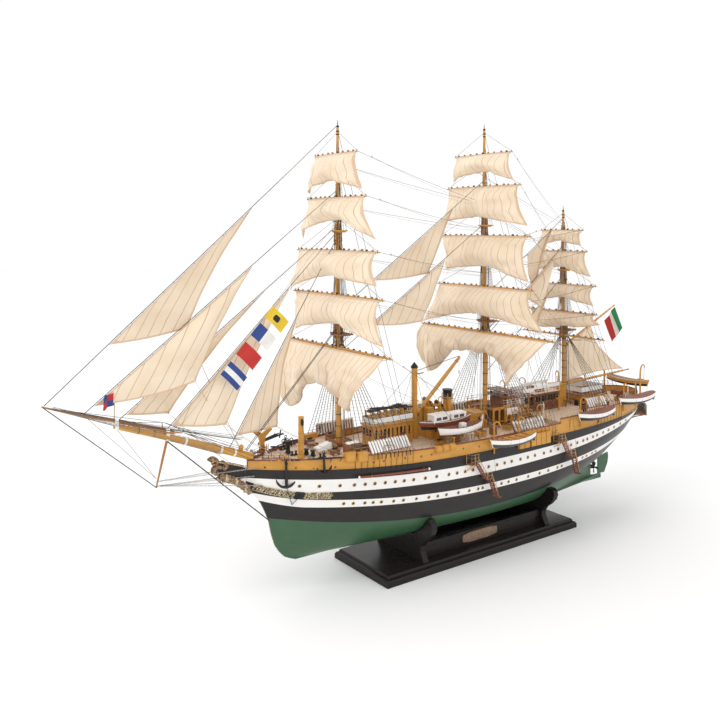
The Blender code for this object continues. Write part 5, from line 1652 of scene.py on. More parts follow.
def make_forecastle():
    """Everything that stands on the fore deck: crutch, capstans, bollards, davit, lockers and rails."""
    shape = Shape()
    z = 0.1775
    fork = [(-0.0030, 0), (0.0030, 0), (0.0052, 0.0080), (0.0145, 0.0160), (0.0110, 0.0190), (0.0, 0.0120),
            (-0.0110, 0.0190), (-0.0145, 0.0160), (-0.0052, 0.0080)]
    shape.plate([(0.3170 + x, z + 0.0110 + rise) for x, rise in fork], -0.0310, -0.0280, "y", OCHRE)
    shape.box((0.3140, -0.0310, z), (0.3200, -0.0280, z + 0.0112), OCHRE)
    shape.box((0.3115, -0.0325, z - 0.0006), (0.3225, -0.0265, z + 0.0010), OCHRE)
    fore_deck_ironwork(shape, z)
    shape.box((0.3190, 0.0195, z - 0.0004), (0.3242, 0.0243, z + 0.0036), OCHRE)
    shape.box((0.3186, 0.0191, z + 0.0036), (0.3246, 0.0247, z + 0.0042), BROWN)
    for x, y in ((0.2500, 0.0400), (0.2470, -0.0400), (0.2830, 0.0290), (0.2560, -0.0060)):
        coil(shape, x, y, z - 0.0002)
    coil(shape, 0.3330, 0.0040, z + 0.0004, 0.0016)
    for sign in SIGNS:
        rail_path = [Vector((x, sign * max(side_breadth(x) - 0.0012, 0.002), rail_height(x) + 0.0008))
                     for x in steps(0.3470, 0.3100, 4)]
        rail_run(shape, rail_path, 0.0085, 3, BLACK, 0.0003)
        for share in steps(0.1, 0.9, 5):
            point = rail_path[0].lerp(rail_path[-1], share)
            shape.tube([point + UP * 0.0012, point + UP * 0.0052], 0.0005, 6, MAHOGANY)
        low, high = Vector((0.3360, sign * 0.0140, z + 0.0038)), Vector((0.3060, sign * 0.0360, z + 0.0036))
        shape.bar(low, high, 0.0011, 0.0009, MAHOGANY)
        for share in steps(0.05, 0.95, 6):
            x, y, _ = low.lerp(high, share)
            shape.post(x, y, z + 0.0010, z + 0.0062, 0.00042, 6, BRASS)
    shape.post(0.2884, 0.0190, z - 0.001, z + 0.002, [0.0048, 0.0042], 12, OCHRE)
    shape.bar((0.2884, 0.0190, z), (0.2884, 0.0190, 0.2270), 0.0052, 0.0046, OCHRE)
    for height in (0.186, 0.196, 0.206, 0.216, 0.2264):
        shape.box((0.2854, 0.0160, height), (0.2914, 0.0220, height + 0.0009), OCHRE)
    shape.ball((0.2884, 0.0220, 0.2205), 0.0030, BLACK, 10, 5, (0.7, 0.7, 1.5))
    shape.rope((0.2884, 0.021, 0.2180), (0.2884, 0.040, 0.1790), 0.0003, CORD)
    fore_deck_stowage(shape, z)
    anchor(shape, (0.2640, -0.0700, z + 0.0060), (0.3040, -0.0500, z + 0.0070), (-0.3, 0.8, 0.5), (0, 0.3, 1))
    make_piece("forecastle_fittings", shape, FITTINGS)


def fore_deck_stowage(shape, z):
    """Skylight, lockers, casks and the fife ring about the foremast."""
    wedge = [(0.2450, z + 0.0030), (0.2640, z + 0.0018), (0.2650, z + 0.0060), (0.2470, z + 0.0110),
             (0.2440, z + 0.0105)]
    shape.plate(wedge, 0.0110, 0.0215, "y", WHITE)
    shape.tube([(0.2442, 0.0162, z + 0.0068), (0.2430, 0.0162, z + 0.0068)], 0.0026, 12, RED)
    for x in (0.2480, 0.2610):
        for y in (0.0125, 0.0200):
            shape.box((x - 0.001, y - 0.001, z), (x + 0.001, y + 0.001, z + 0.0032), OCHRE)
    shape.box((0.2440, -0.0200, z), (0.2560, -0.0100, z + 0.0040), BROWN)
    shape.box((0.2350, -0.0060, z), (0.2420, 0.0030, z + 0.0026), OCHRE)
    shape.box((0.2149, 0.0346, z), (0.2356, 0.0494, z + 0.0106), BROWN)
    for x in steps(0.2160, 0.2345, 7):
        for side in (0.0345, 0.0495):
            shape.box((x - 0.0006, side - 0.0004, z), (x + 0.0006, side + 0.0004, z + 0.0112), CARVED)
        shape.box((x - 0.0006, 0.0346, z + 0.0104), (x + 0.0006, 0.0494, z + 0.0113), CARVED)
    for x in (0.2200, 0.2260, 0.2320):
        shape.ball((x, 0.0420, z + 0.0125), 0.0030, CANVAS, 9, 5, (1.3, 1.6, 0.6))
    for x, y in zip(steps(0.1990, 0.2090, 3), steps(0.018, 0.024, 3)):
        cask(shape, (x, y, z + 0.0020), (x, y + 0.008, z + 0.0020), 0.0019, BROWN)
    shape.post(FORE_X, 0.0, z, z + 0.0026, [0.0072, 0.0064], 18, MAHOGANY)
    for step, angle in enumerate(turns(10)):
        x, y = FORE_X + 0.0072 * math.cos(angle), 0.0072 * math.sin(angle)
        shape.ball((x, y, z + 0.0030), 0.0014, TAN if step % 2 else RED, 7, 4, (0.8, 0.8, 1.6))
        shape.post(x, y, z + 0.001, z + 0.0085, 0.0004, 5, BRASS)


def make_anchors():
    """Hanging and catted anchors at both bows, with their chains to the hawse."""
    shape = Shape()
    x, catted_x = 0.3155, 0.2725
    for sign in SIGNS:
        y, inner, outer = (sign * (side_breadth(x) + out) for out in (0.0048, 0.0038, 0.0070))
        crown = (x - 0.0015, inner, 0.1460)
        anchor(shape, (x, y, 0.1800), crown, (1, 0, 0.05), (0.2, sign, 0.1), 1.15)
        shape.bar((x, y - sign * 0.009, 0.1835), (x, outer, 0.1835), 0.0020, 0.0018, OCHRE)
        shape.rope((x, y, 0.1800), (x, y, 0.1832), 0.0005, BLACK)
        low = Vector((0.3020, sign * (half_breadth(0.3020, 0.1200) + 0.0022), 0.1200))
        chain(shape, crown, low, BLACK, 0.0030)
        chain(shape, low, on_side(HAWSE_X, hawse_height(), sign, 0.0020), BLACK, 0.0030)
        y = sign * (side_breadth(catted_x) + 0.0034)
        crown = (catted_x - 0.001, y + sign * 0.0010, 0.1600)
        anchor(shape, (catted_x, y, 0.1850), crown, (1, 0, 0), (0, sign, 0.1), 0.95)
        shape.tube([at_rail(px, sign, 0.0022, 0.0016) for px in steps(0.2500, 0.2900, 5)],
                   [0.0006, 0.0009, 0.0010, 0.0010, 0.0009, 0.0006], 7, BLACK)
        for px in (0.2500, 0.2620):
            palm = at_rail(px, sign, 0.0022, 0.0016)
            tip = palm + Vector((0.004, sign * 0.0015, -0.0050))
            shape.tube([palm, tip], [0.0012, 0.0004], 6, BLACK, flat=0.5)
        for low_x, high_x in ((0.2980, 0.3080), (0.2320, 0.2440)):
            roller = [at_rail(px, sign, 0.0004, 0.0006) for px in steps(low_x, high_x, 4)]
            shape.tube(roller, 0.0012, 6, BLACK)
    make_piece("bow_anchors", shape, FITTINGS)


def hammock_slabs(shape, x_low, x_high, count, y, z, height, sign, lean=0.30):
    """Row of leaning white rafts on a bracketed rack along the rail, with a dark bar of painted shade behind each gap
    between them.
    """
    for index in range(count):
        x = mix(x_low, x_high, (index + 0.5) / count)
        foot = Vector((x, sign * y, z))
        head = Vector((x + height * lean, sign * (y - 0.0030), z + height))
        tip = head + (head - foot) * 0.10
        shape.bar(foot, head, 0.0026, 0.0030, CANVAS)
        shape.bar(head, tip, 0.0014, 0.0022, CANVAS)
        beside = Vector(((x_high - x_low) / count / 2, -sign * 0.0010, 0))
        # dark bar in the gap beside each raft, brown or black: painted shade standing for the shadowed gap
        shape.bar(foot + beside, foot.lerp(head, 0.92) + beside, 0.0010, 0.0020, BROWN if index % 3 else INK)
        bracket = foot + Vector((0, sign * 0.0008, -0.0100))
        shape.bar(bracket, foot + UP * 0.0010, 0.0006, 0.0010, OCHRE)
    shape.bar((x_low, sign * y, z - 0.0004), (x_high, sign * y, z - 0.0004), 0.0022, 0.0008, MAHOGANY)


def make_slabs():
    """Stowage along the rails: the white rafts, boxes, stanchions, casks and cushions."""
    shape = Shape()
    for sign in SIGNS:
        for low, high, count, z, height in SLAB_ROWS:
            hammock_slabs(shape, low, high, count, side_breadth((low + high) / 2) - 0.0040, z, height, sign)
        for x, z in ((0.2230, 0.1705), (0.2385, 0.1715)):
            y = sign * side_breadth(x)
            shape.box((x - 0.0066, y - 0.0035, z), (x + 0.0066, y + 0.0035, z + 0.0105), OCHRE)
            shape.box((x - 0.0070, y - 0.0038, z + 0.0098), (x + 0.0070, y + 0.0038, z + 0.0110), OCHRE)
        for x in steps(0.1560, 0.2082, 9):
            y = sign * (side_breadth(x) + 0.0008)
            shape.bar((x, y, 0.1700), (x, y, 0.1770), 0.0005, 0.0007, BLACK)
        for x in (0.1125, 0.1010, 0.0895):
            y = sign * (side_breadth(x) + 0.0006)
            cask(shape, (x - 0.0052, y, 0.1710), (x + 0.0052, y, 0.1710), 0.0046, OCHRE, OCHRE)
        for x in (-0.0400, -0.0505, -0.0640, -0.0745, -0.0845, -0.0950):
            low, high = x - 0.0046, x + 0.0046
            y = sign * (side_breadth(x) + 0.0032)
            shape.box((low, y - sign * 0.0030, 0.1490), (high, y + sign * 0.0016, 0.1640), OCHRE)
            shape.tube([(low, y, 0.1645), (high, y, 0.1645)], 0.0017, 8, OCHRE)
    make_piece("rail_stowage", shape, FITTINGS)


def make_fore_house():
    """Fore deckhouse: ochre boarded walls, canvas rail on its roof and a rack of spare spars above."""
    shape = Shape()
    low, high, half = 0.1030, 0.1720, 0.0120
    shape.box((low, -half, MAIN_DECK_Z + 0.0009), (high, half, 0.1962), OCHRE)
    shape.box((low - 0.0015, -half - 0.0018, 0.1955), (high + 0.0022, half + 0.0018, 0.1970), OCHRE)
    shape.box((low - 0.0010, -half - 0.0014, 0.1970), (high + 0.0016, half + 0.0014, 0.1976), PLANKS)
    for sign in SIGNS:
        side = sign * half
        slats(shape, low + 0.002, high - 0.002, side, 0.1680, 0.1955, 12, OCHRE, sign)
        for x in steps(low + 0.0065, high - 0.0065, 8):
            shape.box((x - 0.0016, side, 0.1785), (x + 0.0016, side + sign * 0.0004, 0.1905), GLASS_AND_PAINTED_SHADE)
        for x in (low + 0.019, high - 0.016):
            shape.box((x - 0.0042, side, 0.1680), (x + 0.0042, side + sign * 0.0006, 0.1820), MAHOGANY)
            shape.ball((x + 0.0030, side + sign * 0.0008, 0.1750), 0.0005, BRASS, 6, 3)
        face = side + sign * 0.0010
        shape.tube([(low, face, 0.1945), (high, face, 0.1945)], 0.0005, 5, OCHRE)
    end_windows(shape, high, 0.0105, 0.1820, 0.1915, OCHRE, 1)
    end_windows(shape, low, 0.0105, 0.1820, 0.1915, OCHRE, -1)
    rail_run(shape, roof_corners(low, high, half, 0.1972), 0.0092, 3, BLACK, 0.0003, 0.75)
    for x in steps(low + 0.004, high - 0.004, 5):
        shape.box((x - 0.0008, -half + 0.001, 0.2060), (x + 0.0008, half - 0.001, 0.2078), OCHRE)
        for y in (-half + 0.002, half - 0.002):
            shape.bar((x, y, 0.1975), (x, y, 0.2140), 0.0013, 0.0013, OCHRE)
        shape.box((x - 0.0009, -half + 0.001, 0.2120), (x + 0.0009, half - 0.001, 0.2140), OCHRE)
    for index, y in enumerate(steps(-0.0110, 0.0110, 5)):
        aft, fore = (x + 0.004 * math.sin(index * 2.3) for x in (low + 0.003, high - 0.003))
        shape.tube([(aft, y, 0.2146), (fore, -y * 0.6, 0.2150)], [0.0011, 0.0008], 7, BLACK)
    for y in steps(-0.0090, 0.0090, 3):
        shape.tube([(low + 0.008, y, 0.2164), (high - 0.010, -y, 0.2160)], 0.0009, 7, BLACK)
    for x in steps(low + 0.008, high - 0.008, 6):
        finish = GREY if x < 0.13 else BLACK
        shape.bar((x, -0.0130, 0.2156), (x + 0.004, 0.0130, 0.2156), 0.0006, 0.0005, finish)
    shape.post(low + 0.010, 0.004, 0.1975, 0.2050, 0.0024, 12, OCHRE)
    ventilator(shape, high - 0.006, -0.006, 0.1975, 0.0090, 0.0018)
    make_piece("fore_house", shape, FITTINGS, replaces=["fore_deckhouse"])


def make_kingpost():
    """Kingpost with its cap, bands and ladder."""
    shape = Shape()
    x = KINGPOST_X
    shape.post(x, 0, MAIN_DECK_Z + GAP, 0.2000, [0.0056, 0.0046], 18, OCHRE)
    shape.post(x, 0, 0.1990, 0.2660, 0.0043, 18, OCHRE)
    cap = [(x, 0, z) for z in (0.2655, 0.2675, 0.2680, 0.2735)]
    shape.tube(cap, [0.0052, 0.0052, 0.0048, 0.0006], 18, BLACK)
    for z in (0.2050, 0.2300, 0.2590):
        shape.ring((x, 0, z), 0.0044, 0.0005, UP, OCHRE, 18, 5)
    for shift in (-0.0016, 0.0016):
        shape.post(x + 0.0064, shift, 0.1720, 0.2640, 0.00028, 4, WHITE)
    for z in steps(0.174, 0.262, 22):
        shape.tube([(x + 0.0064, -0.0016, z), (x + 0.0064, 0.0016, z)], 0.00022, 4, WHITE)
    for z in (0.180, 0.220, 0.258):
        shape.tube([(x + 0.0040, 0, z), (x + 0.0064, 0, z)], 0.0003, 4, BLACK)
    shape.bar((x, 0, 0.2560), (x - 0.0150, 0.0020, 0.2575), 0.0018, 0.0014, BLOCK)
    make_piece("kingpost_finish", shape, FITTINGS, replaces=["kingpost"])
    ropes = Shape()
    for sign in SIGNS:
        for low in (0.120, 0.060):
            ropes.rope((x, sign * 0.002, 0.2640), at_rail(low, sign, -0.002, 0), 0.00024, CORD)
    make_piece("kingpost_stays", ropes, FITTINGS)


def make_derrick():
    """Derrick boom with its bands and end tackle; it slews about the kingpost."""
    shape = Shape()
    line = ((0.0845, 0.2015), (0.0600, 0.2235), (0.0300, 0.2500), (0.0040, 0.2730))
    path = curve_through([(x, 0, z) for x, z in line], 12)
    radii = [mix(0.0018, 0.0029, math.sin(math.pi * share)) for share in steps(0.05, 0.95, 12)]
    shape.tube(path, radii, 12, OCHRE)
    for index in (1, 6, 11):
        shape.ring(path[index], 0.0027, 0.0003, path[index + 1] - path[index], BLACK, 12, 5)
    end = path[-1]
    hook = end + Vector((0.0010, 0, 0))
    shape.ball(hook - UP * 0.0030, 0.0016, BLOCK, 9, 5, (0.7, 0.6, 1.2))
    shape.rope(hook - UP * 0.0040, hook - UP * 0.0200, 0.00028, TAN)
    shape.ball(hook - UP * 0.0210, 0.0013, BLOCK, 9, 5, (0.7, 0.6, 1.2))
    shape.ring(hook - UP * 0.0236, 0.0010, 0.0003, ACROSS, BLACK, 10, 4)
    for y in (0.0012, -0.0012) * 3:
        shape.rope(path[2] + Vector((0, y, -0.0015)), path[9] + Vector((0, y, -0.0016)), 0.00018, TAN)
    make_piece("derrick_finish", shape, FITTINGS, "derrick", replaces=["derrick_boom"])
    span = Shape()
    for sign in SIGNS:
        low = end + Vector((0.0005, sign * 0.0009, 0.0016))
        span.rope((0.0865, sign * 0.0012, 0.2610), low, 0.00024, CORD)
    lift = make_piece("derrick_span", span, FITTINGS, "ship")
    lift.parent = None
    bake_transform(lift)


def make_funnel():
    """Engine casing with its cowls, and the funnel with its black top."""
    shape = Shape()
    shape.box((0.0100, -0.0220, MAIN_DECK_Z + 0.0009), (0.0780, 0.0220, 0.1850), OCHRE)
    shape.box((0.0085, -0.0235, 0.1848), (0.0795, 0.0235, 0.1862), GREY)
    for sign in SIGNS:
        slats(shape, 0.0130, 0.0750, sign * 0.0220, 0.1680, 0.1848, 9, OCHRE, sign)
        windows(shape, 0.0160, 0.0720, sign * 0.0220, 0.1760, 0.1815, 7, OCHRE, sign)
        ventilator(shape, 0.0540, sign * 0.0130, 0.1860, 0.0300, 0.0032)
        ventilator(shape, 0.0450, sign * 0.0140, 0.1860, 0.0240, 0.0026)
        shape.box((0.0620, sign * 0.0060 - 0.0040, 0.1860), (0.0740, sign * 0.0060 + 0.0040, 0.2080), OCHRE)
    trunk = ((0.1860, 0.0070), (0.1885, 0.0066), (0.2160, 0.0064), (0.2180, 0.0064))
    cap = ((0.2178, 0.0067), (0.2260, 0.0067), (0.2272, 0.0076), (0.2285, 0.0074), (0.2286, 0.0058),
           (0.2250, 0.0055))
    for profile, finish in ((trunk, OCHRE), (cap, INK)):
        shape.tube([(FUNNEL_X, 0, z) for z, _ in profile], [radius for _, radius in profile], 24, finish)
    for z in (0.1960, 0.2060, 0.2155):
        shape.ring((FUNNEL_X, 0, z), 0.0066, 0.00045, UP, BLACK if z > 0.21 else OCHRE, 24, 5)
    low, high = Vector((FUNNEL_X, 0, 0.1862)), Vector((FUNNEL_X, 0, 0.2230))
    for angle in (0.9, 2.2, 4.0, 5.4):
        out = Vector((math.cos(angle), math.sin(angle), 0))
        shape.tube([low + out * 0.0084, high + out * 0.0078], 0.0006, 7, OCHRE)
    shape.post(0.0400, 0, 0.1860, 0.2120, 0.0010, 8, OCHRE)
    make_piece("funnel_and_casing", shape, FITTINGS, replaces=["funnel_casing"])


def arch_frames(shape, places, y, low, high):
    """Ochre posts under one beam, with a curved brace at both sides of each opening."""
    beam = high - 0.0012
    shape.bar((places[0] + 0.0015, y, beam), (places[-1] - 0.0015, y, beam), 0.0016, 0.0024, OCHRE)
    for x in places:
        shape.bar((x, y, low), (x, y, beam), 0.0024, 0.0016, OCHRE)
    brace = ((0, 0.0075), (0.15, 0.0040), (0.5, 0.0026), (0.85, 0.0040), (1, 0.0075))
    middle = mix(low, high, 0.30)
    for start, end in zip(places, places[1:]):
        arch = [(mix(start, end, share), y, high - drop) for share, drop in brace]
        shape.tube(curve_through(arch, 10), 0.0009, 6, OCHRE)
        shape.bar((start, y, middle), (end, y, middle), 0.0010, 0.0016, OCHRE)


def make_bridge():
    """Bridge structure about the mainmast: ochre arches below, a brown deck with open rails above."""
    shape = Shape()
    base = MAIN_DECK_Z + 0.0009
    shape.box((-0.0880, -0.0220, base), (-0.0640, 0.0220, 0.1900), BROWN)
    shape.box((-0.0380, -0.0160, base), (-0.0160, 0.0160, 0.1900), OCHRE)
    shape.box((-0.1040, -0.0280, 0.1930), (-0.0580, 0.0280, 0.1942), BROWN)
    for sign in SIGNS:
        y = sign * 0.0275
        shape.box((-0.0580, sign * 0.0100, 0.1930), (-0.0370, sign * 0.0280, 0.1942), BROWN)
        windows(shape, -0.0370, -0.0170, sign * 0.0160, 0.1790, 0.1860, 3, OCHRE, sign)
        slats(shape, -0.0370, -0.0170, sign * 0.0160, base, 0.1900, 4, BROWN, sign)
        slats(shape, -0.0870, -0.0650, sign * 0.0220, base, 0.1900, 5, CARVED, sign)
        arch_frames(shape, (-0.0370, -0.0490, -0.0610, -0.0730), sign * 0.0290, base, 0.1970)
        arch_frames(shape, (-0.0920, -0.1016, -0.1110), sign * 0.0270, POOP_DECK_Z - 0.006, 0.1930)
        rail_run(shape, [(-0.1040, y, 0.1942), (-0.0580, y, 0.1942)], 0.0110, 3, WHITE, 0.0003)
        shape.box((-0.0880, sign * 0.0294, 0.1835), (-0.0640, sign * 0.0302, 0.1935), CANVAS)
        rail_run(shape, [(-0.0580, y, 0.1942), (-0.0370, y, 0.1942)], 0.0110, 3, MAHOGANY, 0.0004)
        for x, z in zip(steps(-0.1000, -0.1240, 6), steps(0.1930, 0.1720, 6)):
            shape.box((x - 0.0018, sign * 0.0200, z), (x + 0.0018, sign * 0.0280, z + 0.0006), BROWN)
        for y in (0.0200, 0.0280):
            shape.bar((-0.0970, sign * y, 0.1946), (-0.1250, sign * y, 0.1700), 0.0006, 0.0016, BROWN)
        ventilator(shape, -0.1010, sign * 0.0130, base, 0.0330, 0.0022)
        ventilator(shape, -0.0800, sign * 0.0150, 0.1946, 0.0150, 0.0022)
    for z, half in ((0.2080, 0.0220), (0.2160, 0.0160)):
        shape.box((-0.0900, -half, z), (-0.0640, half, z + 0.0010), BROWN)
        for x in (-0.0890, -0.0650):
            for y in (-half + 0.001, half - 0.001):
                shape.bar((x, y, 0.1946), (x, y, z), 0.0010, 0.0010, BROWN)
        edge = half - 0.0005
        corners = [(x, y, z + 0.001) for x, y in ((-0.0900, edge), (-0.0640, edge), (-0.0640, -edge))]
        rail_run(shape, corners, 0.0070, 2, BLACK, 0.0003)
    shape.box((-0.0840, -0.0120, 0.1946), (-0.0700, 0.0120, 0.2050), BROWN)
    shape.post(-0.0280, 0.012, 0.1946, 0.2060, [0.0018, 0.0012], 10, BRASS)
    shape.ball((-0.0280, 0.012, 0.2075), 0.0020, BRASS, 10, 6)
    make_piece("bridge_structure", shape, FITTINGS)


def frame_panel(shape, x_low, x_high, y, z_low, z_high, side):
    """One framed wall panel: a window over a raised field."""
    face, field = y + side * 0.0005, y + side * 0.0004
    middle = mix(z_low, z_high, 0.52)
    rim = [(x, face, z) for x, z in ((x_low, z_low), (x_high, z_low), (x_high, z_high), (x_low, z_high))]
    shape.tube(closed(rim), 0.0006, 5, CARVED)
    shape.tube([(x_low, face, middle), (x_high, face, middle)], 0.0005, 5, CARVED)
    shape.box((x_low + 0.0012, y, middle + 0.0012), (x_high - 0.0012, field, z_high - 0.0012), GLASS_AND_PAINTED_SHADE)
    shape.box((x_low + 0.0018, y, z_low + 0.0016), (x_high - 0.0018, field, middle - 0.0014), MAHOGANY)
    shape.post((x_low + x_high) / 2, face, middle, z_high, 0.0004, 5, CARVED)


def make_wheelhouse():
    """Panelled wheelhouse with its raised platform, canvas rails on the roof and a locker behind."""
    shape = Shape()
    low, high, half = -0.2010, -0.1430, 0.0120
    shape.box((low, -half, POOP_DECK_Z + 0.0009), (high, half, 0.2012), BROWN)
    shape.box((low - 0.0025, -half - 0.0025, 0.2008), (high + 0.0025, half + 0.0025, 0.2024), BROWN)
    shape.box((low - 0.0015, -half - 0.0015, 0.2024), (high + 0.0015, half + 0.0015, 0.2032), PLANKS)
    for sign in SIGNS:
        for start in steps(low + 0.0020, low + 0.0434, 3):
            frame_panel(shape, start, start + 0.0124, sign * half, 0.1765, 0.1990, sign)
        shape.box((low, sign * half, 0.1745), (high, sign * (half + 0.0005), 0.1762), CARVED)
    end_windows(shape, high, 0.0105, 0.1850, 0.1975, CARVED, 1)
    end_windows(shape, low, 0.0105, 0.1850, 0.1975, CARVED, -1)
    shape.box((-0.1420, -0.0135, 0.1990), (-0.1160, 0.0135, 0.2002), BROWN)
    for x in (-0.1180, -0.1300):
        for y in (-0.0120, 0.0120):
            shape.bar((x, y, POOP_DECK_Z - 0.007), (x, y, 0.1990), 0.0013, 0.0013, OCHRE)
    for start, end, z in ((low, -0.1425, 0.2030), (-0.1415, -0.1165, 0.2000)):
        for y in (0.0128, -0.0128):
            rail_run(shape, [(start, y, z), (end, y, z)], 0.0125, 3, WHITE, 0.0003, 0.45)
    rail_run(shape, [(-0.1165, 0.0128, 0.2000), (-0.1165, -0.0128, 0.2000)], 0.0125, 3, WHITE, 0.0003, 0.45)
    shape.box((-0.1730, -0.0060, 0.2030), (-0.1560, 0.0060, 0.2130), BROWN)
    shape.box((-0.1735, -0.0066, 0.2122), (-0.1555, 0.0066, 0.2136), WHITE)
    shape.post(-0.1300, 0.004, 0.2000, 0.2100, [0.0024, 0.0018], 12, GREY)
    shape.ball((-0.1300, 0.004, 0.2114), 0.0026, WHITE, 12, 6)
    for sign in SIGNS:
        ventilator(shape, -0.1880, sign * 0.0230, POOP_DECK_Z + 0.0009, 0.0220, 0.0022)
        ventilator(shape, -0.1520, sign * 0.0230, POOP_DECK_Z + 0.0009, 0.0160, 0.0018, WHITE)
    shape.box((-0.2215, -0.0090, POOP_DECK_Z + 0.0009), (-0.2050, 0.0090, 0.2096), OCHRE)
    shape.box((-0.2222, -0.0098, 0.2092), (-0.2043, 0.0098, 0.2106), OCHRE)
    for sign in SIGNS:
        slats(shape, -0.2205, -0.2060, sign * 0.0090, 0.1760, 0.2090, 3, OCHRE, sign)
    shape.post(-0.1990, 0.0100, 0.2030, 0.2250, 0.0006, 8, BLACK)
    shape.post(-0.1990, 0.0100, 0.2215, 0.2250, 0.0016, 12, WHITE)
    make_piece("wheelhouse_finish", shape, FITTINGS, replaces=["wheelhouse"])


def make_after_house():
    """After house with its rails, skylight, wheel and helm box."""
    shape = Shape()
    low, high, half = -0.3000, -0.2460, 0.0200
    shape.box((low, -half, POOP_DECK_Z + 0.0009), (high, half, 0.1884), OCHRE)
    shape.box((low - 0.0015, -half - 0.0015, 0.1884), (high + 0.0015, half + 0.0015, 0.1895), BROWN)
    for sign in SIGNS:
        slats(shape, low + 0.001, high - 0.001, sign * half, 0.1745, 0.1884, 8, BROWN, sign)
        windows(shape, low + 0.002, high - 0.002, sign * half, 0.1790, 0.1845, 7, OCHRE, sign)
    rail_run(shape, roof_corners(low, high, half, 0.1893), 0.0130, 3, BLACK, 0.0003, 0.62)
    shape.box((-0.2860, -0.0080, 0.1895), (-0.2600, 0.0080, 0.1950), MAHOGANY)
    for x in steps(-0.2840, -0.2620, 5):
        shape.bar((x, -0.0078, 0.1956), (x, 0.0078, 0.1956), 0.0005, 0.0005, BRASS)
    for x in (-0.3160, -0.3260):
        hub = Vector((x, 0, 0.1850))
        shape.ring(hub, 0.0075, 0.0006, (1, 0, 0), MAHOGANY, 24, 6)
        shape.ring(hub, 0.0016, 0.0006, (1, 0, 0), BRASS, 12, 5)
        for angle in turns(8):
            out = Vector((0, math.cos(angle), math.sin(angle)))
            shape.tube([hub + out * 0.0010, hub + out * 0.0095], [0.0005, 0.0004], 6, MAHOGANY)
    shape.tube([(-0.3120, 0, 0.1850), (-0.3300, 0, 0.1850)], 0.0011, 8, BRASS)
    for x in (-0.3130, -0.3290):
        shape.box((x - 0.0012, -0.0020, POOP_DECK_Z), (x + 0.0012, 0.0020, 0.1868), BROWN)
    for sign in SIGNS:
        capstan(shape, -0.2380, sign * 0.0170, POOP_DECK_Z + 0.0004, 0.0080)
        bollards(shape, -0.3480, sign * 0.0260, POOP_DECK_Z + 0.0002)
        bollards(shape, -0.2100, sign * 0.0560, POOP_DECK_Z + 0.0002)
        ventilator(shape, -0.3080, sign * 0.0250, POOP_DECK_Z + 0.0004, 0.0130, 0.0017, WHITE)
        path = [(x, sign * max(side_breadth(x) - 0.0010, 0.0), rail_height(x) + 0.0008)
                for x in steps(-0.2560, -0.3860, 10)]
        rail_run(shape, path, 0.0080, 3, BLACK, 0.00028)
    shape.box((-0.3720, -0.0090, POOP_DECK_Z + 0.0002), (-0.3600, 0.0090, 0.1810), MAHOGANY)
    make_piece("after_house_finish", shape, FITTINGS, replaces=["after_house"])


def roof_corners(low, high, half, z):
    """Path once round the edge of a deckhouse roof."""
    return closed([(low, half, z), (high, half, z), (high, -half, z), (low, -half, z)])


# Lockers at both sides of the decks: place, length, width, height and finish
LOCKERS = ((0.0850, 0.0480, 0.0120, 0.0080, 0.0060, OCHRE), (0.0560, 0.0500, 0.0090, 0.0070, 0.0090, BROWN),
           (0.0060, 0.0460, 0.0130, 0.0090, 0.0070, OCHRE), (-0.0150, 0.0500, 0.0080, 0.0080, 0.0100, BROWN),
           (-0.0520, 0.0420, 0.0110, 0.0080, 0.0080, OCHRE), (-0.0860, 0.0460, 0.0100, 0.0080, 0.0110, OCHRE),
           (-0.1180, 0.0430, 0.0140, 0.0080, 0.0070, BROWN), (-0.2250, 0.0420, 0.0130, 0.0070, 0.0060, BROWN),
           (-0.2750, 0.0440, 0.0130, 0.0070, 0.0060, MAHOGANY), (-0.3250, 0.0330, 0.0120, 0.0070, 0.0060, OCHRE),
           (0.2450, 0.0300, 0.0110, 0.0080, 0.0060, BROWN), (0.2050, 0.0400, 0.0120, 0.0080, 0.0060, MAHOGANY))
# Hoops over the after deck: place and height
HOOPS = ((-0.0620, 0.0360, 0.0200), (-0.0780, 0.0340, 0.0240), (-0.0960, 0.0330, 0.0220), (-0.1120, 0.0320, 0.0200),
         (-0.1300, 0.0340, 0.0180))


def fife_rail(shape, x, z):
    """Posts under a pin rail across the deck, with its pins and the coils that hang from them."""
    for y in (-0.0130, -0.0045, 0.0045, 0.0130):
        shape.bar((x, y, z), (x, y, z + 0.0090), 0.0016, 0.0016, BROWN)
    shape.box((x - 0.0012, -0.0145, z + 0.0088), (x + 0.0012, 0.0145, z + 0.0100), BROWN)
    for y in steps(-0.0125, 0.0125, 8):
        shape.post(x, y, z + 0.0070, z + 0.0118, [0.0003, 0.0006], 6, BRASS)
        shape.ball((x + 0.0012, y, z + 0.0060), 0.0013, TAN, 7, 4, (0.7, 0.8, 1.7))


def locker(shape, x, y, z, long, wide, tall, finish):
    """Chest with an overhanging lid and a roll on it."""
    long, wide, top = long / 2, wide / 2, z + tall
    lid_x, lid_y = long + 0.0006, wide + 0.0006
    shape.box((x - long, y - wide, z), (x + long, y + wide, top), finish)
    shape.box((x - lid_x, y - lid_y, top), (x + lid_x, y + lid_y, top + 0.0009), BROWN)
    shape.tube([(x - long * 0.6, y, top + 0.0020), (x + long * 0.6, y, top + 0.0020)], 0.0011, 9, BLACK)


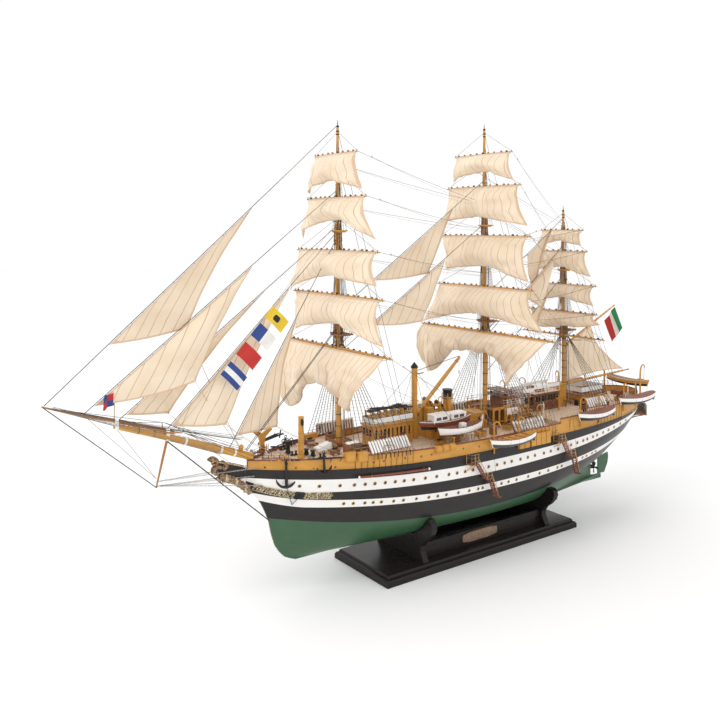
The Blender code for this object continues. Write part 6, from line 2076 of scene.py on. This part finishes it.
def make_deck_gear():
    """Fife rails at the masts, coils on the rails, and lockers, hoops and lattice rails about the decks."""
    shape = Shape()
    for foot_x in (FORE_X, MAIN_X, MIZZEN_X):
        for x in (foot_x - 0.0110, foot_x + 0.0110):
            fife_rail(shape, x, deck_height(foot_x) + 0.0004)
    for sign in SIGNS:
        for index in range(56):
            x = 0.3300 - index * 0.0122
            if abs(x - FORECASTLE_X) < 0.004 or abs(x - POOP_X) < 0.004:
                continue
            pin = at_rail(x, sign, -0.0032, -0.0030)
            shape.ring(pin, 0.0017, 0.0006, (0, 1, 0.2), TAN if index % 3 else BLOCK, 10, 5)
            shape.tube([pin, pin + UP * 0.0054], [0.0003, 0.0005], 5, BRASS)
        for x, y, *size, finish in LOCKERS:
            locker(shape, x, sign * y, deck_height(x) + 0.0004, *size, finish)
        for x, y, high in HOOPS:
            y, z = sign * y, deck_height(x) + 0.0004
            hoop = ((-0.0055, 0), (-0.0050, 0.75), (0, 1), (0.0050, 0.75), (0.0055, 0))
            path = curve_through([(x + reach, y, z + high * rise) for reach, rise in hoop], 14)
            shape.tube(path, 0.0009, 7, OCHRE)
            for rise in (0.30, 0.55):
                level = z + high * rise
                shape.bar((x - 0.0052, y, level), (x + 0.0052, y, level), 0.0006, 0.0006, BRASS)
        for start, end, y in ((-0.0420, -0.1340, 0.0500), (0.0960, 0.0020, 0.0540)):
            path = [(x, sign * y, deck_height(x) + 0.0004) for x in steps(start, end, 6)]
            rail_run(shape, path, 0.0110, 3, BRASS, 0.00034)
    make_piece("deck_gear", shape, FITTINGS)


def boat_lines(x_bow, x_stern, y, keel_z, beam, depth, transom=0.35, columns=18):
    """Sections of a boat from bow to stern, each from one gunwale round the keel to the other."""
    rows = []
    for share in steps(0, 1, columns):
        full = max(0.04, math.sin(math.pi * mix(0.0, 1 - 0.5 * transom, share)) ** 0.65)
        lift = 0.30 * depth * (2 * share - 0.95) ** 2
        x = mix(x_bow, x_stern, share)
        stem = 0.0 if share else 0.02 * depth
        row = []
        for angle in steps(0, math.pi, 12):
            side = math.cos(angle)
            wide = beam / 2 * full * math.copysign(abs(side) ** 0.62, side)
            rise = 1 - math.sin(angle) ** 0.85
            forward = stem + (x_bow - x_stern) * 0.05 * (1 - share) ** 6 * rise
            row.append(Vector((x + forward, y + wide, keel_z + lift + depth * rise)))
        rows.append(row)
    return rows


def make_boat(shape, rows, skin, bottom, inside, cover=None, thwarts=4):
    """Boat from its sections: painted bottom and strake, rubbing band, and an inside or a cover."""
    count = len(rows)
    for low, high, finish in ((0, 3, skin), (2, 11, bottom), (10, 13, skin)):
        shape.grid([row[low:high] for row in rows], finish)
    for end, order in ((0, 1), (count - 1, -1)):
        row = rows[end] if order > 0 else list(reversed(rows[end]))
        shape.add(row, [tuple(range(len(row)))], skin)
    for side in (0, 12):
        shape.tube([row[side] for row in rows], 0.0004, 5, MAHOGANY if skin == WHITE else WHITE)
    lids = []
    for index, row in enumerate(rows):
        middle = (row[0] + row[12]) / 2
        line = []
        for share in (0.0, 0.2, 0.5, 0.8, 1.0):
            point = row[0].lerp(row[12], share)
            bulge = math.sin(math.pi * share)
            if cover is not None:
                point.z += 0.0016 * bulge
            else:
                ends = min(1.0, index / 2, (count - 1 - index) / 2)
                point.z -= (row[0].z - row[6].z) * 0.60 * bulge ** 0.5 * ends
            line.append(point)
        lids.append(line)
        if cover is None and 2 < index < count - 2 and index % max(2, count // (thwarts + 1)) == 0:
            shape.box((middle.x - 0.0007, row[0].y, middle.z - 0.0012),
                      (middle.x + 0.0007, row[12].y, middle.z - 0.0006), BROWN)
    shape.grid(lids, cover if cover is not None else inside)
    if cover is None:
        for row in rows:
            shape.tube([row[0].lerp(row[1], 0.3), row[1].lerp(row[2], 0.5)], 0.0002, 3, skin)
    foot = rows[0][6] + Vector((0.0003, 0, -0.0003))
    head = (rows[0][0] + rows[0][12]) / 2 + Vector((0.0012, 0, 0.0006))
    shape.bar(foot, head, 0.0006, 0.0008, skin)


def davit(shape, x, sign, foot_z, rise, reach_y, boat_z):
    """Round davit rising from the side, curving over the boat, with its falls and blocks."""
    side = side_breadth(x) + 0.0012
    bend = ((side, foot_z), (side, rise - 0.008), (side + 0.0012, rise - 0.003), (mix(side, reach_y, 0.40), rise),
            (mix(side, reach_y, 0.80), rise - 0.0012), (reach_y + 0.0005, rise - 0.0045))
    path = curve_through([(x, sign * y, z) for y, z in bend], 20)
    shape.tube(path, steps(0.0012, 0.0008, 20), 8, OCHRE)
    for z in (foot_z + 0.003, mix(foot_z, rise, 0.42)):
        shape.ring((x, sign * side, z), 0.0013, 0.0004, UP, OCHRE, 10, 4)
    end = path[-1]
    top, low = end - UP * 0.0018, Vector((end.x, end.y, boat_z + 0.0030))
    make_block(shape, top, 0.0011, BLOCK)
    make_block(shape, low, 0.0011, BLOCK)
    for shift in (Vector((-0.0005, 0, 0)), Vector((0.0005, 0, 0))):
        shape.rope(top + shift, low + shift, 0.00016, TAN)
    shape.ring(low - UP * 0.0016, 0.0007, 0.0002, (1, 0, 0), BLACK, 8, 4)


def boat_piece(name, shape):
    make_piece(f"{name}_finish", shape, FITTINGS, replaces=[name])


def make_skid_boats(side, sign):
    """Launch with two cabins beside an open boat, both on skids over the main deck."""
    shape = Shape()
    launch_y, whaler_y, post_y = sign * 0.0380, sign * 0.0610, sign * 0.0560
    launch = boat_lines(0.1080, 0.0240, launch_y, 0.1850, 0.0210, 0.0110)
    make_boat(shape, launch, MAHOGANY, INK, BROWN, cover=BROWN)
    low, high = launch_y - 0.0070, launch_y + 0.0070
    for x_low, x_high, top in ((0.0330, 0.0600, 0.2050), (0.0640, 0.0920, 0.2066)):
        eave = top - 0.0010
        shape.box((x_low, low, 0.1950), (x_high, high, eave), WHITE)
        shape.box((x_low - 0.0008, low - 0.0006, eave), (x_high + 0.0008, high + 0.0006, top), WHITE)
        for face, out in ((low, -1), (high, 1)):
            windows(shape, x_low + 0.003, x_high - 0.003, face, 0.1990, 0.2024, 2, MAHOGANY, out)
    make_boat(shape, boat_lines(0.0940, 0.0180, whaler_y, 0.1810, 0.0180, 0.0100, 0.0), WHITE, WHITE, BROWN)
    shape.box((0.050, whaler_y - 0.003, 0.1880), (0.059, whaler_y + 0.003, 0.1950), WHITE)
    shape.bar((0.0190, whaler_y, 0.186), (0.0160, whaler_y, 0.2010), 0.0012, 0.0018, WHITE)
    for x in (0.0740, 0.0260):
        shape.box((x - 0.0018, sign * 0.0300, 0.1776), (x + 0.0018, sign * 0.0660, 0.1790), OCHRE)
        shape.box((x - 0.0015, launch_y - 0.0060, 0.1790), (x + 0.0015, launch_y + 0.0060, 0.1858), OCHRE)
        for y in (0.0310, 0.0480, 0.0650):
            shape.bar((x, sign * y, MAIN_DECK_Z), (x, sign * y, 0.1778), 0.0014, 0.0014, OCHRE)
    shape.bar((0.036, post_y, MAIN_DECK_Z), (0.036, post_y, 0.1765), 0.0016, 0.0016, WHITE)
    shape.bar((0.031, post_y, 0.1765), (0.041, post_y, 0.1765), 0.0020, 0.0008, WHITE)
    boat_piece(f"skid_boats_{side}", shape)


# Boats in davits: bow, stern, distance off the middle, keel, three finishes, foot of the davits
HUNG_BOATS = {
    "waist": (0.0270, -0.0520, 0.0925, 0.1600, SLATE, OCHRE, None, 0.1500),
    "quarter": (-0.1580, -0.2340, 0.0900, 0.1710, INK, BROWN, MAHOGANY, 0.1600),
    "stern": (-0.2780, -0.3620, 0.0740, 0.1770, INK, BROWN, MAHOGANY, 0.1660),
}


def make_hung_boat(name, side, sign):
    """White boat in its two davits, with its rudder and gripes; open with a tiller, or under a cover."""
    bow, stern, off, keel, bottom, inside, cover, foot = HUNG_BOATS[name]
    shape = Shape()
    y = sign * off
    make_boat(shape, boat_lines(bow, stern, y, keel, 0.0210, 0.0112, 0.25), WHITE, bottom, inside, cover)
    for share in (0.18, 0.80):
        davit(shape, mix(bow, stern, share), sign, foot, keel + 0.0350, off, keel + 0.0105)
    if cover is not None:
        ridge = [(mix(bow, stern, share), y, keel + 0.0128) for share in (0.1, 0.5, 0.9)]
        shape.tube(ridge, 0.0006, 5, BROWN)
    rudder = ((0.0002, 0.0010), (0.0034, 0.0010), (0.0028, 0.0095), (0.0002, 0.0104))
    shape.plate([(stern - aft, keel + rise) for aft, rise in rudder], y - 0.0004, y + 0.0004, "y", INK)
    if cover is None:
        low, high = (stern + 0.0006, y, keel + 0.0040), (stern - 0.0004, y, keel + 0.0175)
        shape.bar(low, high, 0.0012, 0.0014, OCHRE)
    for share in (0.3, 0.5, 0.7):
        x = mix(bow, stern, share)
        gripe = [(x, sign * (off + out), keel + rise) for out, rise in ((0.0104, 0.0088), (0.0090, 0.0030))]
        shape.tube(gripe, 0.00022, 4, TAN)
    boat_piece(f"{name}_boat_{side}", shape)


def make_boats():
    for side, sign in (("port", 1), ("starboard", -1)):
        make_skid_boats(side, sign)
        for name in HUNG_BOATS:
            make_hung_boat(name, side, sign)


def ladder(shape, top, foot, wide, out, count):
    """Side ladder: two strings, treads and a brass hand rail."""
    top, foot, out = Vector(top), Vector(foot), Vector(out).normalized() * wide
    for shift in (Vector(), out):
        shape.bar(top + shift, foot + shift, 0.0005, 0.0018, MAHOGANY)
    for index in range(count):
        point = top.lerp(foot, (index + 0.5) / count)
        shape.bar(point, point + out, 0.0018, 0.0007, MAHOGANY if index % 2 else BROWN)
    rise = UP * 0.0070
    for shift in (Vector(), out):
        shape.tube([top + shift + rise, foot + shift + rise], 0.00038, 6, BRASS)
        for share in (0.0, 0.25, 0.5, 0.75, 1.0):
            point = top.lerp(foot, share) + shift
            shape.tube([point, point + rise], 0.00034, 5, BRASS)


def grating(shape, x_low, x_high, y_low, y_high, z):
    """Crossed battens between two x and two y."""
    for x in steps(x_low, x_high, 6):
        shape.bar((x, y_low, z), (x, y_high, z), 0.0006, 0.0006, BROWN)
    for y in steps(y_low, y_high, 5):
        shape.bar((x_low, y, z), (x_high, y, z), 0.0006, 0.0006, BROWN)


def accommodation_ladder(shape, sign, x_fore, x_aft, x_foot, z_top, z_foot):
    """Railed platform and two flights with a landing between, slung from a small davit."""
    side = half_breadth(x_fore, 0.13) + 0.0016
    edge, rise = sign * (side + 0.0105), sign * (side + 0.0030)
    y_low, y_high = sorted((sign * side, edge))
    grating(shape, x_aft, x_fore, y_low, y_high, z_top)
    corners = [(x_fore, sign * (side + 0.0005), z_top), (x_fore, edge, z_top), (x_aft, edge, z_top)]
    rail_run(shape, corners, 0.0135, 3, BRASS, 0.0004)
    for x in (x_fore - 0.003, x_aft + 0.003):
        brace = [(x, sign * (side + 0.0095), z_top), (x, sign * (side - 0.0010), z_top - 0.0100)]
        shape.tube(brace, 0.0006, 6, OCHRE)
    middle_x, middle_z = mix(x_aft, x_foot, 0.46), mix(z_top, z_foot, 0.46)
    landing_x = middle_x - 0.0080
    ladder(shape, (x_aft, rise, z_top), (middle_x, rise, middle_z), 0.0078, (0, sign, 0), 9)
    grating(shape, landing_x, middle_x + 0.0006, y_low, y_high, middle_z)
    rail_run(shape, [(middle_x, edge, middle_z), (landing_x, edge, middle_z)], 0.0095, 2, BRASS, 0.0004)
    ladder(shape, (landing_x, rise, middle_z), (x_foot, rise, z_foot), 0.0078, (0, sign, 0), 9)
    grating(shape, x_foot - 0.0070, x_foot, y_low, y_high, z_foot - 0.0002)
    head_x, head_y = x_foot + 0.006, side_breadth(x_foot)
    shape.rope((x_foot, sign * (side + 0.0100), z_foot + 0.0060), (head_x, sign * (head_y + 0.0060), 0.1776),
               0.00024, CORD)
    bend = ((0, 0.1580), (0.0015, 0.1760), (0.0060, 0.1780))
    shape.tube([(head_x, sign * (head_y + out), z) for out, z in bend], 0.0006, 6, OCHRE)


def make_side_fittings():
    """Accommodation ladders, boat booms and mooring fittings on both sides."""
    shape = Shape()
    for sign in SIGNS:
        accommodation_ladder(shape, sign, 0.0640, 0.0510, 0.0150, 0.1440, 0.0920)
        accommodation_ladder(shape, sign, -0.1095, -0.1230, -0.1540, 0.1490, 0.0945)
        path = [on_side(mix(0.2275, 0.1285, share), mix(0.1512, 0.1488, share), sign, 0.0032)
                for share in steps(0, 1, 12)]
        shape.tube(path, 0.0013, 10, MAHOGANY)
        for point, beyond in ((path[0], path[0] - path[1]), (path[-1], path[-1] - path[-2])):
            shape.ball(point, 0.0018, WHITE, 10, 5)
            shape.tube([point, point + beyond.normalized() * 0.0070], [0.0011, 0.0006], 8, BLACK)
        for point in (path[2], path[11]):
            shape.tube([point - Vector((0, sign * 0.0032, 0.0020)), point + UP * 0.0026], 0.0004, 6, BRASS)
            shape.ring(point, 0.0015, 0.0003, path[1] - path[0], BRASS, 10, 4)
        for x in (0.140, 0.020, -0.100, -0.280):
            z = side_height(x) - 0.0015
            y = sign * half_breadth(x, z)
            inner, outer = y - sign * 0.0005, y + sign * 0.0010
            shape.box((x - 0.0012, inner, z - 0.0006), (x + 0.0012, outer, z + 0.0006), BLACK)
    make_piece("side_fittings", shape, FITTINGS)


def stern_outline(offset):
    """Plan outline of the hull round the stern at the gallery's floor, moved outboard."""
    end = along_table(STERN, GALLERY_FLOOR_Z)
    points = [Vector((end + ahead, half_breadth(end + ahead, GALLERY_FLOOR_Z), 0.0))
              for ahead in (0.022, 0.019, 0.016, 0.0135, 0.011, 0.009, 0.007, 0.005, 0.003, 0.0015, 0.0)]
    points[-1].y = 0.0
    points += [Vector((point.x, -point.y, 0.0)) for point in reversed(points[:-1])]
    moved = []
    for index, point in enumerate(points):
        along = points[min(index + 1, len(points) - 1)] - points[max(index - 1, 0)]
        moved.append(point + Vector((along.y, -along.x, 0.0)).normalized() * offset)
    return moved


def make_gallery():
    """Balcony round the stern: moulded floor, panels, white balusters and rails, on brackets."""
    shape = Shape()
    inner, outer = stern_outline(0.0004), stern_outline(0.0210)
    rows = [[(near.x, near.y, 0.1430), (far.x, far.y, 0.1430), (far.x, far.y, GALLERY_FLOOR_Z),
             (near.x, near.y, GALLERY_FLOOR_Z)] for near, far in zip(inner, outer)]
    shape.grid(rows, BROWN, wrap=True)
    last = len(shape.points) - 4
    first = last + 4 - 4 * len(rows)
    shape.faces += [(first + 3, first + 2, first + 1, first), (last, last + 1, last + 2, last + 3)]
    shape.finishes += [BROWN, BROWN]
    rim = stern_outline(0.0204)
    for height, radius, finish in ((0.1454, 0.0007, CARVED), (0.1596, 0.0009, BROWN), (0.1520, 0.0004, BRASS),
                                   (0.1438, 0.0010, CARVED)):
        shape.tube([(point.x, point.y, height) for point in rim], radius, 7, finish)
    for start, end in zip(rim, rim[1:]):
        pieces = max(1, round((end - start).length / 0.0042))
        for step in range(pieces):
            point = start.lerp(end, (step + 0.5) / pieces)
            shape.tube([(point.x, point.y, z) for z in (0.1455, 0.1490, 0.1520, 0.1560, 0.1595)],
                       [0.0008, 0.0006, 0.0009, 0.0006, 0.0008], 6, CANVAS)
        low, high = UP * 0.1455, UP * 0.1575
        out = (end - start).cross(UP).normalized() * 0.0004
        face = [start + low, end + low, end + high, start + high]
        shape.block([point - out for point in face] + [point + out for point in face], INK)
    for index in (1, 4, 7, 10, 13, 16, 19):
        near, far = inner[index], outer[index]
        path = [near.lerp(far, share) + UP * z for share, z in ((-0.32, 0.1340), (0, 0.1385), (0.85, 0.1430))]
        shape.tube(curve_through(path, 8), BRACKET_RADII, 7, BROWN)
    make_piece("gallery", shape, FITTINGS, replaces=["stern_gallery"])


def make_stern_gig():
    """Gig slung across the stern from two tall davits that stand clear of the boom."""
    shape = Shape()
    along = boat_lines(0.0400, -0.0400, 0.0, 0.1880, 0.0180, 0.0100, 0.25)
    rows = [[Vector((-0.3950 - point.y, point.x, point.z)) for point in row] for row in along]
    make_boat(shape, rows, OCHRE, INK, BROWN, cover=BROWN)
    for sign in SIGNS:
        y = sign * 0.0370
        path = curve_through([(-0.3800, y, POOP_DECK_Z), (-0.3800, y, 0.2080), (-0.3815, y * 0.99, 0.2200),
                              (-0.3870, y * 0.96, 0.2270), (-0.3945, y * 0.92, 0.2268), (-0.3970, y * 0.90, 0.2245)], 20)
        shape.tube(path, steps(0.0016, 0.0010, 20), 8, OCHRE)
        top = path[-1] - UP * 0.0015
        low = Vector((-0.3950, top.y, 0.2010))
        make_block(shape, top, 0.0013, BLOCK)
        make_block(shape, low, 0.0013, BLOCK)
        for shift in (ACROSS * -0.0006, ACROSS * 0.0006):
            shape.rope(top + shift, low + shift, 0.0002, TAN)
    make_piece("stern_gig", shape, FITTINGS)


FLAG_COLORS = {
    "flag_white": (0.86, 0.84, 0.80),
    "flag_red": (0.55, 0.035, 0.030),
    "flag_blue": (0.03, 0.07, 0.27),
    "flag_yellow": (0.80, 0.55, 0.04),
    "flag_green": (0.03, 0.27, 0.09),
    "flag_black": (0.02, 0.02, 0.02),
}


def flag_piece(name, place, hoist, fly, finishes, wave=0.0016, body="ship"):
    """Small cloth flag from its upper hoist corner, in plain bands, quarters or a disc."""
    place, hoist, fly = Vector(place), Vector(hoist), Vector(fly)
    side = fly.cross(hoist).normalized()
    shape = Shape()
    columns, down = 26, 18
    droop = UP * 0.10 * fly.length
    rows = []
    for v in steps(0, 1, down):
        rows.append([])
        for u in steps(0, 1, columns):
            ripple = side * wave * math.sin(u * 7.5 + v * 1.4) * min(1, u * 3)
            rows[-1].append(place + fly * u + hoist * v - droop * u * u + ripple)
    shape.grid(rows)
    for row in range(down):
        for column in range(columns):
            shape.finishes[row * columns + column] = finishes((column + 0.5) / columns, (row + 0.5) / down)
    piece = make_piece(name, shape, list(FLAG_COLORS), body, smooth=180.0)


def make_flags():
    """Jack at the bowsprit, ensign at the gaff and four plain signal flags on a halyard."""
    for name, color in FLAG_COLORS.items():
        finish = Finish(name, 0.85)
        threads = finish.noise(900.0, 3.0)
        finish.color(finish.ramp(threads, [(0.3, shade(color, 0.82)), (0.7, color)]))
        finish.bump(threads, 0.3, 0.0002)
    flag_piece("jack_flag", (0.5172, 0, 0.2812), (0, 0, -0.0140), (0.0172, 0.0129, 0),
               lambda u, v: (2 if u < 0.5 else 1) if v > 0.5 else (1 if u < 0.5 else 2))
    flag_piece("ensign_flag", (-0.3600, 0.0, 0.3265), (-0.0040, 0.0130, -0.0360), (0.0020, -0.0190, -0.0225),
               lambda u, v: 4 if u < 0.34 else 0 if u < 0.67 else 1, 0.0030, "spanker_rig")
    signals = ((0.476, 0.5216, lambda u, v: 5 if math.hypot(1.4 * (u - 0.5), v - 0.5) < 0.24 else 3),
               (0.545, 0.5955, lambda u, v: 2 if u < 0.5 else 0),
               (0.6228, 0.6732, lambda u, v: 1),
               (0.7016, 0.7549, lambda u, v: 0 if 0.33 < v < 0.67 else 2))
    top, foot = Vector((0.2242, 0.046, 0.5015)), Vector((0.4510, 0.002, 0.2215))
    halyard = Shape()
    halyard.rope(top, foot, 0.0002, 0)
    make_piece("signal_halyard", halyard, ["tan_cord"])
    fly = Vector((-0.618, 0.442, -0.650)) * 0.0258
    for index, (start, end, finishes) in enumerate(signals, 1):
        place = top.lerp(foot, start)
        hoist = top.lerp(foot, end) - place
        flag_piece(f"signal_flag_{index}", place, hoist, fly, finishes, 0.0014)


# Studio

def area_light(name, place, target, size, energy, color):
    light = bpy.data.lights.new(name, "AREA")
    light.energy = energy
    light.size = size
    light.color = color
    lamp = bpy.data.objects.new(name, light)
    lamp.location = place
    lamp.rotation_euler = (Vector(target) - Vector(place)).to_track_quat("-Z", "Y").to_euler()
    bpy.context.scene.collection.objects.link(lamp)


def make_studio():
    """White floor, white surroundings and three soft lights."""
    floor_shape = Shape()
    floor_shape.box((-9, -9, -0.02), (9, 9, -0.0002))
    mesh = bpy.data.meshes.new("studio_floor")
    mesh.from_pydata([tuple(point) for point in floor_shape.points], [], floor_shape.faces)
    finish = Finish("studio_white", 0.9)
    finish.color(finish.ramp(finish.noise(3.0), [(0.3, (0.97, 0.97, 0.97)), (0.7, (0.985, 0.985, 0.985))]))
    mesh.materials.append(finish.material)
    floor = bpy.data.objects.new("studio_floor", mesh)
    bpy.context.scene.collection.objects.link(floor)
    world = bpy.data.worlds.new("studio")
    world.use_nodes = True
    background = world.node_tree.nodes["Background"]
    background.inputs["Color"].default_value = (1.0, 1.0, 1.0, 1)
    background.inputs["Strength"].default_value = 1.02
    bpy.context.scene.world = world
    middle = (0.05, 0.0, 0.25)
    area_light("key", (1.75, 0.10, 2.10), middle, 0.8, 12.0, (1.0, 0.985, 0.96))
    area_light("fill", (-0.60, 2.60, 1.30), middle, 1.6, 1.5, (0.97, 0.985, 1.0))
    area_light("rim", (-1.4, -1.6, 1.8), middle, 1.4, 1.0, (1.0, 1.0, 1.0))
    bpy.context.scene.view_settings.view_transform = "Standard"


def make_camera():
    camera = bpy.data.cameras.new("photo_view")
    camera.sensor_width = 36.0
    camera.lens = CAMERA_LENS
    camera.shift_y = CAMERA_SHIFT
    camera.clip_start = 0.05
    camera.clip_end = 60.0
    view = bpy.data.objects.new("photo_view", camera)
    view.location = CAMERA_PLACE
    view.rotation_euler = Vector(CAMERA_AIM).to_track_quat("-Z", "Y").to_euler()
    bpy.context.scene.collection.objects.link(view)
    bpy.context.scene.camera = view


def finish_rudder_and_propeller():
    for name, material in (("rudder", "paint_green"), ("propeller", "black_metal")):
        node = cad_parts[name]
        node.data.materials.clear()
        node.data.materials.append(Finish.made[material])


# For each mast the first and last shroud with their number, the backstays' feet and heads, the braces' leads
RIGS = {
    "fore": (FORE_X, FORE_HEIGHTS, FORE_YARDS, (0.232, 0.176, 8),
             ((0.168, 0.455), (0.160, 0.545), (0.152, 0.585)),
             ((-0.046, 0.002, 0.500), (-0.046, 0.002, 0.462), (-0.050, 0.004, 0.395), (-0.050, 0.004, 0.322),
              (-0.020, 0.076, 0.178))),
    "main": (MAIN_X, MAIN_HEIGHTS, MAIN_YARDS, (-0.034, -0.092, 8),
             ((-0.100, 0.462), (-0.108, 0.560), (-0.114, 0.600)),
             ((-0.226, 0.002, 0.470), (-0.226, 0.002, 0.420), (-0.228, 0.003, 0.392), (-0.228, 0.004, 0.296),
              (-0.240, 0.070, 0.186))),
    "mizzen": (MIZZEN_X, MIZZEN_HEIGHTS, MIZZEN_YARDS, (-0.216, -0.262, 6),
               ((-0.270, 0.392), (-0.278, 0.450), (-0.286, 0.485)),
               ((-0.050, 0.002, 0.440), (-0.050, 0.002, 0.400), (-0.050, 0.004, 0.340), (-0.050, 0.004, 0.322),
                (-0.055, 0.004, 0.300))),
}


def make_rigs():
    """Masts with their yards, then the standing and the running rigging."""
    for name, (x, heights, yards, _, _, _) in RIGS.items():
        make_mast(name, f"{name}mast", x, heights, yards)
    for name, (x, heights, _, shrouds, backstays, _) in RIGS.items():
        make_shrouds(name, x, heights, shrouds, backstays)
    for name, (x, heights, yards, _, _, braces) in RIGS.items():
        make_running(name, x, heights, yards, braces)


def main():
    make_materials()
    make_studio()
    make_camera()
    make_hull()
    make_ports()
    make_bow_ornament()
    make_stem_head()
    make_stern_ornament()
    make_bulwarks()
    make_deck()
    make_stand()
    make_rigs()
    make_square_sails()
    make_courses()
    make_stay_sails()
    make_spanker()
    make_bowsprit()
    make_bowsprit_rigging()
    make_forecastle()
    make_anchors()
    make_slabs()
    make_fore_house()
    make_kingpost()
    make_derrick()
    make_funnel()
    make_bridge()
    make_wheelhouse()
    make_after_house()
    make_boats()
    make_side_fittings()
    make_gallery()
    make_stern_gig()
    make_deck_gear()
    make_flags()
    finish_rudder_and_propeller()


main()
